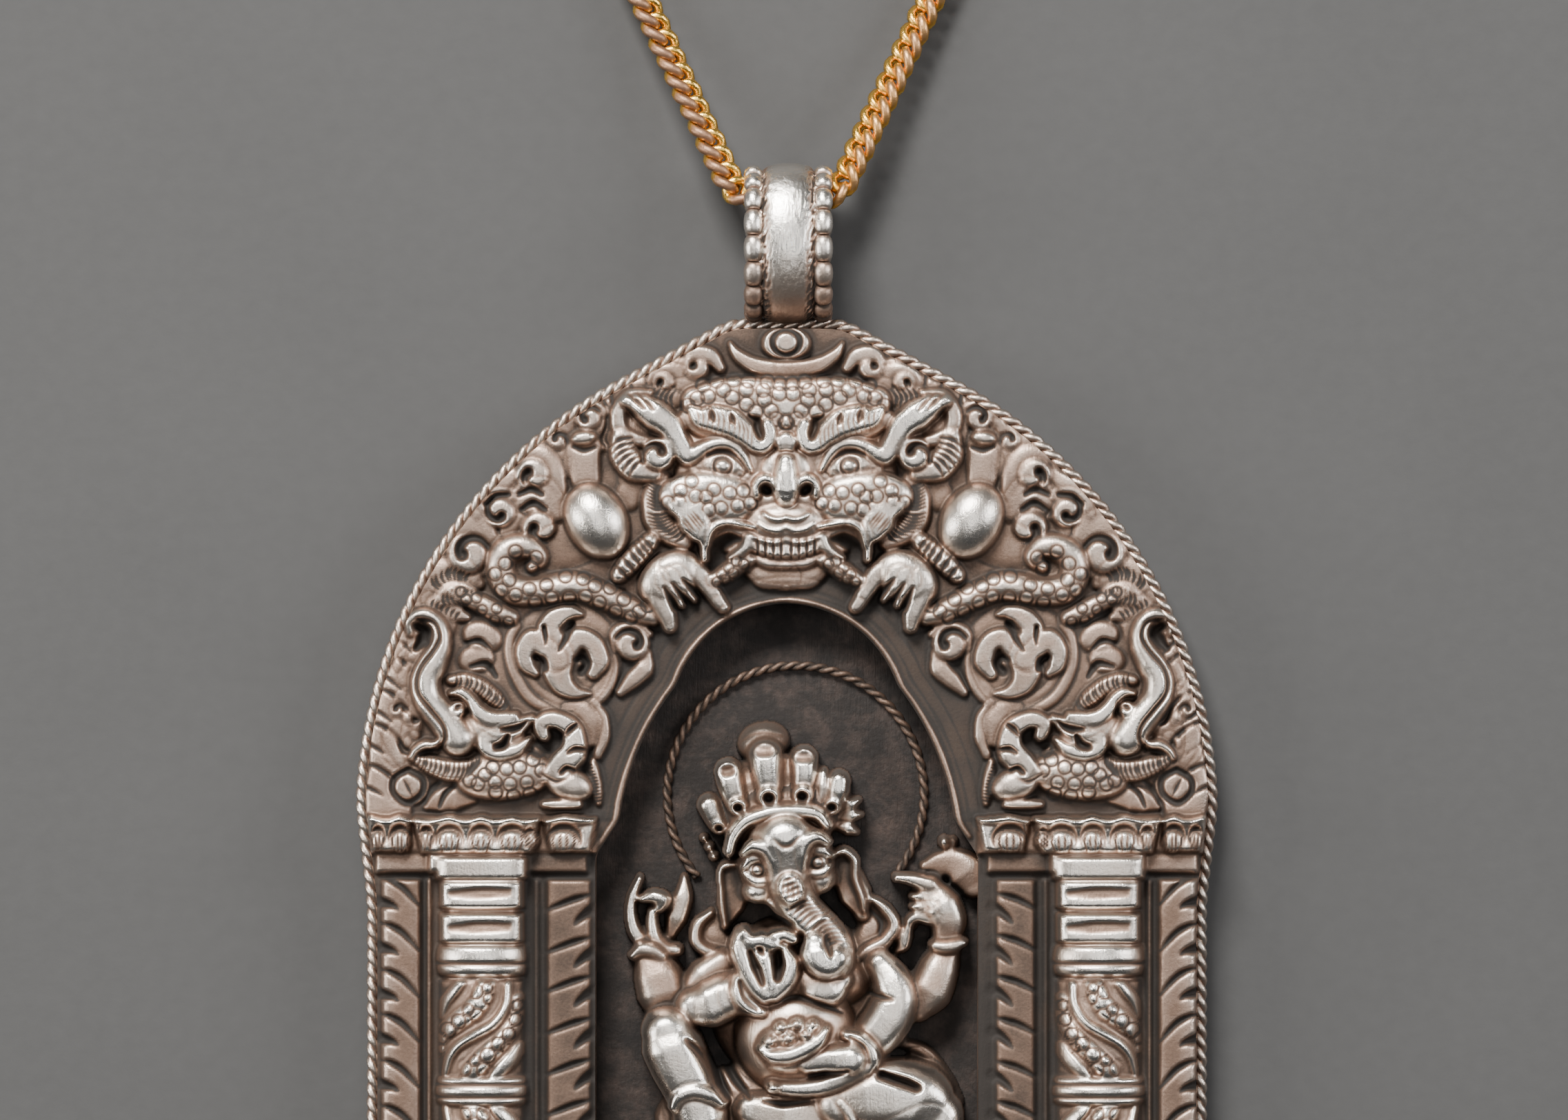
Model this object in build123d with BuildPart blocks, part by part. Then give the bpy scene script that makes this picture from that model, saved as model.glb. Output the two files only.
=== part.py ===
from build123d import *
from math import asin, cos, pi, radians, sin, tan
import os

# Necklace with a chased silver shrine pendant. It lies on its back: +Z out of the
# pendant's face, +Y towards the bail, origin at the centre of the flat back plate.
# All sizes are in millimetres.

# Outline of the pendant
pendant_width = 56.0  # over the twisted border at the shoulders
pendant_height = 70.0  # bottom edge to the apex of the border
foot_step = 0.75  # each side steps in this far below the capitals
corner_radius = 2.0
rope_diameter = 0.8

# Box behind the chased front
back_thickness = 0.8
wall_thickness = 0.8
box_depth = 3.1  # back face to the rim of the side wall
rope_height = 2.7  # back face to the centre of the border rope
rope_bite = 0.1  # solder joint between the rope and the wall

# Chased front plate
plate_thickness = 1.1
plate_margin = 0.75  # rope's outer edge to the edge of the plate
seat_gap = 0.05  # between pieces that rest on each other
opening_width = 24.8  # niche between the pillars
arch_shoulder_width = 21.8  # niche at the level of the capitals
arch_top = 16.5
opening_bottom = -30.6
capital_top = 2.4
capital_depth = 2.3
capital_rise = 1.9  # capital above the sheet
pillar_width = 5.7
leaf_strip_width = 2.7
strip_inset = 0.3  # edge of the niche to the inner leaf strip
leaf_pitch = 2.84
leaf_rise = 1.1
plinth_rise = 1.7
mask_width = 16.0  # cheek to cheek
mask_drop = 9.6  # top edge down to the line of the eyes
root_depth = 0.1  # relief is rooted this far into the sheet

# Bail
bail_width = 5.7
bail_length = 10.3  # along the pendant's axis
bail_depth = 6.4
bail_wall = 1.2
bail_bite = 0.35  # overlap with the top of the box
bead_radius = 0.58
bead_count = 20

# Halo ring, figure and seat in the niche
halo_radius = 8.4
halo_wire = 0.55
halo_centre_x = 0.5
halo_centre_y = 4.0
halo_opening = 100.0  # degrees left out behind the figure
halo_bite = 0.05
figure_height = 29.0  # topknot to the underside of the legs
figure_foot = -20.3  # underside of the legs
seat_width = 20.6
seat_depth = 5.0  # front of the seat above the niche floor
seat_top_gap = 0.12
seat_petals = 7
plinth_petals = 13

# Chain and clasp
chain_diameter = 1.4
bail_bend = 1.6  # where the chain turns over the mouths of the bail
chain_clearance = 0.02  # between the chain and the surface it lies on
clasp_length = 9.0
clasp_diameter = 2.6
clasp_eye_radius = 1.0
clasp_eye_wire = 0.6
bail_play = 0.12  # between the chain and what it hangs in

half_width = pendant_width / 2
half_height = pendant_height / 2
plate_back = box_depth + seat_gap
plate_face = plate_back + plate_thickness
niche_floor = back_thickness
wall_inset = rope_diameter - rope_bite
torana_height = half_height - capital_top


# Outlines shared by several pieces
def border_outline(inset, level):
    # The pendant seen from the front, moved in by inset: straight foot, flared
    # shoulders, one round haunch each side and a shallow top. Every corner is rounded.
    foot = half_width - foot_step
    step = capital_top - 0.15 * half_height
    shoulder = capital_top + 0.03 * half_height
    crest = (0.394 * half_width, 0.886 * half_height)
    with BuildSketch(Plane.XY.offset(level)) as outline:
        with BuildLine():
            Line((-foot, -half_height), (foot, -half_height))
            for side in (-1, 1):
                Line((side * foot, -half_height), (side * foot, step))
                Line((side * foot, step), (side * half_width, shoulder))
                ThreePointArc(
                    (side * half_width, shoulder),
                    (side * 0.81 * half_width, 0.58 * half_height),
                    (side * crest[0], crest[1]),
                )
                Line((side * crest[0], crest[1]), (side * 0.13 * half_width, half_height))
            Line((-0.13 * half_width, half_height), (0.13 * half_width, half_height))
        make_face()
        fillet(outline.vertices(), corner_radius)
        if inset:
            offset(amount=-inset, mode=Mode.REPLACE)
    return outline.sketch


def niche_outline(grow, level):
    # The arched opening between the pillars, moved out by grow.
    foot = opening_width / 2
    spring = arch_shoulder_width / 2
    rise = arch_top - capital_top
    knee = (0.66 * spring, capital_top + 0.62 * rise)
    flank = (0.865 * spring, capital_top + 0.36 * rise)
    with BuildSketch(Plane.XY.offset(level)) as outline:
        with BuildLine():
            Line((0, opening_bottom), (foot, opening_bottom))
            Line((foot, opening_bottom), (foot, capital_top - capital_depth))
            Line((foot, capital_top - capital_depth), (spring, capital_top))
            ThreePointArc((spring, capital_top), flank, knee)
            ThreePointArc(knee, (0.36 * spring, capital_top + 0.915 * rise), (0, arch_top))
            mirror(about=Plane.YZ)
        make_face()
        if grow:
            offset(amount=grow, kind=Kind.INTERSECTION, mode=Mode.REPLACE)
    return outline.sketch


# Solids of relief, each made on its own and added to a piece in one go
def ball(place, radius):
    with BuildPart() as made:
        with Locations(place):
            Sphere(radius)
    return made.part


def boss(x, y, z, turn, long_half, round_half):
    # Half of an egg that lies on its flat: half an ellipse turned about its long axis.
    seat = Plane(origin=(x, y, z), x_dir=(cos(radians(turn)), sin(radians(turn)), 0))
    with BuildPart() as made:
        with BuildSketch(seat):
            with BuildLine():
                EllipticalCenterArc((0, 0), long_half, round_half, start_angle=0, arc_size=180)
                Line((-long_half, 0), (long_half, 0))
            make_face()
        revolve(axis=Axis(seat.origin, seat.x_dir), revolution_arc=180)
    return made.part


def limb(start, end, start_radius, end_radius):
    # Round tapered limb from start to end with ball ends, turned about its middle line.
    run = Vector(*end) - Vector(*start)
    lean = asin((start_radius - end_radius) / run.length)
    seat = Plane(origin=start, x_dir=run.normalized(), z_dir=run.cross(Vector(0, 0, 1)))
    from_ball = (start_radius * sin(lean), start_radius * cos(lean))
    to_ball = (run.length + end_radius * sin(lean), end_radius * cos(lean))
    with BuildPart() as made:
        with BuildSketch(seat):
            with BuildLine():
                crown = (-start_radius * sin(radians(45) - lean / 2), start_radius * cos(radians(45) - lean / 2))
                toe = (run.length + end_radius * cos(radians(45) - lean / 2), end_radius * sin(radians(45) - lean / 2))
                ThreePointArc((-start_radius, 0), crown, from_ball)
                Line(from_ball, to_ball)
                ThreePointArc(to_ball, toe, (run.length + end_radius, 0))
                Line((run.length + end_radius, 0), (-start_radius, 0))
            make_face()
        revolve(axis=Axis(seat.origin, seat.x_dir))
    return made.part


def roll(points, radius):
    # Round coil of one thickness along a smooth curve through the points.
    with BuildPart() as made:
        with BuildLine() as way:
            Spline(*points)
        with BuildSketch(Plane(origin=points[0], z_dir=way.line % 0)):
            Circle(radius)
        sweep(path=way.line)
    return made.part


def ring_disc(x, y, z, outer, inner, height):
    # Flat raised ring, or a disc where inner is nothing.
    with BuildPart() as made:
        with BuildSketch(Plane.XY.offset(z)):
            with Locations((x, y)):
                Circle(outer)
                if inner:
                    Circle(inner, mode=Mode.SUBTRACT)
        extrude(amount=height)
    return made.part


# Case: back plate, side wall, niche lining, border rope, halo ring and bail, all soldered
bail_base = half_height - bail_bite
bail_centre_y = bail_base + bail_length / 2
bail_centre_z = box_depth / 2 + bail_depth / 3
bore_long = bail_length / 2 - bail_wall
bore_round = bail_depth / 2 - bail_wall
bead_path_long = bail_length / 2 - bead_radius
bead_path_round = bail_depth / 2 - bead_radius


def bail_ring():
    # Oval strap with a swelling middle between two rows of beads.
    flank = Plane(origin=(-bail_width / 2, bail_centre_y, bail_centre_z), x_dir=(0, 1, 0), z_dir=(1, 0, 0))
    rim = 2 * bead_radius
    with BuildPart() as made:
        with BuildSketch(flank):
            Ellipse(bail_length / 2 - bead_radius, bail_depth / 2 - bead_radius)
        extrude(amount=bail_width)
        with BuildSketch(flank.offset(rim)):
            Ellipse(bail_length / 2, bail_depth / 2)
        extrude(amount=bail_width - 2 * rim)
        with BuildSketch(flank):
            Ellipse(bore_long, bore_round)
        extrude(amount=bail_width, mode=Mode.SUBTRACT)
        spots = []
        for number in range(bead_count):
            angle = 2 * pi * (number + 0.5) / bead_count
            y = bail_centre_y + bead_path_long * cos(angle)
            z = bail_centre_z + bead_path_round * sin(angle)
            spots += [(side * (bail_width / 2 - bead_radius), y, z) for side in (-1, 1)]
        with Locations(*spots):
            Sphere(bead_radius)
    return made.part


def halo_ring():
    # Wire ring laid on the niche floor, open where the figure covers it.
    start = -90 + halo_opening / 2
    rise = niche_floor + halo_wire / 2 - halo_bite
    with BuildPart() as made:
        with BuildLine(Plane(origin=(halo_centre_x, halo_centre_y, rise))) as way:
            CenterArc((0, 0), halo_radius, start, 360 - halo_opening)
        with BuildSketch(Plane(origin=way.line @ 0, z_dir=way.line % 0)):
            Circle(halo_wire / 2)
        sweep(path=way.line)
    return made.part


def border_rope():
    # Round tube along the whole outline, which the twisted border wire fills.
    route = border_outline(rope_diameter / 2, rope_height).faces()[0].outer_wire()
    with BuildPart() as made:
        with BuildSketch(Plane(origin=route @ 0, z_dir=route % 0)):
            Circle(rope_diameter / 2)
        sweep(path=route)
    return made.part


bail_solid = bail_ring()
halo_solid = halo_ring()
rope_solid = border_rope()
with BuildPart() as case:
    add(border_outline(wall_inset, 0))
    extrude(amount=box_depth)
    add(border_outline(wall_inset + wall_thickness, back_thickness))
    extrude(amount=box_depth, mode=Mode.SUBTRACT)
    add(niche_outline(wall_thickness, back_thickness))
    extrude(amount=box_depth - back_thickness)
    add(niche_outline(0, back_thickness))
    extrude(amount=box_depth, mode=Mode.SUBTRACT)
    add([bail_solid, halo_solid, rope_solid])
case.part.label = "case"


# Front plate: raised torana, mask, beasts, capitals, pillars and plinth on a flat sheet
plate_edge = half_width - foot_step - plate_margin
outer_strip_centre = plate_edge - leaf_strip_width / 2
inner_strip_centre = opening_width / 2 + strip_inset + leaf_strip_width / 2
pillar_centre = (outer_strip_centre + inner_strip_centre) / 2
plinth_top = opening_bottom - seat_gap
relief_root = plate_face - root_depth
mask_middle = half_height - mask_drop

# Torana, right half, mirrored to the left. Places and lengths are shares: across
# of half_width, up of torana_height from capital_top, sizes of half_width.
torana_bosses = [
    # what, across, up, turn, long, round
    ("upper arm", 0.425, 0.592, 60, 0.093, 0.072),
    ("wrist band", 0.354, 0.525, -43, 0.066, 0.029),
    ("hand", 0.282, 0.475, 40, 0.054, 0.040),
    ("long finger", 0.212, 0.448, 27, 0.055, 0.016),
    ("middle finger", 0.250, 0.435, 60, 0.040, 0.014),
    ("short finger", 0.281, 0.423, -70, 0.045, 0.015),
    ("beast's body", 0.655, 0.075, 8, 0.120, 0.056),
    ("beast's head", 0.755, 0.190, 72, 0.076, 0.056),
    ("beast's jaw", 0.835, 0.105, 15, 0.060, 0.032),
    ("beast's mane", 0.595, 0.135, 20, 0.066, 0.038),
    ("leaf", 0.768, 0.484, -24, 0.056, 0.025),
    ("lower leaf", 0.770, 0.434, -32, 0.050, 0.022),
    ("rim leaf", 0.612, 0.655, -43, 0.070, 0.026),
    ("upper rim leaf", 0.494, 0.753, -38, 0.050, 0.025),
    ("capped petal", 0.450, 0.725, 98, 0.052, 0.027),
    ("horn", 0.305, 0.808, 27, 0.058, 0.027),
    ("horn root", 0.228, 0.752, 55, 0.050, 0.023),
    ("ear rim", 0.356, 0.775, 62, 0.050, 0.020),
]
torana_rings = [
    # what, across, up, outer, inner, height
    ("roundel", 0.532, 0.326, 0.129, 0.104, 0.030),
    ("roundel heart", 0.532, 0.326, 0.026, 0.000, 0.048),
    ("niche scroll", 0.371, 0.336, 0.044, 0.018, 0.036),
    ("arm scroll", 0.554, 0.583, 0.042, 0.017, 0.040),
    ("haunch scroll", 0.642, 0.608, 0.040, 0.016, 0.040),
    ("rim scroll", 0.565, 0.692, 0.042, 0.017, 0.040),
    ("crest scroll", 0.429, 0.788, 0.036, 0.014, 0.040),
    ("flank scroll", 0.708, 0.538, 0.046, 0.018, 0.040),
    ("mask scroll", 0.195, 0.900, 0.040, 0.016, 0.040),
    ("side scroll", 0.270, 0.868, 0.034, 0.013, 0.040),
    ("ear curl", 0.300, 0.722, 0.048, 0.016, 0.060),
    ("trunk scroll", 0.720, 0.344, 0.036, 0.014, 0.040),
    ("beast's ear", 0.671, 0.153, 0.036, 0.014, 0.075),
    ("mane curl", 0.532, 0.170, 0.050, 0.020, 0.060),
    ("jaw curl", 0.880, 0.056, 0.055, 0.026, 0.055),
]
torana_rolls = [
    # what, radius, then places across and up
    ("serpent", 0.031, (0.575, 0.515), (0.629, 0.532), (0.677, 0.494), (0.657, 0.447), (0.575, 0.455), (0.486, 0.469), (0.395, 0.439), (0.339, 0.411)),
    ("small coil", 0.022, (0.664, 0.405), (0.725, 0.437), (0.800, 0.450)),
    ("beast's trunk", 0.026, (0.842, 0.402), (0.812, 0.360), (0.832, 0.300), (0.850, 0.235), (0.792, 0.165)),
]
roundel_petals = 6

# Mask, right half, mirrored to the left. All shares are of half of mask_width,
# places from the middle between the eyes.
mask_bosses = [
    # what, across, up, turn, long, round
    ("forehead", 0.44, 0.52, 168, 0.42, 0.19),
    ("brow", 0.48, 0.29, 150, 0.34, 0.11),
    ("brow curl", 0.17, 0.26, 80, 0.14, 0.07),
    ("eyelid", 0.50, 0.06, 10, 0.24, 0.11),
    ("eyeball", 0.49, 0.00, 5, 0.15, 0.15),
    ("cheek", 0.62, -0.24, 168, 0.28, 0.18),
    ("cheek leaf", 0.80, -0.36, 60, 0.16, 0.09),
    ("nostril", 0.17, -0.20, 40, 0.09, 0.12),
    ("fang", 0.38, -0.60, 75, 0.15, 0.06),
    ("beard", 0.45, -0.86, 130, 0.18, 0.08),
    ("crescent", 0.26, 0.86, 25, 0.20, 0.06),
]
mask_middle_bosses = [
    # what, across, up, turn, long, round
    ("crown of the head", 0.00, 0.53, 2, 0.56, 0.20),
    ("nose", 0.00, -0.10, 88, 0.22, 0.17),
    ("third eye", 0.00, 0.99, 3, 0.12, 0.10),
    ("upper lip", 0.00, -0.47, 2, 0.44, 0.12),
    ("teeth", 0.00, -0.66, 3, 0.30, 0.08),
    ("jaw", 0.00, -0.85, 2, 0.42, 0.09),
]

pillar_neck = 0.76  # plain stretches between the bands, as a share of the radius

# Pillar from the capital down to its middle, mirrored below. Places down are
# shares of half the pillar's height, radii shares of half of pillar_width.
pillar_bands = [
    # top, bottom, radius, swelling
    (0.005, 0.135, 0.98, 0.00),
    (0.165, 0.285, 0.92, 0.00),
    (0.300, 0.340, 0.84, 0.10),
    (0.345, 0.405, 0.88, 0.12),
    (0.410, 0.450, 0.84, 0.10),
    (0.460, 0.540, 0.88, 0.10),
    (0.545, 0.625, 0.88, 0.10),
    (0.630, 0.710, 0.88, 0.10),
    (0.715, 0.795, 0.88, 0.10),
    (0.800, 0.880, 0.88, 0.10),
    (0.885, 0.925, 0.84, 0.10),
    (0.930, 0.985, 0.88, 0.12),
]


def across(share, side):
    return side * share * half_width


def up(share):
    return capital_top + share * torana_height


def mirrored(turn, side):
    return turn if side > 0 else 180 - turn


def torana_solids():
    made = []
    for side in (-1, 1):
        for what, x, y, turn, long_half, round_half in torana_bosses:
            spot = (across(x, side), up(y), relief_root)
            made.append(boss(*spot, mirrored(turn, side), long_half * half_width, round_half * half_width))
        for what, x, y, outer, inner, height in torana_rings:
            spot = (across(x, side), up(y), relief_root)
            tall = root_depth + height * half_width
            made.append(ring_disc(*spot, outer * half_width, inner * half_width, tall))
        for what, radius, *places in torana_rolls:
            points = [(across(x, side), up(y), plate_face) for x, y in places]
            made.append(roll(points, radius * half_width))
    return made


def roundel_flower(side):
    # Petals standing round the heart of a roundel.
    what, x, y, outer, inner, height = torana_rings[0]
    middle = Vector(across(x, side), up(y), relief_root)
    reach = 0.62 * inner * half_width
    made = []
    for number in range(roundel_petals):
        angle = 360 * (number + 0.5) / roundel_petals
        spot = middle + Vector(reach, 0, 0).rotate(Axis.Z, angle)
        made.append(boss(*tuple(spot), angle, 0.42 * inner * half_width, 0.24 * inner * half_width))
    return made


def mask_solids():
    unit = mask_width / 2
    made = []
    for side in (-1, 1):
        for what, x, y, turn, long_half, round_half in mask_bosses:
            spot = (side * x * unit, mask_middle + y * unit, relief_root)
            made.append(boss(*spot, mirrored(turn, side), long_half * unit, round_half * unit))
    for what, x, y, turn, long_half, round_half in mask_middle_bosses:
        spot = (x * unit, mask_middle + y * unit, relief_root)
        made.append(boss(*spot, turn, long_half * unit, round_half * unit))
    return made


def pillar(side):
    # Turned half pillar, banded alike above and below its middle.
    top = capital_top - capital_depth
    middle = (top + plinth_top) / 2
    half = top - middle
    radius = pillar_width / 2
    rows = [(middle + half * (1 - a), middle + half * (1 - b), r, s) for a, b, r, s in pillar_bands]
    rows += [(2 * middle - low, 2 * middle - high, r, s) for high, low, r, s in reversed(rows)]
    neck = pillar_neck * radius
    with BuildPart() as made:
        with BuildSketch(Plane(origin=(side * pillar_centre, 0, relief_root))):
            with BuildLine():
                level = top
                Line((0, top), (neck, top))
                for high, low, share, swell in rows:
                    Line((neck, level), (neck, high))
                    Line((neck, high), (share * radius, high))
                    if swell:
                        bulge = ((share + swell) * radius, (high + low) / 2)
                        ThreePointArc((share * radius, high), bulge, (share * radius, low))
                    else:
                        Line((share * radius, high), (share * radius, low))
                    Line((share * radius, low), (neck, low))
                    level = low
                Line((neck, level), (neck, 2 * middle - top))
                Line((neck, 2 * middle - top), (0, 2 * middle - top))
                Line((0, 2 * middle - top), (0, top))
            make_face()
        revolve(axis=Axis((side * pillar_centre, 0, relief_root), (0, -1, 0)), revolution_arc=180)
    return made.part


def capital(side):
    # Stepped block with hanging petals over its pillar and a slab below them.
    left, right = inner_strip_centre - leaf_strip_width / 2, plate_edge
    with BuildPart() as made:
        for low, high, tall in ((0.40, 1.0, 0.75), (0.10, 0.44, 1.0)):
            with BuildSketch(Plane.XY.offset(relief_root)):
                with Locations((side * (left + right) / 2, capital_top - capital_depth * (1 - (low + high) / 2))):
                    Rectangle(right - left, capital_depth * (high - low))
            extrude(amount=root_depth + tall * capital_rise)
    petals = []
    for number in (-1, 0, 1):
        x = side * pillar_centre + number * pillar_width / 2.6
        y = capital_top - 0.3 * capital_depth
        petals.append(boss(x, y, relief_root, 90, 0.3 * capital_depth, root_depth + capital_rise))
    return [made.part] + petals


def leaf_strips():
    # Slanted leaves, one above another, in a strip at each side of both pillars.
    low, high = plinth_top, capital_top - capital_depth
    count = int((high - low) / leaf_pitch)
    half, slant, tall = leaf_strip_width / 2, 0.35 * leaf_strip_width, 0.6 * leaf_pitch
    with BuildPart() as made:
        with BuildSketch(Plane.XY.offset(relief_root)):
            for centre in (outer_strip_centre, inner_strip_centre):
                for number in range(count):
                    y = high - (number + 1) * leaf_pitch
                    for side in (-1, 1):
                        inner, outer = side * (centre - 0.86 * half), side * (centre + 0.86 * half)
                        Polygon((inner, y), (outer, y + slant), (outer, y + slant + tall), (inner, y + tall), align=None)
        extrude(amount=root_depth + leaf_rise)
    return made.part.solids()


def plinth():
    # Stepped bar under the pillars with a row of standing petals.
    bottom = plate_margin - half_height
    tall = plinth_top - bottom
    with BuildPart() as made:
        for low, high, rise in ((0.08, 0.30, 0.8), (0.30, 0.92, 0.5), (0.92, 1.0, 0.8)):
            with BuildSketch(Plane.XY.offset(relief_root)):
                with Locations((0, bottom + tall * (low + high) / 2)):
                    Rectangle(2 * plate_edge - corner_radius, tall * (high - low))
            extrude(amount=root_depth + rise * plinth_rise)
    pitch = 2 * (plate_edge - corner_radius) / plinth_petals
    petals = []
    for number in range(plinth_petals):
        x = (number + 0.5 - plinth_petals / 2) * pitch
        petals.append(boss(x, bottom + 0.6 * tall, relief_root, 90, 0.34 * tall, root_depth + 0.8 * plinth_rise))
    return [made.part] + petals


relief = torana_solids() + mask_solids() + leaf_strips() + plinth()
for side in (-1, 1):
    relief += roundel_flower(side) + capital(side) + [pillar(side)]
with BuildPart() as front_plate:
    add(border_outline(plate_margin, plate_back))
    extrude(amount=plate_thickness)
    add(relief)
    add(niche_outline(0, plate_back))
    extrude(amount=plate_face + mask_width, mode=Mode.SUBTRACT)
front_plate.part.label = "front_plate"


# Seated figure, cast in the round with a flat back. Places are hundredths of
# figure_height: across from the middle, up from its foot, out from its back.
figure_balls = [
    # what, place, radius
    ("belly", (2.1, 30.0, 6.0), 13.4),
    ("head", (0.0, 69.0, 10.0), 10.4),
]
figure_limbs = [
    # what, start, start radius, end, end radius
    ("chest", (-7.0, 43.2, 5.5), 8.2, (11.0, 43.0, 5.6), 8.0),
    ("lap", (-9.0, 11.2, 6.0), 9.2, (16.0, 11.0, 6.1), 9.0),
    ("brow left", (-8.5, 72.0, 16.0), 1.9, (-2.5, 73.2, 18.4), 1.8),
    ("brow right", (3.5, 72.8, 18.0), 1.9, (9.0, 74.8, 15.5), 1.8),
    ("jowl left", (-6.0, 66.0, 14.5), 4.0, (-4.5, 60.5, 14.5), 3.4),
    ("jowl right", (7.5, 66.5, 14.0), 4.0, (6.0, 60.5, 14.0), 3.4),
    ("ear left", (-10.5, 67.5, 6.5), 4.4, (-12.6, 58.5, 6.0), 3.0),
    ("ear right", (11.6, 69.0, 6.5), 4.6, (13.6, 59.5, 6.0), 3.2),
    ("topknot", (-4.2, 90.0, 5.2), 4.6, (-4.6, 94.6, 5.0), 5.2),
    ("trunk tip", (4.6, 52.4, 18.2), 2.8, (6.2, 48.2, 17.8), 3.3),
    ("chin", (4.0, 44.5, 14.0), 3.6, (10.0, 44.6, 14.0), 3.4),
    ("bowl", (-4.6, 29.0, 16.5), 3.9, (7.0, 31.6, 16.6), 3.8),
    ("hand lower right", (6.0, 23.0, 17.0), 3.0, (13.0, 25.6, 17.0), 3.3),
    ("hand raised left", (-6.0, 39.8, 16.0), 3.2, (-2.6, 47.0, 16.0), 3.8),
    ("hand rear right", (34.4, 52.4, 8.5), 3.8, (31.8, 58.6, 8.6), 3.4),
    ("hand rear left", (-28.8, 52.0, 8.0), 3.2, (-27.6, 58.4, 8.1), 2.8),
    ("axe blade", (33.0, 66.6, 6.0), 2.2, (38.2, 68.0, 6.1), 2.6),
    ("foot left", (-24.5, 4.2, 9.0), 3.6, (-14.0, 4.8, 8.5), 3.2),
    ("foot right", (-7.5, 4.0, 10.5), 3.2, (3.0, 4.6, 11.0), 3.4),
    ("crown", (-1.0, 75.0, 9.0), 9.8, (-1.4, 83.5, 8.0), 9.4),
    ("upper arm left", (-15.0, 48.0, 8.5), 4.6, (-21.5, 37.5, 10.0), 5.2),
    ("forearm left", (-21.3, 37.8, 10.4), 5.0, (-10.4, 39.8, 14.5), 4.4),
    ("wrist left", (-9.6, 41.2, 15.0), 4.2, (-8.4, 37.4, 15.4), 4.2),
    ("rear forearm left", (-26.6, 37.5, 6.5), 5.0, (-28.4, 48.0, 7.0), 4.4),
    ("rear shoulder left", (-26.2, 38.0, 6.2), 4.7, (-14.0, 46.0, 5.0), 4.6),
    ("rear wrist left", (-31.2, 49.2, 7.6), 1.6, (-24.2, 49.8, 7.6), 1.6),
    ("goad left", (-33.8, 50.0, 7.0), 1.4, (-35.6, 61.0, 7.0), 1.2),
    ("upper arm right", (19.0, 47.0, 8.5), 4.8, (24.4, 37.4, 11.0), 5.2),
    ("forearm right", (24.2, 37.0, 11.4), 5.0, (18.6, 28.2, 15.0), 4.2),
    ("wrist right", (14.6, 29.6, 16.0), 2.6, (18.8, 25.2, 16.0), 2.6),
    ("rear forearm right", (32.4, 38.6, 6.5), 5.0, (34.6, 48.5, 7.0), 4.2),
    ("rear shoulder right", (32.0, 39.0, 6.2), 4.7, (18.0, 45.0, 5.0), 4.6),
    ("rear wrist right", (32.2, 50.8, 8.0), 1.6, (38.0, 50.4, 8.0), 1.6),
    ("axe shaft", (35.2, 73.0, 5.5), 1.6, (29.0, 53.0, 7.0), 1.4),
    ("upper finger right", (28.0, 64.6, 9.5), 1.7, (32.5, 63.0, 9.5), 2.0),
    ("lower finger right", (-2.6, 19.4, 17.5), 1.8, (9.0, 21.2, 18.5), 2.0),
    ("finger right", (4.0, 25.4, 19.5), 1.8, (10.0, 25.8, 18.5), 2.2),
    ("outer finger left", (-3.8, 41.0, 18.5), 1.7, (-9.2, 53.4, 18.0), 1.6),
    ("inner finger left", (-1.6, 43.0, 18.5), 1.7, (0.2, 51.6, 17.5), 1.7),
    ("knee left", (-26.0, 31.0, 11.0), 5.8, (-21.0, 17.0, 13.0), 5.2),
    ("shin left", (-21.2, 16.6, 12.6), 4.9, (-21.0, 7.0, 9.0), 3.8),
    ("thigh right", (13.0, 16.0, 11.0), 6.6, (30.0, 17.0, 9.5), 6.4),
    ("shin right", (30.0, 15.0, 9.5), 5.6, (4.0, 5.6, 11.5), 4.2),
]
figure_rolls = [
    # what, radius, then places
    ("crown band", 1.2, (-13.0, 71.5, 11.0), (-10.4, 77.6, 16.5), (-0.4, 80.6, 18.2), (8.6, 78.6, 15.5)),
    ("trunk", 3.0, (0.4, 65.0, 18.5), (3.6, 58.4, 20.0), (10.0, 54.2, 19.5), (11.8, 48.6, 18.5), (7.0, 46.8, 18.0)),
    ("scarf left", 1.1, (-12.0, 58.0, 8.0), (-18.6, 54.0, 8.5), (-17.6, 49.4, 9.5), (-11.6, 48.0, 11.0)),
    ("scarf right", 1.3, (16.0, 61.0, 8.0), (23.0, 56.5, 8.5), (22.6, 50.6, 9.5), (14.6, 46.0, 11.0)),
]
crown_tubes = [
    # across, up of the lower end, out, lean to the right, length, radius
    (-12.8, 77.4, 9.0, -24, 6.4, 2.4),
    (-10.0, 81.6, 12.5, -14, 7.6, 2.8),
    (-3.6, 84.0, 14.0, -8, 8.6, 3.0),
    (4.3, 84.6, 13.5, 2, 7.6, 2.9),
    (10.2, 82.0, 11.0, 18, 6.4, 2.6),
]


def figure_place(place):
    x, y, z = place
    unit = figure_height / 100
    return (x * unit, figure_foot + y * unit, figure_back + z * unit)


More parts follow.
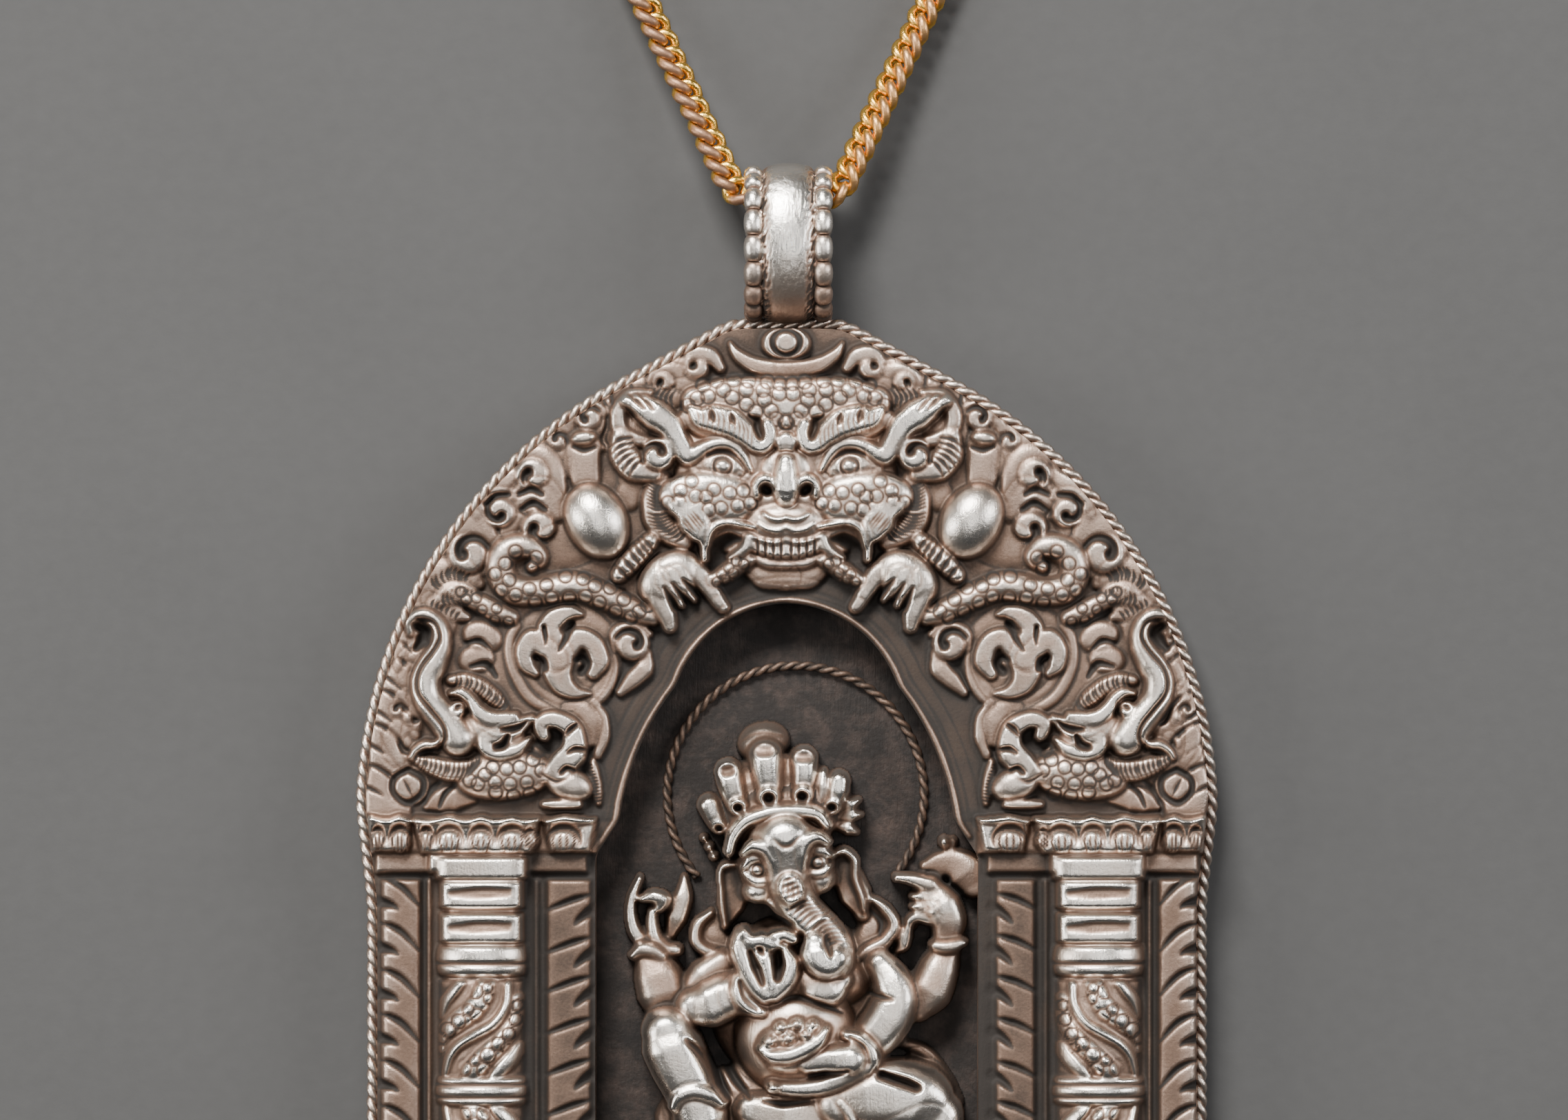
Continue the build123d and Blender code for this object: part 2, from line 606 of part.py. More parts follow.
def figure_solids():
    unit = figure_height / 100
    made = []
    for what, place, radius in figure_balls:
        made.append(ball(figure_place(place), radius * unit))
    for what, start, start_radius, end, end_radius in figure_limbs:
        made.append(limb(figure_place(start), figure_place(end), start_radius * unit, end_radius * unit))
    for what, radius, *places in figure_rolls:
        made.append(roll([figure_place(place) for place in places], radius * unit))
    for x, y, z, lean, length, radius in crown_tubes:
        top = (x + length * sin(radians(lean)), y + length * cos(radians(lean)), z)
        made.append(limb(figure_place((x, y, z)), figure_place(top), 0.9 * radius * unit, radius * unit))
        bead = figure_place((x - 0.2 * radius * sin(radians(lean)), y - 0.9 * radius, z + 0.6 * radius))
        made.append(ball(bead, 0.93 * radius * unit))
    return made


figure_back = niche_floor + seat_gap
niche_room = Box(
    4 * figure_height, 4 * figure_height, figure_height, align=(Align.CENTER, Align.MIN, Align.MIN)
).moved(Location((0, figure_foot, figure_back)))
figure_parts = [solid & niche_room for solid in figure_solids()]
with BuildPart() as ganesha:
    add(figure_parts)
ganesha.part.label = "ganesha"


# Seat: two rows of petals, one standing and one hanging, with a waist between
seat_top = figure_foot - seat_top_gap
seat_bottom = opening_bottom + seat_top_gap
seat_tall = seat_top - seat_bottom


def seat_petal_row(base, reach, count, spread):
    # Petals side by side, their tips reaching from base.
    made = []
    pitch = seat_width / count
    for number in range(count):
        x = (number + 0.5 - count / 2) * pitch * spread
        y = base + reach / 2
        z = figure_back + 0.55 * seat_depth
        made.append(boss(x, y, z, 88, abs(reach) / 2, 0.54 * pitch))
    return made


petals = seat_petal_row(seat_bottom + 0.5 * seat_tall, 0.44 * seat_tall, seat_petals, 0.94)
petals += seat_petal_row(seat_bottom + 0.5 * seat_tall, -0.40 * seat_tall, seat_petals, 0.94)
with BuildPart() as lotus_seat:
    with BuildSketch(Plane.XY.offset(figure_back)):
        with BuildLine():
            Line((-0.47 * seat_width, seat_top), (0.47 * seat_width, seat_top))
            for side in (-1, 1):
                ThreePointArc(
                    (side * 0.47 * seat_width, seat_top),
                    (side * 0.5 * seat_width, seat_top - 0.26 * seat_tall),
                    (side * 0.44 * seat_width, seat_top - 0.5 * seat_tall),
                )
                ThreePointArc(
                    (side * 0.44 * seat_width, seat_top - 0.5 * seat_tall),
                    (side * 0.5 * seat_width, seat_top - 0.76 * seat_tall),
                    (side * 0.49 * seat_width, seat_bottom),
                )
            Line((-0.49 * seat_width, seat_bottom), (0.49 * seat_width, seat_bottom))
        make_face()
    extrude(amount=0.62 * seat_depth)
    add(petals)
lotus_seat.part.label = "lotus_seat"


# Chain: a round tube over its links, from the clasp through the bail and back
hang_y = bail_centre_y + bore_long - chain_diameter / 2 - bail_play
lie_z = chain_diameter / 2 + chain_clearance
clasp_y = 230.5
tip_x = clasp_length / 2 + 2 * clasp_eye_radius + clasp_eye_wire + bail_play
chain_side = [
    # right strand from the bail to the clasp: across, along, up
    (3.3, hang_y, bail_centre_z),
    (8.8, 54.6, 1.3),
    (19.4, 77.5, lie_z),
    (37.0, 113.0, lie_z),
    (51.0, 152.0, lie_z),
    (48.5, 191.0, lie_z),
    (29.0, 219.0, lie_z),
    (tip_x, clasp_y, lie_z),
]


def chain_route():
    # Both strands in one line. Every bend is as wide as its two runs allow, but for
    # the pair at the mouths of the bail.
    points = [(-x, y, z) for x, y, z in reversed(chain_side)] + chain_side
    bends = []
    for before, here, after in zip(points, points[1:], points[2:]):
        first = Vector(*here) - Vector(*before)
        second = Vector(*after) - Vector(*here)
        turn = radians(first.get_angle(second))
        bends.append(0.45 * min(first.length, second.length) / tan(turn / 2))
    mouth = len(chain_side) - 2
    bends[mouth] = bends[mouth + 1] = bail_bend
    return points, bends


chain_points, chain_bends = chain_route()
with BuildPart() as chain:
    with BuildLine() as chain_way:
        FilletPolyline(*chain_points, radius=chain_bends)
    with BuildSketch(Plane(origin=chain_way.line @ 0, z_dir=chain_way.line % 0)):
        Circle(chain_diameter / 2)
    sweep(path=chain_way.line)
chain.part.label = "chain"


# Clasp: plain barrel with an eye at each end
clasp_z = clasp_diameter / 2 + chain_clearance
with BuildPart() as clasp:
    with BuildSketch(Plane(origin=(-clasp_length / 2, clasp_y, clasp_z), z_dir=(1, 0, 0))):
        Circle(clasp_diameter / 2)
    extrude(amount=clasp_length)
    fillet(clasp.edges(), 0.3 * clasp_diameter)
    for side in (-1, 1):
        middle = (side * (clasp_length / 2 + clasp_eye_radius), clasp_y, clasp_z)
        with Locations(Location(middle)):
            Torus(clasp_eye_radius, clasp_eye_wire / 2)
clasp.part.label = "clasp"

os.makedirs("parts", exist_ok=True)
export_step(case.part, "parts/case.step")
export_step(front_plate.part, "parts/front_plate.step")
export_step(ganesha.part, "parts/ganesha.step")
export_step(lotus_seat.part, "parts/lotus_seat.step")
export_step(chain.part, "parts/chain.step")
export_step(clasp.part, "parts/clasp.step")

chain_length = chain_way.wires()[0].length
print("chain bends (mm):", [round(bend, 1) for bend in chain_bends])
print("chain length", round(chain_length, 1), "volume against section times length:")
print(round(chain.part.volume, 2), round(pi * chain_diameter**2 / 4 * chain_length, 2))
for piece in (case, front_plate, ganesha, lotus_seat, chain, clasp):
    box = piece.part.bounding_box()
    print(piece.part.label, round(piece.part.volume, 1), "mm3", len(piece.part.solids()), "solid", box.min, box.max)
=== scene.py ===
import math
import bmesh
import bpy
import numpy as np
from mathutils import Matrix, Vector


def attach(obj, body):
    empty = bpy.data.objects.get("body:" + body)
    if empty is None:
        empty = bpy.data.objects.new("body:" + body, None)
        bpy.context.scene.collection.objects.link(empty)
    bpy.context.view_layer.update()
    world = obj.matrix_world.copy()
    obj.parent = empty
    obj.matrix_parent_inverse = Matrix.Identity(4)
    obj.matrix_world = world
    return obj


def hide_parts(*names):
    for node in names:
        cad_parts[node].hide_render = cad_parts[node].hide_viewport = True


# Silver pendant on a gilt chain, lying on its back. Lengths here are millimetres in
# the frame of the CAD part, and become metres when a mesh is made.

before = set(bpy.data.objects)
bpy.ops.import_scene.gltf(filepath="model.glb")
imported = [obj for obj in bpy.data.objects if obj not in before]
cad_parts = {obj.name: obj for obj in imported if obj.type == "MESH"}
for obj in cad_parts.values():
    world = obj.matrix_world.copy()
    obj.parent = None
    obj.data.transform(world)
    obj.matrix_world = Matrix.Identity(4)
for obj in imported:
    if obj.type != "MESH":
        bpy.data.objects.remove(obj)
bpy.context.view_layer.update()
print("frame loaded:", sorted(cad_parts))


# floor, camera and lights
shotStyle = {
    "middle": (-0.18, 19.3),       # what the middle of the picture looks at
    "pictureWidth": 101.4,         # how much of the face's level the picture shows
    "distance": 450.0,
    "level": 4.5,
    "floorSize": 3000.0,
    "floorColour": (0.0681, 0.0674, 0.0670),
    "sensor": 36.0,
    "worldColour": (0.62, 0.63, 0.65, 1),
    "worldStrength": 0.07,
}
lightStyle = [
    # name, place, aim, size across and along, watts, colour
    ("key soft box", (-140, 420, 430), (0, 10, 0), (230, 170), 7.45, (1.0, 0.985, 0.955)),
    ("overhead fill", (60, 40, 760), (0, 0, 0), (360, 360), 1.15, (1.0, 0.99, 0.98)),
    ("right soft box", (430, 120, 260), (0, 0, 0), (170, 240), 1.7, (0.98, 0.985, 1.0)),
    ("left soft box", (-430, 20, 240), (0, 0, 0), (150, 240), 1.5, (1.0, 0.98, 0.95)),
]


def makeStage():
    # plain floor, four soft boxes, and a camera straight above: lens = sensor * distance / picture width
    s = shotStyle
    size = s["floorSize"] / 1000
    mesh = bpy.data.meshes.new("studio_floor")
    corners = [(-size, -size, 0), (size, -size, 0), (size, size, 0), (-size, size, 0)]
    mesh.from_pydata(corners, [], [(0, 1, 2, 3)])
    floor = bpy.data.objects.new("studio_floor", mesh)
    bpy.context.collection.objects.link(floor)
    floor.data.materials.append(floorMaterial())
    camera = bpy.data.objects.new("camera", bpy.data.cameras.new("camera"))
    bpy.context.collection.objects.link(camera)
    camera.location = (s["middle"][0] / 1000, s["middle"][1] / 1000, (s["distance"] + s["level"]) / 1000)
    camera.data.sensor_width = s["sensor"]
    camera.data.lens = s["sensor"] * s["distance"] / s["pictureWidth"]
    camera.data.clip_start = 0.01
    camera.data.clip_end = 20
    camera.data.dof.use_dof = False
    bpy.context.scene.camera = camera
    for name, place, aim, size, watts, colour in lightStyle:
        light = bpy.data.lights.new(name, "AREA")
        light.shape = "RECTANGLE"
        light.size, light.size_y = size[0] / 1000, size[1] / 1000
        light.energy, light.color = watts, colour
        lamp = bpy.data.objects.new(name, light)
        bpy.context.collection.objects.link(lamp)
        lamp.location = Vector(place) / 1000
        lamp.rotation_euler = (Vector(aim) - Vector(place)).to_track_quat("-Z", "Y").to_euler()
    world = bpy.context.scene.world or bpy.data.worlds.new("studio")
    bpy.context.scene.world = world
    world.use_nodes = True
    background = world.node_tree.nodes["Background"]
    background.inputs["Color"].default_value = s["worldColour"]
    background.inputs["Strength"].default_value = s["worldStrength"]


# materials
def newMaterial(name):
    # a material with its nodes, links and shader at hand
    material = bpy.data.materials.new(name)
    material.use_nodes = True
    nodes = material.node_tree.nodes
    shader = nodes["Principled BSDF"]
    return material, nodes, material.node_tree.links, shader


def addNode(nodes, kind, **values):
    # a node whose sockets or settings are given by name
    node = nodes.new(kind)
    for key, value in values.items():
        if key in node.inputs:
            node.inputs[key].default_value = value
        else:
            setattr(node, key, value)
    return node


def wire(links, node, socket, *ends):
    # one output to each of the inputs, given as node and name in turn
    for end, name in zip(ends[::2], ends[1::2]):
        links.new(node.outputs[socket], end.inputs[name])


def ramp(nodes, stops):
    # colour ramp through the stops, each a place from 0 to 1 and a colour
    node = nodes.new("ShaderNodeValToRGB")
    elements = node.color_ramp.elements
    while len(elements) < len(stops):
        elements.new(0.5)
    for element, (place, colour) in zip(elements, stops):
        element.position = place
        element.color = (*colour, 1)
    return node


def grey(value):
    # a ramp colour that stands for one number
    return (value, value, value)


def floorMaterial():
    # grey paper: the mean of a fine and a broad noise picks its tone, the fine one is its grain
    material, nodes, links, shader = newMaterial("floor paper")
    spot = addNode(nodes, "ShaderNodeTexCoord")
    grain = addNode(nodes, "ShaderNodeTexNoise", Scale=900.0, Detail=4.0)
    blotch = addNode(nodes, "ShaderNodeTexNoise", Scale=60.0, Detail=3.0)
    r, g, b = shotStyle["floorColour"]
    dark, light = (0.93 * r, 0.93 * g, 0.93 * b), (1.05 * r, 1.05 * g, 1.05 * b)
    tone = ramp(nodes, [(0.3, dark), (0.7, light)])
    both = addNode(nodes, "ShaderNodeMath", operation="ADD")
    half = addNode(nodes, "ShaderNodeMath", operation="MULTIPLY")
    half.inputs[1].default_value = 0.5
    bump = addNode(nodes, "ShaderNodeBump", Strength=0.25, Distance=0.0001)
    wire(links, spot, "Object", grain, "Vector", blotch, "Vector")
    wire(links, grain, "Fac", both, 0, bump, "Height")
    wire(links, blotch, "Fac", both, 1)
    wire(links, both, 0, half, 0)
    wire(links, half, 0, tone, "Fac")
    wire(links, tone, "Color", shader, "Base Color")
    wire(links, bump, "Normal", shader, "Normal")
    shader.inputs["Roughness"].default_value = 0.85
    return material


silverStops = {
    # patina 0 is bright rubbed silver, 1 is the black left in the recesses
    "colour": [
        (0.0, (0.89, 0.845, 0.78)), (0.22, (0.66, 0.575, 0.50)), (0.42, (0.44, 0.322, 0.258)),
        (0.62, (0.205, 0.135, 0.100)), (0.80, (0.066, 0.046, 0.035)), (1.0, (0.024, 0.019, 0.016)),
    ],
    "metal": [(0.0, grey(1.0)), (0.5, grey(0.95)), (0.8, grey(0.6)), (1.0, grey(0.2))],
    "rough": [(0.0, grey(0.25)), (0.3, grey(0.35)), (0.6, grey(0.50)), (1.0, grey(0.8))],
}
giltStops = {
    # patina 0 is fresh gilding, 1 is the brown wear on top
    "colour": [
        (0.0, (1.0, 0.66, 0.15)), (0.3, (0.86, 0.47, 0.09)),
        (0.6, (0.52, 0.29, 0.14)), (1.0, (0.30, 0.17, 0.11)),
    ],
    "metal": [(0.0, grey(1.0)), (0.6, grey(0.9)), (1.0, grey(0.7))],
    "rough": [(0.0, grey(0.24)), (0.5, grey(0.36)), (1.0, grey(0.46))],
}
floorStops = {
    # the niche floor: nearly black all over
    "colour": [
        (0.0, (0.16, 0.105, 0.080)), (0.3, (0.050, 0.035, 0.029)),
        (0.55, (0.019, 0.0145, 0.0125)), (1.0, (0.006, 0.005, 0.005)),
    ],
    "metal": [(0.0, grey(0.5)), (1.0, grey(0.1))],
    "rough": [(0.0, grey(0.5)), (1.0, grey(0.85))],
}
scratchStyle = {
    "scale": 9000.0, "stretch": (1.0, 0.12, 0.5), "turn": 0.7,
    "linesDeep": 0.00003, "grainDeep": 0.00005,
}


def patinaMaterial(name, stops, spread=0.34, scratch=0.5, grainScale=5200.0, blotchScale=420.0):
    # the piece's own patina attribute, shifted by spread * (0.45 * fine noise + broad noise - 0.72),
    # picks colour, metal and roughness
    material, nodes, links, shader = newMaterial(name)
    spot = addNode(nodes, "ShaderNodeTexCoord")
    patina = addNode(nodes, "ShaderNodeAttribute", attribute_name="patina")
    fine = addNode(nodes, "ShaderNodeTexNoise", Scale=grainScale, Detail=5.0, Roughness=0.65)
    broad = addNode(nodes, "ShaderNodeTexNoise", Scale=blotchScale, Detail=3.0)
    mixed = addNode(nodes, "ShaderNodeMath", operation="MULTIPLY_ADD")
    mixed.inputs[1].default_value = 0.45
    shifted = addNode(nodes, "ShaderNodeMath", operation="MULTIPLY_ADD")
    shifted.inputs[1].default_value = spread
    shifted.inputs[2].default_value = -0.72 * spread
    total = addNode(nodes, "ShaderNodeMath", operation="ADD", use_clamp=True)
    wire(links, spot, "Object", fine, "Vector", broad, "Vector")
    wire(links, fine, "Fac", mixed, 0)
    wire(links, broad, "Fac", mixed, 2)
    wire(links, mixed, 0, shifted, 0)
    wire(links, patina, "Fac", total, 0)
    wire(links, shifted, 0, total, 1)
    for key, socket in (("colour", "Base Color"), ("metal", "Metallic"), ("rough", "Roughness")):
        pick = ramp(nodes, stops[key])
        wire(links, total, 0, pick, "Fac")
        wire(links, pick, "Color", shader, socket)
    # hand-rubbed scratches: noise drawn out long one way, over a fine grain
    stretch = addNode(nodes, "ShaderNodeMapping")
    stretch.inputs["Scale"].default_value = scratchStyle["stretch"]
    stretch.inputs["Rotation"].default_value = (0.0, 0.0, scratchStyle["turn"])
    lines = addNode(nodes, "ShaderNodeTexNoise", Scale=scratchStyle["scale"], Detail=3.0)
    bumpLines = addNode(nodes, "ShaderNodeBump", Strength=scratch, Distance=scratchStyle["linesDeep"])
    bumpGrain = addNode(nodes, "ShaderNodeBump", Strength=scratch, Distance=scratchStyle["grainDeep"])
    wire(links, spot, "Object", stretch, "Vector")
    wire(links, stretch, "Vector", lines, "Vector")
    wire(links, lines, "Fac", bumpLines, "Height")
    wire(links, fine, "Fac", bumpGrain, "Height")
    wire(links, bumpLines, "Normal", bumpGrain, "Normal")
    wire(links, bumpGrain, "Normal", shader, "Normal")
    return material


# meshes from arrays
def makePiece(name, places, faces, material, patina, sharp=None, slot="silver"):
    # places in mm, faces as a list of arrays with 3, 4 or more corners each, and a patina for each place;
    # edges between two sharp places stay crisp
    mesh = bpy.data.meshes.new(name)
    count = sum(len(block) for block in faces)
    corners = np.concatenate([np.asarray(block).reshape(-1) for block in faces]).astype(np.int32)
    totals = np.concatenate([np.full(len(block), np.asarray(block).shape[1]) for block in faces])
    mesh.vertices.add(len(places))
    mesh.vertices.foreach_set("co", (np.asarray(places, float) / 1000).astype(np.float32).reshape(-1))
    mesh.loops.add(len(corners))
    mesh.loops.foreach_set("vertex_index", corners)
    mesh.polygons.add(count)
    mesh.polygons.foreach_set("loop_start", np.concatenate([[0], np.cumsum(totals)[:-1]]).astype(np.int32))
    mesh.polygons.foreach_set("loop_total", totals.astype(np.int32))
    mesh.update(calc_edges=True)
    mesh.polygons.foreach_set("use_smooth", np.ones(count, bool))
    values = np.ascontiguousarray(patina, dtype=np.float32)
    mesh.attributes.new("patina", "FLOAT", "POINT").data.foreach_set("value", values)
    if sharp is not None:
        ends = np.zeros(2 * len(mesh.edges), np.int32)
        mesh.edges.foreach_get("vertices", ends)
        ends = ends.reshape(-1, 2)
        mesh.attributes.new("sharp_edge", "BOOLEAN", "EDGE").data.foreach_set("value", sharp[ends].all(1))
    mesh.validate()
    piece = bpy.data.objects.new(name, mesh)
    bpy.context.collection.objects.link(piece)
    mesh.materials.append(material)
    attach(piece, "root")
    return piece


def gridFaces(rows, cols, wrapRows=False, wrapCols=False):
    # four-cornered faces between neighbours of a grid whose points run column by column in each row
    i = np.arange(rows if wrapRows else rows - 1)[:, None]
    j = np.arange(cols if wrapCols else cols - 1)[None, :]
    a, b = i * cols + j, i * cols + (j + 1) % cols
    c, d = ((i + 1) % rows) * cols + (j + 1) % cols, ((i + 1) % rows) * cols + j
    return np.stack(np.broadcast_arrays(a, b, c, d), -1).reshape(-1, 4)


def closedPlate(top, bottomLevel):
    # a grid of places as the top of a solid: straight sides down from its rim and one flat face under it
    rows, cols = top.shape[:2]
    index = np.arange(rows * cols).reshape(rows, cols)
    rim = np.concatenate([index[0, :-1], index[:-1, -1], index[-1, :0:-1], index[:0:-1, 0]])
    places = top.reshape(-1, 3)
    low = places[rim].copy()
    low[:, 2] = bottomLevel
    foot = np.arange(len(rim)) + len(places)
    nextRim, nextFoot = np.roll(rim, -1), np.roll(foot, -1)
    sides = np.stack([nextRim, rim, foot, nextFoot], -1)
    sharp = np.zeros(len(places) + len(low), bool)
    sharp[rim] = True
    sharp[foot] = True
    return np.vstack([places, low]), [gridFaces(rows, cols), sides, foot[::-1][None, :]], sharp


def turnOut(places, faces):
    # the volume inside is the sum of a . (b x c) over the faces' corners: if it comes out negative
    # the faces look inward, so every one is reversed
    total = 0.0
    p = places - places.mean(0)
    for block in faces:
        block = np.asarray(block)
        a, b, c = p[block[:, 0]], p[block[:, 1]], p[block[:, 2]]
        total += np.einsum("ij,ij->i", a, np.cross(b, c)).sum()
        if block.shape[1] == 4:
            d = p[block[:, 3]]
            total += np.einsum("ij,ij->i", a, np.cross(c, d)).sum()
    return faces if total > 0 else [np.asarray(block)[:, ::-1] for block in faces]


def tubeAlong(line, radius, sides, closed=False):
    # line + radius * (cos v * side + sin v * over), where side lies flat and over stands on it
    count = len(line)
    ahead = np.roll(line, -1, 0) - np.roll(line, 1, 0) if closed else np.gradient(line, axis=0)
    ahead /= np.linalg.norm(ahead, axis=1)[:, None]
    side = np.cross(np.broadcast_to((0.0, 0.0, 1.0), ahead.shape), ahead)
    side /= np.maximum(np.linalg.norm(side, axis=1)[:, None], 1e-9)
    over = np.cross(ahead, side)
    v = (2 * math.pi * np.arange(sides) / sides)[None, :, None]
    radius = np.broadcast_to(np.asarray(radius, float), (count,))[:, None, None]
    places = (line[:, None] + radius * (np.cos(v) * side[:, None] + np.sin(v) * over[:, None])).reshape(-1, 3)
    faces = [gridFaces(count, sides, wrapRows=closed, wrapCols=True)]
    if not closed:
        faces += [np.arange(sides)[::-1][None, :], (np.arange(sides) + (count - 1) * sides)[None, :]]
    return places, turnOut(places, faces)


def joined(parts):
    # several meshes as one: places stacked, face numbers moved on
    places, faces, start = [], [], 0
    for spots, blocks in parts:
        places.append(spots)
        faces += [np.asarray(block) + start for block in blocks]
        start += len(spots)
    return np.vstack(places), faces


# outlines
caseStyle = {
    "halfWidth": 28.0, "halfHeight": 35.0, "footStep": 0.75, "capitalTop": 2.4,
    "wallInset": 0.70, "wall": 0.8, "depth": 3.1, "back": 0.8, "backRings": 6,
    "plateMargin": 0.75, "cornerReach": 1.7,
    "nicheHalf": 12.4, "nicheShoulder": 10.9, "archTop": 16.5, "nicheBottom": -30.6, "capitalDepth": 2.3,
}


def runAlong(line):
    # length run at each point of a line
    return np.concatenate([[0], np.cumsum(np.linalg.norm(np.diff(line, axis=0), axis=1))])


def arcThrough(a, b, c, count=60):
    # points of the circle through three places, from the first to the last
    (ax, ay), (bx, by), (cx, cy) = a, b, c
    d = 2 * (ax * (by - cy) + bx * (cy - ay) + cx * (ay - by))
    ux = ((ax**2 + ay**2) * (by - cy) + (bx**2 + by**2) * (cy - ay) + (cx**2 + cy**2) * (ay - by)) / d
    uy = ((ax**2 + ay**2) * (cx - bx) + (bx**2 + by**2) * (ax - cx) + (cx**2 + cy**2) * (bx - ax)) / d
    angles = np.unwrap([math.atan2(y - uy, x - ux) for x, y in (a, b, c)])
    t = np.linspace(angles[0], angles[2], count)
    r = math.hypot(ax - ux, ay - uy)
    return np.stack([ux + r * np.cos(t), uy + r * np.sin(t)], 1)


def evenly(line, step, closed=True):
    # the same line with its points a step apart
    if closed:
        line = np.vstack([line, line[:1]])
    run = runAlong(line)
    count = max(int(round(run[-1] / step)), 3)
    at = np.linspace(0, run[-1], count + 1)
    line = np.stack([np.interp(at, run, line[:, k]) for k in range(line.shape[1])], 1)
    return line[:-1] if closed else line


def roundCorners(line, reach, step=0.1):
    # running mean along the closed line, three times, which turns each corner into a curve
    cells = max(int(round(reach / step / 3)), 1)
    for _ in range(3):
        padded = np.vstack([line[-cells:], line, line[:cells]])
        sums = np.vstack([np.zeros((1, 2)), padded.cumsum(0)])
        line = (sums[2 * cells + 1:] - sums[:-2 * cells - 1]) / (2 * cells + 1)
    return line


def borderLine():
    # outer outline, anticlockwise from the foot: straight foot, flared shoulders, round haunches
    # and a shallow top
    s = caseStyle
    foot, top = s["halfWidth"] - s["footStep"], s["halfHeight"]
    step = s["capitalTop"] - 0.15 * top
    shoulder = s["capitalTop"] + 0.03 * top
    crest = (0.394 * s["halfWidth"], 0.886 * top)
    haunch = arcThrough((s["halfWidth"], shoulder), (0.81 * s["halfWidth"], 0.58 * top), crest)
    right = np.vstack([[(0, -top), (foot, -top), (foot, step)], haunch, [(0.13 * s["halfWidth"], top)]])
    left = right[:0:-1] * (-1, 1)
    return roundCorners(evenly(np.vstack([right, left]), 0.1), s["cornerReach"])


def nicheLine():
    # arched opening, anticlockwise from the middle of its foot
    s = caseStyle
    rise = s["archTop"] - s["capitalTop"]
    spring = s["nicheShoulder"]
    knee = (0.66 * spring, s["capitalTop"] + 0.62 * rise)
    low = arcThrough((spring, s["capitalTop"]), (0.865 * spring, s["capitalTop"] + 0.36 * rise), knee)
    high = arcThrough(knee, (0.36 * spring, s["capitalTop"] + 0.915 * rise), (0, s["archTop"]))
    half, bottom, capital = s["nicheHalf"], s["nicheBottom"], s["capitalTop"] - s["capitalDepth"]
    right = np.vstack([[(0, bottom), (half, bottom), (half, capital)], low, high[1:]])
    left = right[-2:0:-1] * (-1, 1)
    return roundCorners(evenly(np.vstack([right, left]), 0.1), 0.25)


def movedIn(line, distance):
    # every point moved inward at right angles to a closed anticlockwise line
    ahead = np.roll(line, -3, 0) - np.roll(line, 3, 0)
    ahead /= np.linalg.norm(ahead, axis=1)[:, None]
    return line + distance * np.stack([-ahead[:, 1], ahead[:, 0]], 1)


def radiusAt(line, middle, angles):
    # how far the line is from a middle point in each direction
    rel = line - middle
    turn, far = np.arctan2(rel[:, 1], rel[:, 0]), np.hypot(rel[:, 0], rel[:, 1])
    order = np.argsort(turn)
    return np.interp(angles, turn[order], far[order], period=2 * math.pi)


def edgeAt(line, levels):
    # right-hand reach of a symmetric outline at each height
    keep = line[:, 0] > 0
    order = np.argsort(line[keep, 1])
    return np.interp(levels, line[keep, 1][order], line[keep, 0][order])


# height sheets: every relief is drawn on one first, in millimetres
sheetStyle = {
    "ditchWide": 0.13, "edgeSoot": 0.16,    # narrow ditch and dirty line round whatever is raised
    "scaleLine": 0.075,                     # half width of a punched ring
}


def makeSheet(xRange, yRange, cell):
    # h is the height at each place, mark is how dark its lines are: dirt in the grooves, tone laid by smudge
    # rows, and painted shade where those rows darken the ears
    x, y = (np.arange(low, high + cell, cell) for low, high in (xRange, yRange))
    return {"x": x, "y": y, "cell": cell, "h": np.zeros((y.size, x.size)), "mark": np.zeros((y.size, x.size))}


def curveThrough(places, perSpan=7):
    # Catmull-Rom line through the places: each span is a cubic whose slope at a
    # place is half the way between its two neighbours.
    p = np.array(places, float)
    if len(p) == 1:
        return np.repeat(p, 2, 0)
    p = np.vstack([2 * p[0] - p[1], p, 2 * p[-1] - p[-2]])
    t = np.linspace(0, 1, perSpan, endpoint=False)[None, :, None]
    a, b, c, d = (p[i:len(p) - 3 + i, None, :] for i in range(4))
    line = 0.5 * (2 * b + (c - a) * t + (2 * a - 5 * b + 4 * c - d) * t**2 + (3 * b - a - 3 * c + d) * t**3)
    return np.vstack([line.reshape(-1, p.shape[1]), p[-2]])


def cellsNear(sheet, line, reach):
    # rows and columns of the sheet round a line, and their places
    cell = sheet["cell"]
    low = ((line[:, :2].min(0) - reach - (sheet["x"][0], sheet["y"][0])) / cell).astype(int)
    high = ((line[:, :2].max(0) + reach - (sheet["x"][0], sheet["y"][0])) / cell).astype(int) + 1
    cols = slice(max(low[0], 0), max(high[0], 0))
    rows = slice(max(low[1], 0), max(high[1], 0))
    return rows, cols, sheet["x"][cols][None, :], sheet["y"][rows][:, None]


def nearLine(x, y, line):
    # distance from every cell to a broken line, and how far along it (0 to 1) the nearest place lies
    best = np.full((y.shape[0], x.shape[1]), 1e9)
    share = np.zeros_like(best)
    last = len(line) - 1
    for k in range(last):
        (ax, ay), (dx, dy) = line[k, :2], line[k + 1, :2] - line[k, :2]
        s = np.clip(((x - ax) * dx + (y - ay) * dy) / max(dx * dx + dy * dy, 1e-12), 0, 1)
        far = np.hypot(x - ax - s * dx, y - ay - s * dy)
        closer = far < best
        best = np.where(closer, far, best)
        share = np.where(closer, (k + s) / last, share)
    return best, share


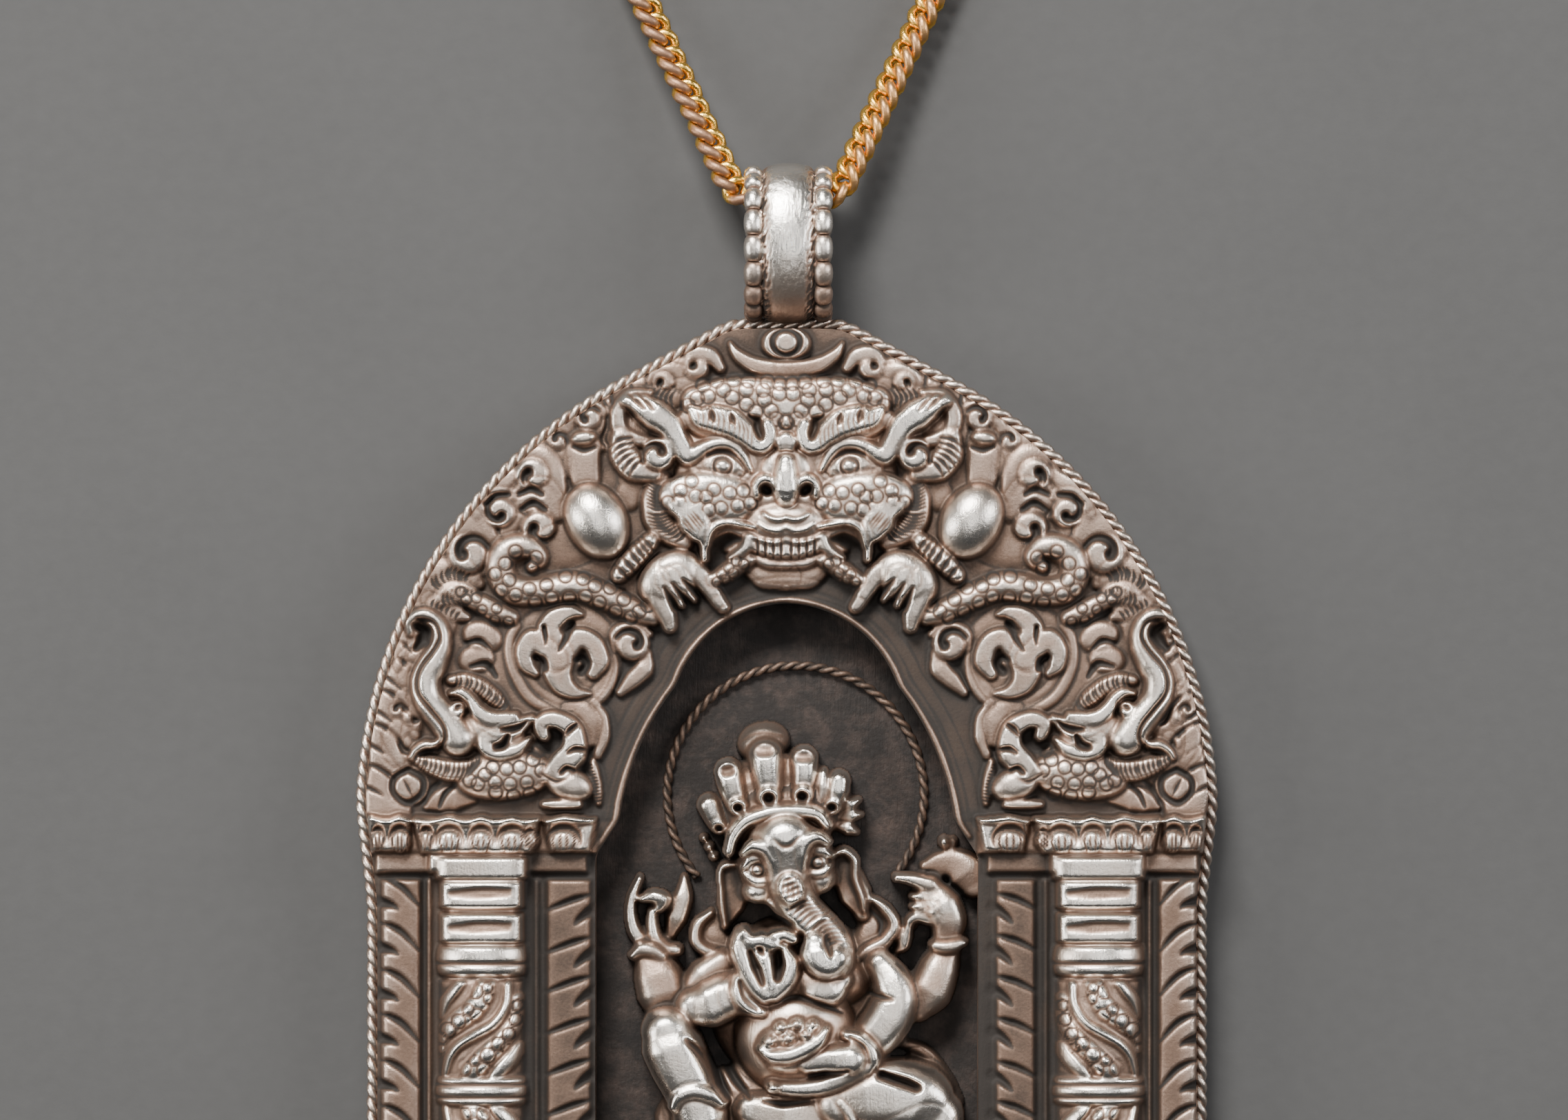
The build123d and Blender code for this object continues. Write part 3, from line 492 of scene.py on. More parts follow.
def shape(sheet, rows, cols, q, gap, level, height, crown, ditch):
    # raise where q < 1: level + height * (1 - q^crown)^(1/2), with a ditch and a dirty line just outside
    area, mark = sheet["h"][rows, cols], sheet["mark"][rows, cols]
    edge = np.exp(-((gap / sheetStyle["ditchWide"]) ** 2)) * (q >= 1)
    area -= ditch * edge
    np.maximum(mark, sheetStyle["edgeSoot"] * edge, out=mark)
    top = level + height * np.sqrt(np.clip(1 - q**crown, 0, 1))
    raised = (q < 1) & (top > area)
    np.copyto(area, top, where=raised)
    mark[raised] = 0


def lay(sheet, level, height, crown, widths, *places, ditch=0.05, thin=0.6):
    # a band along a smooth line, lower where it is thinner: height * (half width / widest)^thin
    line = curveThrough(places)
    rows, cols, x, y = cellsNear(sheet, line, max(widths) + 0.6)
    far, share = nearLine(x, y, line)
    half = np.interp(share, np.linspace(0, 1, len(widths)), widths)
    tall = height * (half / max(widths)) ** thin
    shape(sheet, rows, cols, far / half, far - half, level, tall, crown, ditch)


def dome(sheet, level, height, crown, size, place, turn=0, ditch=0.05):
    # an oval mound: q is how far out a place lies, 1 on the oval's edge
    rows, cols, x, y = cellsNear(sheet, np.array([place], float), max(size) + 0.6)
    c, s = math.cos(math.radians(turn)), math.sin(math.radians(turn))
    u, v = (x - place[0]) * c + (y - place[1]) * s, (y - place[1]) * c - (x - place[0]) * s
    q = np.hypot(u / size[0], v / size[1])
    shape(sheet, rows, cols, q, (q - 1) * min(size), level, height, crown, ditch)


def carve(sheet, depth, widths, *places, darkening=0.42):
    # a groove with a round bottom: depth * (1 - (distance / half width)^2), darker inside; with no depth it
    # only darkens, as the smudge rows use it, which on the ears is painted shade
    line = curveThrough(places, 5)
    rows, cols, x, y = cellsNear(sheet, line, max(widths) + 0.1)
    far, share = nearLine(x, y, line)
    half = np.interp(share, np.linspace(0, 1, len(widths)), widths)
    bowl = (half / max(widths)) ** 0.5 * np.clip(1 - (far / half) ** 2, 0, 1)
    sheet["h"][rows, cols] -= depth * bowl
    mark = sheet["mark"][rows, cols]
    np.maximum(mark, darkening * np.sqrt(bowl), out=mark)


def ribs(sheet, depth, width, count, sideA, sideB, bow=0.0, darkening=0.6):
    # thin grooves from one line across to another, their middles moved aside by bow * length
    a, b = curveThrough(sideA, 12), curveThrough(sideB, 12)
    for t in (np.arange(count) + 0.5) / count:
        p, q = a[int(t * (len(a) - 1))], b[int(t * (len(b) - 1))]
        middle = (p + q) / 2 + bow * np.array([-(q - p)[1], (q - p)[0]])
        carve(sheet, 0.8 * depth, (0.35 * width, width, 0.3 * width), p, middle, q, darkening=darkening)


def scales(sheet, radius, *places, depth=0.07, swell=0.03, darkening=0.6):
    # punched round scales: swell * (1 - (distance / radius)^2) inside a ring-shaped groove
    for place in places:
        rows, cols, x, y = cellsNear(sheet, np.array([place], float), radius + 0.25)
        far = np.hypot(x - place[0], y - place[1])
        bump = swell * np.clip(1 - (far / radius) ** 2, 0, 1)
        line = np.exp(-(((far - radius) / sheetStyle["scaleLine"]) ** 2))
        sheet["h"][rows, cols] += bump - depth * line
        mark = sheet["mark"][rows, cols]
        np.maximum(mark, darkening * line, out=mark)


def scroll(sheet, level, height, radius, place, start, hand):
    # a curled leaf: a flat disc, and a comma-shaped hole drilled into it from its edge
    dome(sheet, level, height, 6, (radius, radius), place)
    angles = math.radians(start) + hand * np.linspace(0, 0.95 * math.pi, 7)
    reach = radius * np.linspace(1.05, 0.26, 7)
    spots = [(place[0] + r * math.cos(a), place[1] + r * math.sin(a)) for a, r in zip(angles, reach)]
    carve(sheet, height * 1.15, (0.10 * radius, 0.20 * radius, 0.27 * radius, 0.33 * radius), *spots)


def raiseTo(sheet, tall, where):
    # the sheet comes up to at least this height there
    np.copyto(sheet["h"], np.maximum(sheet["h"], tall), where=where)


def halfRound(q):
    # half circle over q from -1 to 1: sqrt(1 - q^2)
    return np.sqrt(np.clip(1 - q**2, 0, 1))


def roundedEdge(inward, reach):
    # quarter circle from an edge inwards, then level: sqrt(1 - (1 - inward / reach)^2)
    return halfRound(1 - np.clip(inward / reach, 0, 1))


def onSide(places, side):
    # places of the right half, turned over to the left one where side is -1
    return [(side * x, y) for x, y in places]


def soften(field, cells):
    # three running means one after another, each along both ways, close to a bell curve; the field
    # is turned over its diagonal every time
    reach = max(int(round(cells)), 1)
    for _ in range(6):
        field = field.T
        padded = np.pad(field, ((reach + 1, reach), (0, 0)), mode="edge").cumsum(0)
        field = (padded[2 * reach + 1:] - padded[:-2 * reach - 1]) / (2 * reach + 1)
    return field


def readSheet(sheet, field, x, y):
    # the field's value at any place, straight between the four cells round it
    u = np.clip((x - sheet["x"][0]) / sheet["cell"], 0, field.shape[1] - 1.001)
    v = np.clip((y - sheet["y"][0]) / sheet["cell"], 0, field.shape[0] - 1.001)
    i, j = u.astype(int), v.astype(int)
    u, v = u - i, v - j
    upper = field[j + 1, i] * (1 - u) + field[j + 1, i + 1] * u
    return (field[j, i] * (1 - u) + field[j, i + 1] * u) * (1 - v) + upper * v


# relief tables, in mm: kind, what it is, then
#     lay      level, height, crown, half widths, places along a band
#     dome     level, height, crown, half sizes, place, turn
#     carve    depth, half widths, places along a groove
#     smudge   how dark, half widths, places along a line (painted shade on the ears, tone elsewhere)
#     scroll   level, height, radius, place, start, hand
#     ribs     depth, half width, count, one side, other side, bow
#     scales   radius, places
toranaRows = [
    ("dome", "ear bed", 0, 0.55, 4, (3.29, 3.19), (8.35, 27.38), 0),
    ("dome", "middle bed", 0, 0.3, 5, (8.31, 6.38), (12.99, 21.2), -50),
    ("dome", "low bed", 0, 0.3, 6, (6.92, 6.05), (20.19, 9.6), 0),
    ("dome", "leaf bed", 0.15, 0.25, 4, (2.32, 1.16), (14.92, 25.06), -45),
    ("lay", "long petal", 0.35, 0.3, 2.2, (0.23, 0.31, 0.19), (13.57, 26.61), (13.7, 25.45), (13.33, 24.19)),
    ("lay", "capped petal", 0.35, 0.45, 3.6, (1.1, 1.05, 0.96), (12.72, 26.8), (12.68, 25.64), (12.6, 24.48)),
    ("dome", "petal cap", 0.85, 0.35, 2.5, (0.81, 0.46), (12.72, 27.19), -8),
    ("carve", "petal slot", 0.3, (0.12, 0.17, 0.1), (11.98, 26.57), (12.7, 26.38), (13.41, 26.61)),
    ("lay", "back petal", 0.25, 0.3, 3.6, (0.68, 0.91, 0.91), (9.89, 25.06), (9.6, 24.1), (9.89, 23.32)),
    ("lay", "rim leaf A", 0.3, 0.45, 4, (0.41, 0.59, 0.59, 0.37), (11.44, 28.89), (12.41, 29.22),
     (13.28, 28.7), (13.95, 27.87)),
    ("scroll", "rim scroll A", 0.4, 0.5, 0.85, (12.45, 28.45), 150, -1),
    ("lay", "rim leaf B", 0.25, 0.4, 4, (0.37, 0.55, 0.59, 0.32), (13.47, 28.06), (14.53, 27.54),
     (15.5, 26.8), (16.47, 26.61)),
    ("scroll", "rim curl B", 0.4, 0.4, 0.66, (14.44, 27.04), 200, -1),
    ("lay", "rim leaf C", 0.35, 0.5, 4, (0.59, 0.96, 1, 0.68), (14.34, 23.52), (14.82, 24.87),
     (15.5, 25.84), (16.56, 26.03)),
    ("scroll", "rim scroll C", 0.45, 0.6, 1.12, (16.04, 24.83), 215, 1),
    ("lay", "long rim leaf", 0.35, 0.55, 4.5, (0.37, 0.78, 1, 0.78, 0.32), (16.95, 25.06),
     (18.11, 24.1), (19.17, 23.13), (20.04, 22.26), (20.72, 21.49)),
    ("lay", "flank leaf", 0.3, 0.5, 4, (0.91, 1.37, 1.05), (14.53, 22.55), (15.5, 23.32), (16.56, 23.42)),
    ("carve", "flank slot", 0.5, (0.17, 0.27, 0.17), (15.21, 22.55), (15.98, 22.97), (16.76, 22.55)),
    ("carve", "flank slot 2", 0.45, (0.15, 0.23, 0.15), (15.4, 23.52), (16.08, 23.86), (16.95, 23.52)),
    ("scroll", "flank scroll", 0.4, 0.6, 1.16, (15.73, 21.35), 190, 1),
    ("lay", "mid leaf", 0.3, 0.5, 4, (0.37, 0.59, 0.68, 0.68, 0.46), (18.4, 20.42), (19.17, 21.2),
     (19.17, 22.55), (18.4, 23.32), (17.43, 23.52)),
    ("scroll", "mid scroll", 0.4, 0.6, 1.01, (18.11, 22.36), 60, -1),
    ("carve", "mid slot", 0.45, (0.14, 0.23, 0.17), (17.53, 23.52), (18.4, 23.42), (19.08, 22.9)),
    ("lay", "haunch leaf", 0.3, 0.55, 4, (0.91, 1.28, 1.37, 1, 0.46), (19.37, 21.2), (20.53, 21.49),
     (21.78, 20.91), (22.56, 19.84), (22.56, 18.88)),
    ("scroll", "haunch scroll", 0.45, 0.65, 1.35, (20.57, 19.69), 165, -1),
    ("carve", "haunch slot", 0.6, (0.15, 0.25, 0.19), (22.04, 20.42), (22.56, 19.69), (22.37, 18.88)),
    ("scroll", "mask scroll", 0.3, 0.55, 0.89, (5.45, 31.79), 190, -1),
    ("lay", "mask leaf", 0.3, 0.45, 4, (0.37, 0.59, 0.59, 0.32), (3.9, 31.73), (4.58, 32.51),
     (5.54, 32.6), (6.32, 31.93)),
    ("lay", "side leaf", 0.3, 0.5, 4, (0.37, 0.59, 0.64, 0.32), (6.41, 31.54), (7.28, 31.54),
     (8.06, 31.15), (8.35, 30.48)),
    ("scroll", "side scroll", 0.35, 0.5, 0.73, (7.57, 30.77), 200, 1),
    ("lay", "shell", 0.3, 0.4, 3.6, (0.46, 0.78, 0.68, 0.32), (6.51, 29.7), (7.38, 29.8), (8.35, 29.9),
     (9.12, 30.09)),
    ("ribs", "shell ribs", 0.16, 0.12, 6, [(6.61, 30.28), (7.57, 30.38), (8.73, 30.38)], [(6.8, 29.12),
     (7.77, 29.22), (8.73, 29.61)], 0.2),
    ("dome", "arm bed", 0.1, 0.35, 3.5, (2.9, 1.55), (13.76, 20.42), -20),
    ("lay", "feather leaf", 0.25, 0.55, 3.6, (0.46, 1.19, 1.32, 0.78), (20.14, 17.81), (21.3, 18.39),
     (22.56, 18.2), (23.91, 17.04)),
    ("ribs", "feather ribs", 0.2, 0.14, 9, [(20.53, 18.39), (21.69, 18.88), (23.43, 18.01)],
     [(20.91, 17.62), (21.88, 18.01), (22.85, 17.23)], 0.15),
    ("lay", "feather leaf low", 0.45, 0.5, 3.6, (0.37, 0.78, 0.82, 0.41), (20.24, 16.85),
     (21.11, 17.14), (22.08, 17.04), (23.24, 16.36)),
    ("ribs", "feather low ribs", 0.2, 0.14, 8, [(20.53, 17.33), (21.49, 17.52), (22.66, 17.04)],
     [(20.33, 16.46), (21.3, 16.36), (22.46, 16.17)], 0.15),
    ("lay", "feather tail", 0.3, 0.4, 3.6, (0.32, 0.68, 0.5), (21.11, 15.59), (22.08, 15.97), (23.43, 16.75)),
    ("ribs", "feather tail ribs", 0.15, 0.12, 6, [(21.3, 15.88), (23.24, 16.85)], [(21.69, 15.36),
     (23.43, 16.36)], 0.1),
    ("dome", "roundel bed", 0.15, 0.25, 8, (3.73, 3.73), (15.01, 12.84), 0),
    ("smudge", "roundel tone", 0.16, (2.16, 2.16), (15.01, 12.84), (15.22, 12.73)),
    ("lay", "outer ring", 0.2, 0.35, 3.6, (0.33, 0.41, 0.41, 0.41, 0.33), (11.77, 13.92), (12.2, 11.11),
     (14.36, 9.44), (16.95, 10.14), (18.25, 11.98), (18.47, 13.92), (17.93, 15.11)),
    ("lay", "inner ring", 0.15, 0.3, 3.6, (0.23, 0.33, 0.33, 0.26), (12.36, 13.92), (12.2, 12.41),
     (13.17, 10.68), (14.79, 9.92), (16.63, 10.79), (17.6, 12.08)),
    ("lay", "stem outer", 0.25, 0.35, 3.6, (0.26, 0.43, 0.43, 0.33), (13.17, 10.09), (12.63, 9.17),
     (12.52, 7.87), (12.95, 6.68)),
    ("lay", "stem inner", 0.25, 0.35, 3.6, (0.26, 0.64, 0.77, 0.51), (15.01, 9.82), (14.03, 9.6),
     (13.44, 8.84), (13.44, 7.65)),
    ("lay", "flower stem", 0.55, 0.5, 6, (0.43, 0.65, 0.67, 0.69, 0.84, 0.99, 0.97, 0.76, 0.45, 0.15),
     (13.19, 11.98), (12.72, 12.79), (13.06, 13.87), (13.87, 14.25), (14.68, 13.76), (15.28, 12.95),
     (15.49, 12.08), (15.12, 11.22), (14.36, 10.73), (13.49, 10.68)),
    ("lay", "flower top", 0.55, 0.5, 6, (0.91, 0.82, 0.78, 0.71, 0.48, 0.19), (15.33, 13.17),
     (15.6, 14.03), (15.87, 14.79), (15.33, 15.54), (14.36, 15.92), (13.66, 15.81)),
    ("lay", "flower side", 0.55, 0.5, 6, (0.76, 0.67, 0.69, 0.67, 0.54, 0.28), (15.55, 12.84),
     (16.2, 13.6), (16.95, 14.19), (17.49, 13.44), (17.44, 12.52), (16.95, 11.98)),
    ("carve", "flower hole", 0.5, (0.15, 0.22, 0.29, 0.29), (14.3, 12.84), (13.87, 13), (13.6, 12.52),
     (13.98, 12.08)),
    ("carve", "flower notch", 0.5, (0.32, 0.24, 0.09), (14.41, 15.16), (14.79, 14.25), (15.31, 13.44)),
    ("carve", "flower hole side", 0.5, (0.28, 0.28, 0.19), (16.3, 12.3), (16.41, 12.84), (16.95, 13)),
    ("carve", "flower cleft", 0.6, (0.15, 0.11, 0.04), (16.14, 14.95), (16.09, 14.25), (16.14, 13.81)),
    ("lay", "niche leaf", 0.25, 0.5, 4, (0.32, 0.78, 0.78, 0.37), (9.41, 14.52), (10.09, 14.72),
     (11.25, 14.43), (11.54, 13.65)),
    ("scroll", "niche scroll", 0.3, 0.6, 1.12, (10.47, 13.85), 20, 1),
    ("lay", "niche leaf low", 0.25, 0.45, 3.6, (0.32, 0.68, 0.59, 0.32), (9.6, 13.27), (9.89, 12.3),
     (10.67, 11.53), (11.44, 10.75)),
    ("dome", "back lobe", 0.2, 0.45, 4, (1.35, 1.03), (20.19, 14.35), 20),
    ("carve", "back cut", 0.45, (0.11, 0.22, 0.11), (19.76, 13.54), (20.41, 14.08), (21.33, 13.92)),
    ("dome", "back lobe low", 0.2, 0.4, 4, (1.19, 0.92), (20.73, 12.9), -10),
    ("carve", "back cut low", 0.45, (0.13, 0.28, 0.13), (19.49, 11.76), (20.09, 12.57), (21.11, 12.41)),
    ("lay", "outer leaf", 0.15, 0.35, 3.6, (0.18, 0.43, 0.43, 0.2), (25.27, 15.54), (25.49, 14.35),
     (25.71, 13.27), (25.81, 12.3)),
    ("lay", "outer edge leaf", 0.2, 0.4, 3.6, (0.33, 0.51, 0.56, 0.38), (25.92, 8.73), (26.25, 7.87),
     (26.25, 6.9), (25.81, 6.25)),
    ("dome", "bead 1", 0.25, 0.4, 2, (0.39, 0.35), (24.68, 13.06), 0),
    ("lay", "bead leaf", 0.25, 0.4, 3.6, (0.31, 0.38, 0.2), (25.06, 12.41), (25.44, 11.76), (25.27, 11.11)),
    ("lay", "bead leaf 2", 0.25, 0.4, 3.6, (0.2, 0.38, 0.2), (25.33, 10.9), (25.71, 10.46), (25.38, 9.92)),
    ("scroll", "small curl", 0.3, 0.45, 0.48, (25.87, 9.6), 200, -1),
    ("dome", "small knob", 0.3, 0.5, 2, (0.32, 0.54), (25.19, 9.11), -25),
    ("dome", "bead 2", 0.25, 0.4, 2, (0.37, 0.28), (24.68, 7.98), 20),
    ("dome", "bead 3", 0.25, 0.4, 2, (0.24, 0.37), (25.22, 7.55), 15),
    ("lay", "low leaf", 0.15, 0.4, 4, (0.26, 0.89, 0.77, 0.26), (20.95, 3.76), (22.14, 3.87),
     (23.22, 3.66), (23.98, 3.33)),
    ("carve", "low cut", 0.5, (0.09, 0.17, 0.09), (22.14, 4.74), (22.79, 4.2), (23.17, 3.33)),
    ("carve", "low cut 2", 0.5, (0.09, 0.19, 0.11), (22.9, 5.17), (23.76, 4.41), (24.14, 3.55)),
    ("dome", "disc", 0.2, 0.45, 3.5, (1.35, 1.35), (25.19, 4.74), 0),
    ("carve", "disc ring", 0.45, (0.22, 0.22, 0.22), (25.19, 5.76), (26.08, 5.17), (26.14, 4.3),
     (25.27, 3.6), (24.3, 4.2), (24.25, 5.17), (25.19, 5.76)),
    ("carve", "disc leaf vein", 0.2, (0.05, 0.11, 0.05), (24.9, 4.03), (25.17, 4.57), (25.49, 5.17)),
    ("dome", "mane back", 0.15, 0.5, 3, (0.43, 1.62), (13.06, 4.95), -8),
    ("ribs", "mane ribs", 0.22, 0.11, 12, [(13.33, 6.19), (12.85, 4.95), (12.63, 3.66)], [(13.71, 6.09),
     (13.44, 4.84), (13.28, 3.55)], 0),
    ("lay", "crest", 0.45, 0.55, 3.6, (0.31, 0.56, 0.59, 0.51, 0.31), (18.9, 9.71), (19.55, 10.36),
     (20.52, 11.11), (21.49, 11.54), (22.46, 11.54)),
    ("ribs", "crest ribs", 0.2, 0.11, 14, [(18.63, 10.14), (19.55, 11), (20.73, 11.76), (22.36, 11.98)],
     [(19.11, 9.49), (19.98, 10.03), (20.95, 10.79), (22.46, 11.11)], -0.15),
    ("dome", "scaled body", 0.4, 1, 2.4, (3.24, 1.62), (18.9, 5.38), -6),
    ("scales", "body scales", 0.43, (16.74, 7.01), (17.08, 6.41), (17.93, 5.92), (18.77, 5.82),
     (19.68, 5.9), (20.19, 5.44), (17.47, 4.95), (18.55, 4.84), (19.52, 4.97), (20.63, 4.84),
     (17.28, 4.2), (18.34, 4.07), (19.49, 4.3), (21.17, 5.06), (16.52, 5.71)),
    ("lay", "gill", 0.55, 0.6, 3.6, (0.33, 0.66, 0.74, 0.64, 0.23), (20.57, 6.36), (21.28, 5.82),
     (22.46, 5.71), (23.65, 6.03), (24.9, 6.52)),
    ("ribs", "gill ribs", 0.24, 0.13, 17, [(20.52, 6.79), (21.28, 6.36), (22.46, 6.36), (23.76, 6.57),
     (24.79, 6.74)], [(20.73, 5.82), (21.6, 5.11), (22.79, 5.17), (23.98, 5.55), (24.95, 6.36)], -0.1),
    ("dome", "rump leaf", 0.5, 0.9, 2.6, (1.62, 1.08), (14.79, 4.84), 22),
    ("lay", "foot", 0.45, 0.6, 3.6, (0.28, 0.38, 0.38, 0.28), (14.14, 3.49), (14.9, 3.53),
     (15.76, 3.53), (16.41, 3.53)),
    ("lay", "mane curl", 0.7, 0.7, 5, (0.43, 0.56, 0.59, 0.64, 0.79, 0.94, 0.89, 0.77, 0.28),
     (16.41, 7.98), (16.57, 8.73), (15.76, 9), (14.68, 8.52), (14.41, 7.65), (14.57, 6.79),
     (15.12, 6.25), (15.76, 5.6), (16.47, 5.17)),
    ("carve", "mane hole", 1.1, (0.3, 0.43, 0.39, 0.28), (15.71, 8.19), (15.55, 7.65), (16.09, 7.11),
     (16.74, 7.44)),
    ("carve", "mane slot 1", 0.6, (0.15, 0.17, 0.09), (14.25, 8.68), (14.68, 8.36), (14.95, 7.98)),
    ("carve", "mane slot 2", 0.6, (0.15, 0.17, 0.09), (13.76, 7.06), (14.36, 7.11), (14.85, 6.84)),
    ("carve", "mane slot 3", 0.6, (0.11, 0.17, 0.13), (14.41, 5.71), (14.9, 5.87), (15.28, 5.55)),
    ("carve", "mane line", 0.3, (0.04, 0.1, 0.05), (15.01, 5.17), (15.66, 5.01), (16.52, 5.49)),
    ("dome", "beast's head", 0.45, 1.1, 2.3, (2.16, 1.4), (19.76, 8.19), 10),
    ("lay", "ear", 0.95, 0.6, 4, (0.23, 0.51, 0.71, 0.77, 0.51), (17.17, 9.11), (17.82, 8.73),
     (18.47, 8.52), (19.33, 8.63), (20.19, 8.84)),
    ("carve", "ear hollow", 0.7, (0.09, 0.28, 0.3, 0.13), (17.44, 8.9), (17.93, 8.52), (18.47, 8.36),
     (19.11, 8.36)),
    ("lay", "brow", 1.05, 0.6, 5, (0.15, 0.35, 0.37, 0.54, 0.56, 0.32), (22.46, 10.68), (21.76, 10.77),
     (21.11, 10.3), (20.57, 9.49), (19.76, 9.06), (18.25, 9.22)),
    ("lay", "cheek curl", 0.95, 0.6, 4, (0.38, 0.48, 0.51, 0.51, 0.46, 0.18), (19.38, 7.82),
     (20.09, 7.76), (20.14, 7.17), (19.28, 6.84), (18.14, 7.06), (17.33, 7.76)),
    ("carve", "cheek hole", 0.8, (0.17, 0.32, 0.26), (18.68, 7.98), (19.01, 7.38), (19.44, 7.22)),
    ("scroll", "eye", 1.1, 0.5, 0.56, (21.92, 9.65), 240, -1),
    ("lay", "trunk back", 0.55, 1.3, 2.6, (0.24, 0.37, 0.48, 0.56, 0.71, 0.91, 0.99, 0.99, 1.08, 1.15),
     (24.82, 14.57), (24.79, 15.38), (23.76, 15.81), (22.9, 15.11), (22.84, 13.92), (23.44, 12.73),
     (24.03, 11.54), (23.81, 10.25), (22.79, 8.95), (21.92, 7.76)),
    ("carve", "trunk groove", 0.55, (0.09, 0.13, 0.14, 0.15, 0.15, 0.13, 0.11), (24.3, 15.49),
     (23.27, 15.27), (22.9, 14.35), (23.44, 13.38), (24.41, 12.19), (24.52, 10.79), (23.65, 9.6),
     (22.9, 8.63), (22.73, 7.76), (23.22, 7.01)),
    ("carve", "trunk inside", 0.9, (0.22, 0.48, 0.43, 0.22), (24.3, 15), (23.87, 14.62), (24.14, 14.03),
     (24.52, 13.6)),
    ("lay", "jaw", 0.65, 0.6, 3.6, (0.2, 0.31, 0.33, 0.28, 0.18), (23, 7.87), (23.38, 7.38),
     (24.09, 7.38), (24.68, 7.01), (25, 6.52)),
    ("carve", "jaw line", 0.4, (0.06, 0.11, 0.06), (23.11, 7.44), (23.65, 7.01), (24.52, 6.74)),
    ("lay", "small coil", 0.35, 0.7, 2.2, (0.54, 0.7, 0.62, 0.43), (18.21, 15.59), (19.17, 15.97),
     (20.24, 16.56), (21.88, 17.14)),
    ("scales", "small coil scales", 0.33, (18.4, 15.3), (19.08, 16.17), (19.27, 15.39), (20.04, 16.07),
     (20.33, 16.85), (21.01, 16.75), (21.3, 17.23)),
    ("lay", "serpent", 0.35, 1.05, 2.2, (0.39, 0.7, 0.89, 0.97, 0.97, 0.97, 0.97, 0.89, 0.77, 0.58),
     (16.56, 18.88), (15.98, 19.46), (16.76, 20.19), (18.11, 19.84), (18.63, 18.59), (17.92, 17.43),
     (16.08, 17.33), (13.95, 17.62), (11.83, 16.85), (10.09, 15.97), (9.02, 15.59)),
    ("scales", "serpent scales", 0.43, (16.16, 19.46), (16.56, 18.78), (17.43, 19.84), (18.21, 19.07),
     (18.98, 18.39), (18.11, 18.01), (18.69, 17.33), (17.78, 17.04), (16.85, 17.43), (15.73, 17.68),
     (16.56, 16.56), (15.46, 16.85), (14.44, 18.26), (14.34, 16.85), (13.33, 18.1), (13.28, 16.94),
     (12.6, 17.62), (12.41, 16.56), (11.63, 17.52), (11.44, 15.97), (10.82, 16.75), (10.47, 15.59),
     (9.89, 15.97), (9.31, 16.36)),
    ("dome", "upper arm", 0.65, 1.75, 2.1, (2.59, 1.99), (11.92, 21.81), 62),
    ("lay", "wrist band", 0.75, 0.8, 2.2, (0.58, 0.7, 0.7, 0.54), (8.64, 20.52), (9.51, 19.75),
     (10.38, 18.97), (11.01, 18.33)),
    ("ribs", "wrist ribs", 0.32, 0.23, 6, [(9.02, 20.91), (9.89, 20.23), (11.44, 18.78)],
     [(8.35, 20.04), (9.31, 19.07), (10.57, 17.81)], 0),
    ("dome", "palm", 0.6, 1.15, 3.2, (2.24, 1.66), (7.73, 18.14), -35),
    ("lay", "long finger", 0.6, 0.95, 3.6, (1.05, 0.78, 0.62, 0.5, 0.46), (7.19, 18.88), (5.93, 18.39),
     (5.25, 17.52), (4.67, 16.56), (4.44, 16.26)),
    ("lay", "middle finger", 0.6, 0.95, 3.6, (0.78, 0.55, 0.3), (7.28, 18.2), (6.66, 17.43), (6.26, 16.79)),
    ("lay", "third finger", 0.6, 0.95, 3.6, (0.78, 0.55, 0.3), (7.86, 18.01), (7.44, 17.17), (7.15, 16.4)),
    ("lay", "thumb side finger", 0.6, 1, 3.6, (0.91, 0.82, 0.68, 0.5), (8.73, 17.91), (8.5, 16.75),
     (8.15, 15.78), (8, 15.01)),
    ("carve", "finger gap", 0.5, (0.1, 0.27, 0.23), (6.9, 18.01), (6.22, 17.23), (5.83, 16.56)),
    ("carve", "finger gap 2", 0.5, (0.1, 0.19, 0.17), (7.57, 17.72), (7.03, 16.94), (6.8, 16.56)),
    ("carve", "finger gap 3", 0.5, (0.1, 0.25, 0.23), (8.15, 17.52), (7.77, 16.75), (7.57, 16.17)),
]

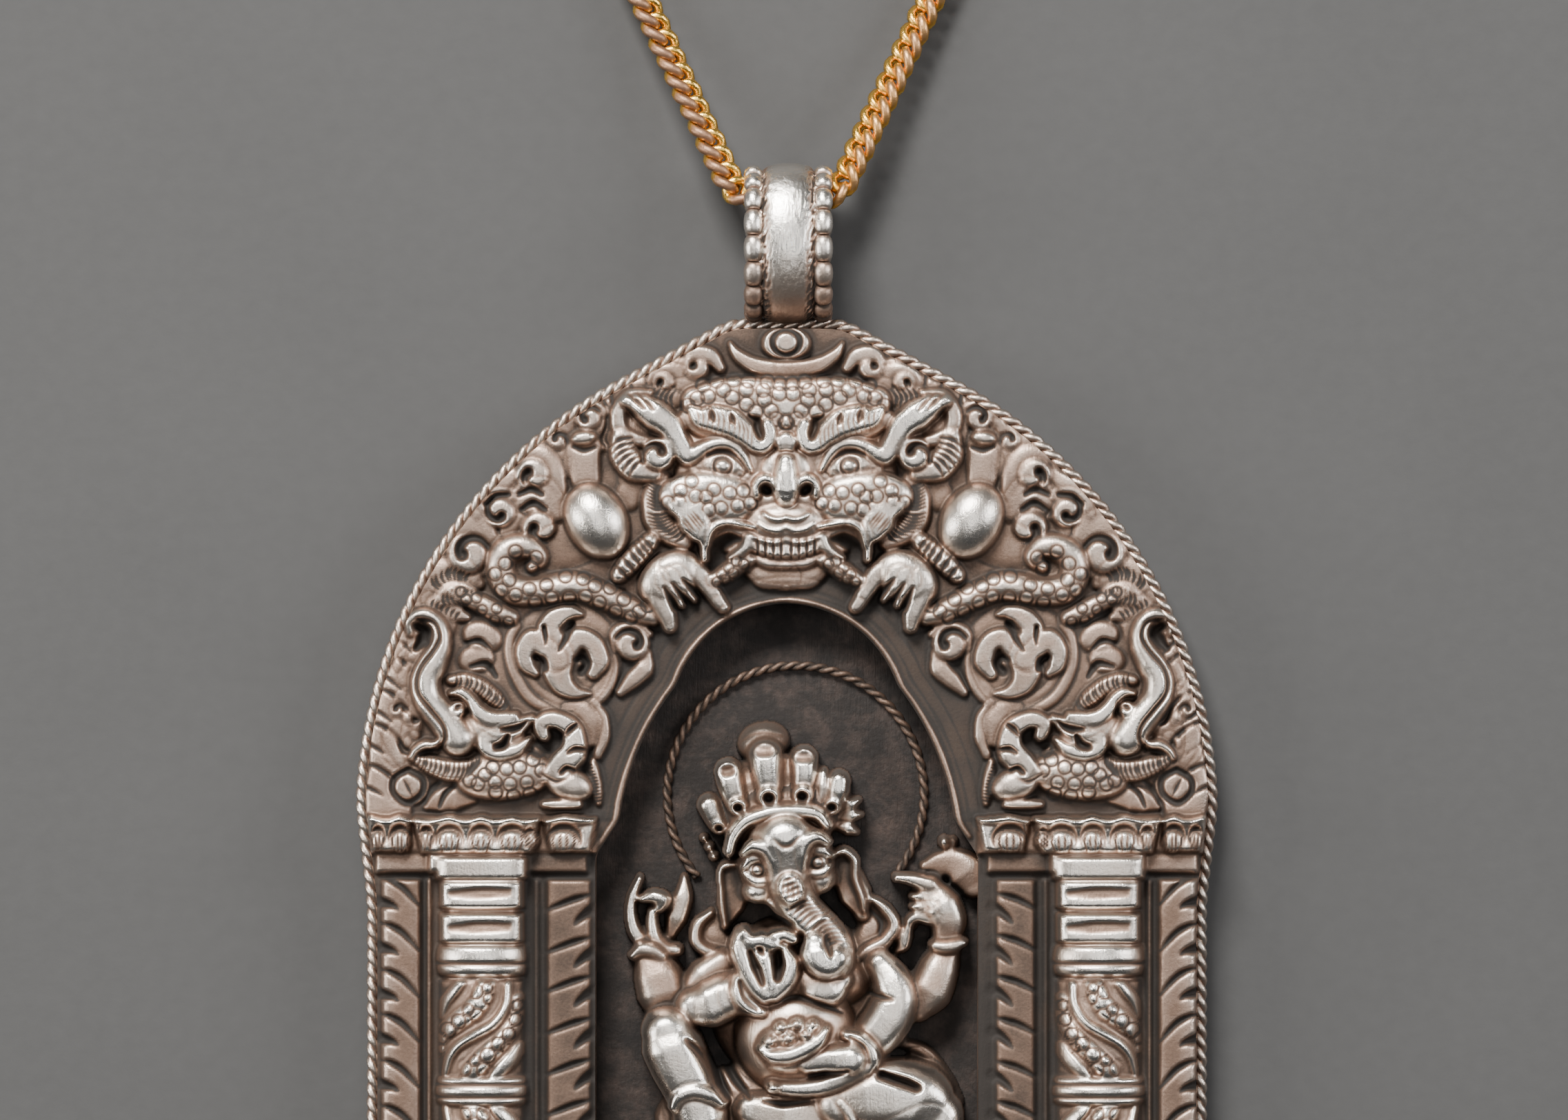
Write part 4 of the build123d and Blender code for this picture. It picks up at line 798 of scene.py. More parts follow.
# left half of the mask over the arch
maskRows = [
    ("lay", "neck mane", 0.45, 0.75, 2.4, (0.66, 0.89, 0.93, 0.85, 0.58), (8.06, 24.48), (8.44, 23.32),
     (8.31, 21.97), (7.57, 21.1), (6.51, 20.42)),
    ("ribs", "neck ribs", 0.2, 0.14, 17, [(8.83, 24.48), (8.96, 23.13), (8.73, 21.58), (6.8, 20.23)],
     [(7.48, 24.1), (7.67, 22.94), (7.38, 21.78), (6.22, 21)], 0.12),
    ("dome", "face", 0.45, 1, 4, (7.17, 6.14), (-0.04, 24.9), 0),
    ("lay", "crescent", 0.45, 0.5, 5, (0.17, 0.41, 0.56, 0.63, 0.63), (-3.67, 33.29), (-3.16, 32.57),
     (-2.24, 31.96), (-1.11, 31.65), (-0.04, 31.59)),
    ("smudge", "crescent tone", 0.16, (0.31, 0.45, 0.51, 0.51), (-3.16, 32.57), (-2.24, 31.96),
     (-1.11, 31.65), (-0.04, 31.59)),
    ("dome", "third eye", 0.55, 0.55, 4, (1.54, 1.07), (-0.14, 33.31), 0),
    ("carve", "third eye ring", 0.3, (0.16, 0.16), (-0.14, 34.19), (-0.91, 33.8), (-0.99, 33.19),
     (-0.6, 32.67), (0.02, 32.55), (0.63, 32.88), (0.75, 33.49), (0.42, 34.06), (-0.14, 34.19)),
    ("lay", "forehead", 1.05, 0.85, 4.5, (0.97, 1.48, 1.69, 1.84, 1.89), (-5.87, 29.5), (-4.28, 29.55),
     (-2.54, 29.45), (-1.01, 29.19), (-0.04, 29.09)),
    ("dome", "brow bed", 1.2, 0.6, 3.5, (3.38, 1.33), (-3.67, 28.07), -10),
    ("scales", "forehead scales", 0.46, (-6.38, 29.25), (-5.77, 29.71), (-5.07, 29.83), (-5.39, 30.58),
     (-4.54, 30.85), (-4.08, 30.24), (-3.52, 29.76), (-3.41, 30.91), (-2.62, 30.26), (-2.46, 30.85),
     (-2.59, 29.32), (-2.01, 28.84), (-1.52, 30.24), (-1.44, 29.6), (-1.01, 28.91), (-1.23, 30.78),
     (-0.45, 30.68), (-0.48, 30.01), (-0.08, 28.15), (-0.7, 28.38)),
    ("lay", "brow", 1.85, 0.6, 5, (0.31, 0.72, 0.9, 0.94, 0.74, 0.51, 0.47, 0.43, 0.37), (-6.13, 28.99),
     (-5.51, 28.5), (-4.59, 28.38), (-3.57, 28.07), (-2.65, 27.4), (-1.93, 26.69), (-1.32, 26.79),
     (-1.06, 27.45), (-1.23, 28.05)),
    ("carve", "brow hook", 0.6, (0.1, 0.29, 0.31, 0.27), (-2.49, 28.53), (-1.93, 28.27), (-1.93, 27.71),
     (-1.75, 27.25)),
    ("ribs", "brow hair", 0.14, 0.08, 12, [(-6.02, 29.19), (-4.69, 29.19), (-3.46, 28.87),
     (-2.44, 28.17)], [(-5.87, 27.86), (-4.69, 27.45), (-3.26, 26.94), (-2.13, 26.28)], 0.12),
    ("carve", "brow drop", 0.45, (0.06, 0.2, 0.25, 0.1), (-5.02, 29.3), (-4.88, 28.89), (-4.78, 28.48),
     (-4.69, 28.22)),
    ("carve", "brow drop 2", 0.45, (0.06, 0.18, 0.23, 0.08), (-3.67, 28.89), (-3.55, 28.58),
     (-3.46, 28.27), (-3.41, 28.05)),
    ("dome", "bridge", 1.5, 0.6, 6, (0.7, 0.76), (-0.02, 26.84), 0),
    ("carve", "bridge line", 0.3, (0.12, 0.16, 0.12), (-0.91, 26.02), (-0.04, 26.23), (0.83, 26.02)),
    ("dome", "eye pad", 1.2, 0.45, 3, (2.2, 1.38), (-4.13, 25.41), 6),
    ("carve", "eye line", 0.35, (0.1, 0.18, 0.23, 0.23, 0.18, 0.1), (-5.97, 25.61), (-5.36, 26.02),
     (-4.54, 26.31), (-3.67, 26.18), (-2.95, 25.61), (-2.49, 25)),
    ("carve", "eye line low", 0.3, (0.08, 0.16, 0.18, 0.14, 0.08), (-5.87, 25.41), (-5.1, 24.69),
     (-4.08, 24.38), (-3.26, 24.54), (-2.49, 25)),
    ("dome", "eyeball", 1.35, 0.45, 2.4, (1.25, 0.74), (-4.13, 25.35), -4),
    ("carve", "iris ring", 0.28, (0.12, 0.12), (-4.13, 25.9), (-4.59, 25.69), (-4.69, 25.24),
     (-4.44, 24.84), (-4.03, 24.77), (-3.65, 25), (-3.57, 25.46), (-3.82, 25.82), (-4.13, 25.9)),
    ("dome", "pupil", 1.65, 0.2, 2.2, (0.41, 0.41), (-4.12, 25.33), 0),
    ("lay", "lower lid", 1.3, 0.3, 2.2, (0.12, 0.18, 0.16), (-5.77, 25.41), (-5, 24.74), (-3.98, 24.43),
     (-2.95, 24.84)),
    ("lay", "upper lid", 1.5, 0.5, 2.6, (0.55, 0.45, 0.39, 0.37, 0.33, 0.18), (-6.02, 26.12),
     (-5.46, 26.48), (-4.59, 26.82), (-3.67, 26.78), (-2.9, 26.18), (-2.34, 25.1)),
    ("lay", "horn", 1.15, 1, 3.6, (0.45, 0.8, 1, 0.86, 0.76, 0.72, 0.45), (-10.34, 29.52),
     (-9.4, 29.22), (-8.48, 28.68), (-7.56, 27.97), (-7, 26.94), (-6.38, 26.07), (-5.61, 26.23)),
    ("carve", "horn barb", 0.5, (0.05, 0.16, 0.08), (-10.27, 30.03), (-9.61, 29.52), (-9.18, 29.07)),
    ("carve", "horn barb 2", 0.5, (0.05, 0.15, 0.07), (-9.61, 30.01), (-9.01, 29.5), (-8.58, 28.99)),
    ("carve", "horn barb 3", 0.4, (0.04, 0.12, 0.06), (-10.78, 29.3), (-10.17, 28.99), (-9.71, 28.58)),
    ("lay", "ear crescent", 0.75, 0.5, 3.6, (0.23, 0.46, 0.55, 0.55, 0.46, 0.23), (8.73, 30.13),
     (10.05, 29.9), (10.78, 28.81), (10.63, 27.67), (9.51, 27.05), (8.15, 26.96)),
    ("lay", "ear rib", 0.75, 0.8, 3.6, (0.64, 0.96, 1, 0.68), (10.67, 27.19), (10.47, 26.13),
     (9.7, 25.3), (8.54, 24.97)),
    ("ribs", "ear ribs", 0.25, 0.17, 6, [(9.89, 27.38), (9.7, 26.42), (9.12, 25.64)], [(11.44, 26.8),
     (11.05, 25.45), (9.89, 24.48)], 0.1),
    ("lay", "ear bowl", 0.5, 0.3, 3, (0.35, 0.61, 0.63, 0.31), (-10.63, 28.99), (-10.43, 28.2),
     (-9.91, 27.71), (-9.2, 27.45)),
    ("scroll", "ear curl", 1.1, 0.8, 1.08, (8.19, 26.13), 330, 1),
    ("dome", "cheek", 1.15, 0.9, 4, (3.28, 1.79), (-5, 23.26), -4),
    ("scales", "cheek scales", 0.43, (-6.13, 24.38), (-6.84, 23.77), (-5.87, 23.41), (-5.2, 23.36),
     (-4.69, 23.82), (-3.67, 23.62), (-4.23, 22.64), (-3.16, 22.8), (-5, 22.54), (-7.66, 23),
     (-2.8, 23.77), (-2.34, 22.95), (-6.95, 23.05)),
    ("lay", "cheek leaf", 1.5, 0.6, 4, (0.56, 1.01, 1.06, 0.7, 0.19), (-7.1, 22.75), (-6.38, 22.34),
     (-5.87, 21.67), (-5.46, 20.9), (-5.1, 20.29)),
    ("ribs", "leaf hatch", 0.14, 0.09, 5, [(-7, 21.98), (-5.87, 22.54)], [(-6.13, 20.95), (-5.1, 21.57)], 0),
    ("dome", "nose root", 1.3, 0.6, 4, (1.69, 1.54), (-0.04, 25), 0),
    ("lay", "nose", 1.55, 1.15, 3, (0.61, 0.78, 0.84, 0.9, 0.72), (-0.02, 25.61), (-0.02, 25),
     (-0.02, 24.38), (-0.02, 23.77), (-0.02, 23.46)),
    ("lay", "nostril", 1.55, 0.6, 2.8, (0.35, 0.33, 0.35, 0.33, 0.25), (-0.65, 24.03), (-1.01, 24.43),
     (-1.52, 24.54), (-1.95, 24.13), (-1.93, 23.46)),
    ("carve", "nostril bore", 0.9, (0.31, 0.35), (-1.42, 23.87), (-1.23, 23.75)),
    ("dome", "muzzle", 1.05, 0.85, 2.4, (2.56, 1.33), (-0.04, 21.67), 0),
    ("lay", "lip ridge", 1.65, 0.45, 2.2, (0.1, 0.17, 0.18, 0.18), (-1.52, 22.29), (-1.01, 21.98),
     (-0.5, 21.91), (-0.04, 22.03)),
    ("lay", "lip ridge 2", 1.55, 0.45, 2.2, (0.1, 0.17, 0.19, 0.16), (-1.88, 21.67), (-1.32, 21.31),
     (-0.6, 21.19), (-0.04, 21.42)),
    ("lay", "mouth edge", 1.45, 0.5, 2.2, (0.14, 0.25, 0.25, 0.25, 0.23, 0.18), (-2.13, 21.42),
     (-2.95, 21.6), (-3.77, 21.7), (-4.49, 21.57), (-4.95, 21.01), (-5.1, 20.19)),
    ("lay", "lip line", 1.4, 0.4, 2.2, (0.12, 0.2, 0.23, 0.2), (-2.34, 20.9), (-1.52, 20.55),
     (-0.7, 20.44), (-0.04, 20.6)),
    ("lay", "teeth", 0.95, 0.65, 4, (0.46, 0.58, 0.58), (1.93, 20.19), (0.8, 19.96), (-0.05, 19.92)),
    ("ribs", "tooth gaps", 0.4, 0.12, 4, [(1.96, 20.81), (-0.05, 20.62)], [(1.96, 19.36), (-0.05, 19.26)], 0),
    ("lay", "lower lip", 0.75, 0.4, 2.4, (0.23, 0.35, 0.35), (2.25, 19.49), (1.19, 19.11), (-0.05, 19.03)),
    ("lay", "jaw crescent", 0.35, 0.35, 4, (0.46, 0.78, 0.91), (2.39, 18.91), (1.38, 18.39), (-0.05, 18.2)),
    ("lay", "chin line", 0.25, 0.3, 2.2, (0.15, 0.23, 0.23), (2.51, 18.39), (1.58, 17.68), (-0.05, 17.48)),
    ("lay", "fang", 1.1, 0.55, 2.2, (0.43, 0.43, 0.35, 0.15), (2.31, 20.71), (2.58, 20.07),
     (3.16, 19.61), (3.7, 19.46)),
    ("carve", "mouth corner", 0.8, (0.19, 0.5, 0.54, 0.31), (2.93, 20.62), (3.61, 20.62), (4.25, 20.23),
     (4.38, 19.46)),
    ("lay", "whisker", 1.15, 0.6, 2.2, (0.39, 0.39, 0.35, 0.27), (4.25, 21.68), (4.87, 21.49),
     (5.21, 20.52), (5.21, 19.36)),
    ("lay", "beard", 0.7, 0.8, 2.2, (0.43, 0.62, 0.66, 0.5), (2.35, 19.3), (3.03, 19.03), (3.8, 18.49),
     (4.58, 18.06)),
    ("scales", "beard scales", 0.33, (2.7, 19.03), (3.16, 19.22), (3.67, 18.78), (3.36, 18.45),
     (4.13, 18.39), (4.4, 17.87), (3.9, 18.01)),
]
# seated figure, from the back to the front
figureRows = [
    ("dome", "lap bed", 0.4, 1.4, 3, (9.23, 4.08), (0.61, -17.11), 0),
    ("dome", "back bed", 0.4, 1.2, 3, (5.86, 5.86), (0.79, -9.48), 0),
    ("lay", "cloth fall", 0.2, 0.5, 3.6, (0.34, 0.46, 0.42, 0.29), (6.82, -11.97), (8.95, -12.68),
     (10.37, -14.28), (11.26, -15.87)),
    ("lay", "cloth fall 2", 0.2, 0.4, 3.6, (0.63, 1.05, 0.84), (8.42, -13.03), (9.66, -14.63),
     (10.55, -16.23)),
    ("lay", "axe shaft", 0.4, 0.8, 3.6, (0.46, 0.42, 0.46), (10.72, 0.98), (9.3, -2.56), (7.62, -5.05)),
    ("lay", "axe blade", 0.7, 0.7, 4, (0.42, 0.84, 1.09, 1.38, 0.92), (8.95, -0.61), (9.84, -0.44),
     (10.81, -0.44), (11.61, -0.97), (12.14, -1.85)),
    ("dome", "axe knob", 0.9, 0.7, 2.2, (0.43, 0.5), (10.23, 0.98), 0),
    ("lay", "rear forearm right", 0.6, 2.1, 3.6, (0.96, 1.38, 1.59, 1.34), (10.46, -5.76),
     (9.93, -7.18), (9.3, -8.6), (8.42, -9.48)),
    ("lay", "rear hand right", 0.9, 1.5, 3.6, (0.92, 1.38, 1.3, 1.05), (9.3, -2.03), (10.01, -3.1),
     (10.46, -4.16), (10.46, -5.05)),
    ("lay", "rear finger 1", 1.3, 0.9, 3.6, (0.63, 0.54, 0.42, 0.38), (9.3, -1.77), (8.42, -1.5),
     (7.71, -1.36), (7.14, -1.32)),
    ("lay", "rear finger 2", 1.3, 0.8, 3.6, (0.5, 0.38, 0.29), (9.3, -2.65), (8.68, -2.56), (8.15, -2.53)),
    ("lay", "rear finger 3", 1.3, 0.8, 3.6, (0.5, 0.38, 0.29), (9.3, -3.27), (8.68, -3.22), (8.15, -3.2)),
    ("lay", "rear finger 4", 1.2, 0.8, 3.6, (0.59, 0.46, 0.38, 0.29), (9.3, -3.95), (8.51, -3.84),
     (7.97, -4.16), (7.89, -4.87)),
    ("lay", "rear bracelet right", 1.9, 0.8, 3.6, (0.42, 0.5, 0.5, 0.38), (9.57, -5.67), (10.19, -5.76),
     (10.81, -5.69), (11.43, -5.49)),
    ("lay", "rear forearm left", 0.6, 2.1, 3.6, (1.26, 1.63, 1.76, 1.47), (-8.79, -6.47),
     (-8.44, -7.53), (-8.08, -8.77), (-7.73, -9.84)),
    ("lay", "goad back", 0.4, 0.8, 3.6, (0.29, 0.71, 0.75, 0.42), (-6.66, -1.32), (-6.75, -2.56),
     (-7.2, -3.98), (-7.55, -5.05)),
    ("lay", "goad strand", 1, 0.8, 3.6, (0.29, 0.42, 0.46, 0.54, 0.63), (-9.54, -1.32), (-10.04, -2.56),
     (-10.14, -3.81), (-9.86, -4.87), (-9.15, -5.76)),
    ("lay", "goad hook", 1.3, 0.9, 3.6, (0.34, 0.54, 0.59, 0.42), (-9.36, -2.71), (-8.71, -2.53),
     (-8.08, -2.74), (-8.26, -3.27)),
    ("lay", "goad strand 2", 1.1, 0.9, 3.6, (0.38, 0.46, 0.5, 0.5, 0.46), (-8.76, -3.54),
     (-8.71, -4.52), (-8.44, -5.4), (-7.82, -5.94), (-7.11, -6.02)),
    ("lay", "rear bracelet left", 1.8, 0.8, 3.6, (0.34, 0.54, 0.54, 0.42), (-10.04, -6.38),
     (-9.42, -5.94), (-8.71, -6.02), (-8.08, -6.38)),
    ("lay", "scarf left", 1, 0.9, 3.6, (0.29, 0.42, 0.46, 0.46, 0.42, 0.25), (-4.89, -3.54),
     (-5.78, -4.34), (-5.92, -5.4), (-5.33, -6.02), (-4.54, -6.2), (-3.86, -6.29)),
    ("lay", "scarf left bed", 0.7, 0.5, 3.6, (0.63, 1.05, 1.05), (-4.54, -4.16), (-4.71, -5.05),
     (-4.36, -5.94)),
    ("lay", "shoulder left", 0.9, 1.6, 3.6, (0.96, 1.26, 1.17), (-4.18, -6.82), (-5.25, -7.71),
     (-5.96, -8.77)),
    ("lay", "scarf right bed", 0.6, 0.8, 3.6, (0.84, 1.26, 1.26, 0.84), (4.87, -3.1), (5.76, -4.34),
     (5.4, -5.76), (4.51, -6.82)),
    ("lay", "scarf right", 1.2, 0.9, 3.6, (0.25, 0.42, 0.46, 0.46, 0.5, 0.34), (5.22, -2.48),
     (6.38, -3.27), (7, -4.34), (6.38, -5.4), (5.31, -6.02), (4.34, -6.82)),
    ("lay", "scarf right fold", 1.1, 0.7, 3.6, (0.21, 0.29, 0.29, 0.17), (6.73, -5.58), (5.76, -6.38),
     (5.05, -7), (4.66, -7.89)),
    ("carve", "scarf line", 0.4, (0.07, 0.18, 0.09), (5.22, -3.27), (6.11, -4.16), (6.02, -5.05)),
    ("lay", "elbow cloth", 0.8, 0.9, 3.6, (0.38, 0.63, 0.54, 0.29), (7.18, -4.69), (7.62, -5.05),
     (7.53, -5.76), (7.18, -6.11)),
    ("smudge", "rear arm right tone", 0.26, (1.6, 1.6, 1.6), (10.46, -5.05), (9.93, -7.18), (8.59, -9.48)),
    ("smudge", "rear arm left tone", 0.26, (1.69, 1.69, 1.69), (-8.79, -6.65), (-8.44, -7.89),
     (-7.73, -9.84)),
    ("smudge", "axe tone", 0.26, (1.6, 1.6), (9.3, -0.61), (12.14, -1.85)),
    ("dome", "chest", 1, 2.4, 2.3, (4.61, 2.31), (0.88, -7.89), 0),
    ("dome", "belly", 1.1, 3.1, 2.2, (3.99, 3.99), (0.61, -11.53), 0),
    ("lay", "chin roll", 2.6, 1.3, 3.6, (0.75, 1.26, 1.26, 0.75), (1.14, -7.89), (1.94, -8.33),
     (2.83, -8.33), (3.54, -7.8)),
    ("carve", "chest fold", 0.5, (0.07, 0.21, 0.21, 0.07), (-0.81, -9.31), (0.61, -8.95), (2.38, -9.48),
     (3.63, -10.02)),
    ("lay", "right arm", 1.3, 2.2, 3.6, (0.96, 1.3, 1.55, 1.63, 1.59, 1.38, 1.13), (6.02, -6.82),
     (6.73, -7.89), (7.09, -9.13), (6.64, -10.37), (5.84, -11.44), (5.31, -12.15), (4.87, -12.68)),
    ("carve", "elbow crease", 0.5, (0.07, 0.21, 0.07), (5.22, -8.77), (6.11, -8.95), (6.91, -9.09)),
    ("lay", "left forearm", 1.8, 2, 3.6, (1.3, 1.63, 1.59, 1.3), (-5.99, -9.66), (-5.07, -9.48),
     (-3.91, -8.95), (-2.94, -8.51)),
    ("lay", "right thigh", 1.6, 2.5, 3.6, (1.76, 2.35, 2.55, 2.47, 1.88), (3.45, -15.87),
     (5.05, -15.52), (7, -15.52), (8.59, -15.87), (9.66, -16.76)),
    ("lay", "right shin", 1.5, 2, 3.6, (1.68, 1.55, 1.47, 1.21), (9.13, -17.47), (6.64, -18.36),
     (3.45, -18.89), (0.61, -19.07)),
    ("carve", "thigh notch", 1.1, (0.3, 0.35, 0.35, 0.3), (6.11, -13.96), (7, -14.24), (7.8, -14.49),
     (8.38, -14.74)),
    ("lay", "thigh hem", 3.2, 0.6, 3.6, (0.21, 0.29, 0.29, 0.21), (3.45, -15.7), (3.98, -16.4),
     (4.34, -17.29), (4.34, -18.18)),
    ("lay", "left leg", 1.9, 2.7, 3.6, (1.76, 2.05, 2.01, 1.93, 1.8, 1.76), (-7.73, -11.26),
     (-7.46, -12.15), (-6.93, -13.39), (-6.4, -14.45), (-5.96, -15.52), (-5.6, -16.76)),
    ("lay", "left cuff", 3.9, 0.75, 3.6, (0.34, 0.5, 0.54, 0.54, 0.38), (-7.37, -16.05), (-6.93, -15.3),
     (-5.96, -14.95), (-4.89, -15.2), (-4.18, -15.7)),
    ("lay", "left ankle", 1.6, 2.2, 3.6, (1.68, 1.59, 1.26), (-5.78, -16.94), (-5.42, -18), (-4.89, -19.07)),
    ("lay", "left foot", 1.6, 1.7, 3.6, (1.26, 1.21, 0.92), (-4.89, -19.07), (-3.12, -19.07),
     (-1.16, -18.89)),
    ("lay", "lap cloth", 1.5, 1.6, 3.6, (1.26, 1.88, 1.68), (-2.23, -16.4), (-0.1, -16.76), (1.67, -16.76)),
    ("carve", "leg fold", 0.9, (0.11, 0.35, 0.39, 0.21), (-6.49, -11.61), (-5.42, -12.68),
     (-4.54, -14.28), (-3.83, -15.52)),
    ("carve", "leg fold 2", 0.6, (0.11, 0.28, 0.28, 0.14), (-5.25, -11.44), (-4.18, -13.03),
     (-3.29, -14.45), (-2.41, -15.52)),
    ("carve", "lap fold", 0.5, (0.09, 0.21, 0.09), (-1.52, -15.7), (-0.1, -15.87), (1.5, -15.7)),
    ("dome", "raised palm", 2.9, 1.2, 2.4, (1.86, 1.95), (-1.25, -7), 0),
    ("lay", "raised wrist", 2.2, 1.7, 3.6, (1.47, 1.38, 1.26), (-2.94, -8.77), (-2.23, -8.42),
     (-1.52, -7.89)),
    ("lay", "bracelet raised", 3.5, 0.8, 3.6, (0.38, 0.54, 0.59, 0.54, 0.38), (-3.15, -7.71),
     (-3.12, -8.42), (-2.8, -9.13), (-2.23, -9.63), (-1.61, -9.87)),
    ("carve", "bracelet raised line", 0.4, (0.11, 0.14, 0.11), (-3.01, -7.89), (-2.73, -8.95), (-1.87, -9.7)),
    ("lay", "raised finger 1", 3.5, 1.1, 3.6, (0.54, 0.67, 0.71, 0.71, 0.63), (-2.94, -4.87),
     (-3.03, -5.76), (-2.58, -7), (-1.96, -8.15), (-1.34, -8.77)),
    ("lay", "raised finger 1 fold", 3.7, 0.9, 3.6, (0.5, 0.46, 0.38), (-2.76, -4.78), (-2.23, -5.58),
     (-1.87, -6.65)),
    ("lay", "raised finger 2", 3.8, 0.9, 3.6, (0.54, 0.59, 0.54), (-2.23, -5.31), (-1.52, -5.26),
     (-0.81, -5.49)),
    ("lay", "raised finger 3", 3.7, 0.9, 3.6, (0.5, 0.54, 0.54, 0.46), (-1.52, -6.11), (-1.25, -7),
     (-1.02, -7.89), (-1.08, -8.69)),
    ("lay", "raised finger 4", 3.6, 0.9, 3.6, (0.46, 0.5, 0.46), (-0.81, -4.96), (-0.1, -4.87),
     (0.43, -5.14)),
    ("lay", "raised thumb", 3.5, 1.1, 3.6, (0.5, 0.67, 0.71, 0.59), (-0.19, -5.85), (0.26, -6.82),
     (-0.1, -7.89), (-0.81, -8.69)),
    ("carve", "palm hollow", 1, (0.28, 0.43, 0.28), (-0.54, -6.02), (-0.51, -6.82), (-0.6, -7.62)),
    ("carve", "finger parting left", 0.7, (0.14, 0.27, 0.16), (-2.35, -5.92), (-2.02, -6.91), (-1.59, -8.03)),
    ("carve", "knuckle parting", 0.5, (0.11, 0.2, 0.11), (-1.87, -5.67), (-1.66, -5.85), (-1.52, -6.11)),
    ("dome", "bowl foot", 3.4, 0.8, 2.2, (1.7, 0.89), (0.34, -12.94), 8),
    ("dome", "bowl", 3.8, 0.75, 3, (2.34, 1.17), (0.4, -11.47), 13),
    ("lay", "bowl rim", 4.35, 0.55, 3.6, (0.25, 0.46, 0.54, 0.54, 0.5, 0.29), (-1.73, -12.15),
     (-0.99, -12.64), (0.08, -12.61), (1.14, -12.23), (2.03, -11.65), (2.53, -10.99)),
    ("dome", "sweet 1", 4.2, 0.75, 2, (0.53, 0.5), (-1.11, -11.7), 0),
    ("dome", "sweet 2", 4.3, 0.75, 2, (0.57, 0.53), (0.08, -11.53), 0),
    ("dome", "sweet 3", 4.3, 0.75, 2, (0.53, 0.5), (1.28, -11.22), 0),
    ("dome", "sweet 4", 4.2, 0.75, 2, (0.53, 0.46), (-0.37, -10.82), 0),
    ("dome", "sweet 5", 4.2, 0.75, 2, (0.57, 0.5), (0.65, -10.64), 0),
    ("dome", "sweet 6", 4.1, 0.75, 2, (0.46, 0.43), (1.67, -10.64), 0),
    ("scales", "sweet marks", 0.14, (-1.25, -11.61), (-0.95, -11.83), (-0.1, -11.4), (0.26, -11.61),
     (-0.01, -11.76), (1.14, -11.08), (1.46, -11.29), (-0.45, -10.69), (-0.24, -10.94), (0.5, -10.51),
     (0.79, -10.73), (1.67, -10.51), (-1.08, -11.47), (0.61, -10.82)),
    ("lay", "bracelet low", 3.3, 0.9, 3.6, (0.38, 0.59, 0.63, 0.63, 0.46), (3.8, -11.35), (4.69, -11.7),
     (5.31, -12.32), (5.49, -12.94), (5.22, -13.57)),
    ("carve", "bracelet low line", 0.4, (0.11, 0.16, 0.11), (4.07, -11.47), (4.96, -12.15), (5.22, -13.21)),
    ("lay", "low palm", 3.4, 1.2, 3.6, (1.09, 1.01, 0.84, 0.71, 0.59), (4.16, -12.94), (3.27, -12.94),
     (2.47, -12.94), (1.76, -13.12), (1.32, -13.25)),
    ("lay", "low finger", 3.1, 1.1, 3.6, (1.05, 0.8, 0.63, 0.59, 0.5, 0.46), (4.43, -13.48),
     (3.63, -14.1), (2.56, -14.63), (1.32, -14.84), (0.08, -14.84), (-0.95, -14.72)),
    ("carve", "finger parting", 0.7, (0.11, 0.18, 0.14), (3.98, -13.65), (2.92, -13.83), (1.5, -14.01)),
    ("dome", "finger tip", 3.6, 0.65, 2.2, (0.5, 0.39), (-0.88, -14.75), 0),
    ("lay", "ear left", 1.3, 0.5, 4, (0.92, 1.09, 0.96, 0.34), (-3.47, -0.88), (-3.44, -2.03),
     (-3.68, -3.27), (-3.91, -4.34)),
    ("lay", "ear left rim", 1.7, 0.5, 3.6, (0.21, 0.25, 0.25, 0.25, 0.21), (-2.97, -0.44),
     (-3.74, -0.44), (-4.32, -0.79), (-4.25, -2.56), (-4, -4.52)),
    ("lay", "ear right", 1.4, 0.5, 4, (0.75, 1.05, 1.13, 0.54), (3.45, -0.26), (3.98, -1.32),
     (4.51, -2.56), (4.87, -3.63)),
    ("lay", "ear right rim", 1.9, 0.6, 3.6, (0.25, 0.34, 0.34, 0.29, 0.25, 0.17), (3.01, 0.27),
     (3.8, 0.45), (4.43, -0.17), (4.43, -1.32), (4.87, -2.56), (5.01, -3.45)),
    # painted shade: both ears darkened as if in shadow, only their rims left bright
    ("smudge", "ear left tone", 0.34, (0.89, 0.89, 0.43), (-3.56, -1.5), (-3.61, -2.74), (-3.86, -4.16)),
    ("smudge", "ear right tone", 0.3, (0.71, 0.82, 0.53), (3.72, -0.44), (4.16, -1.5), (4.66, -3.1)),
    ("dome", "hair", 1, 2.2, 3.2, (3.99, 2.66), (-0.45, 2.94), 0),
    ("dome", "hair top", 0.9, 1.7, 3, (2.93, 2.13), (-0.81, 4.71), 0),
    ("dome", "topknot", 0.6, 2, 2.3, (1.74, 1.38), (-1.52, 7.46), 12),
    ("carve", "topknot facet", 0.12, (0.07, 0.14, 0.11), (-2.9, 7.55), (-2.23, 7.99), (-1.34, 8.12),
     (-0.28, 7.87)),
    ("smudge", "topknot tone", 0.14, (0.89, 1.42, 0.89), (-2.76, 7.37), (-1.52, 7.55), (-0.28, 7.55)),
    ("smudge", "crown gaps", 0.42, (0.71, 1.1, 1.17, 1.17, 0.99, 0.64), (-4.62, 2.05), (-3.65, 3.82),
     (-1.87, 5.07), (0.61, 5.24), (2.56, 4), (3.45, 2.94)),
    ("lay", "crown tube E", 1.3, 1.5, 3.6, (0.84, 0.8, 0.73), (-5.03, 3.38), (-4.75, 2.79), (-4.45, 2.23)),
    ("lay", "crown tube F", 1.6, 1.5, 3.6, (0.8, 0.84, 0.73), (3.38, 4.98), (3.27, 4.36), (3.02, 3.65)),
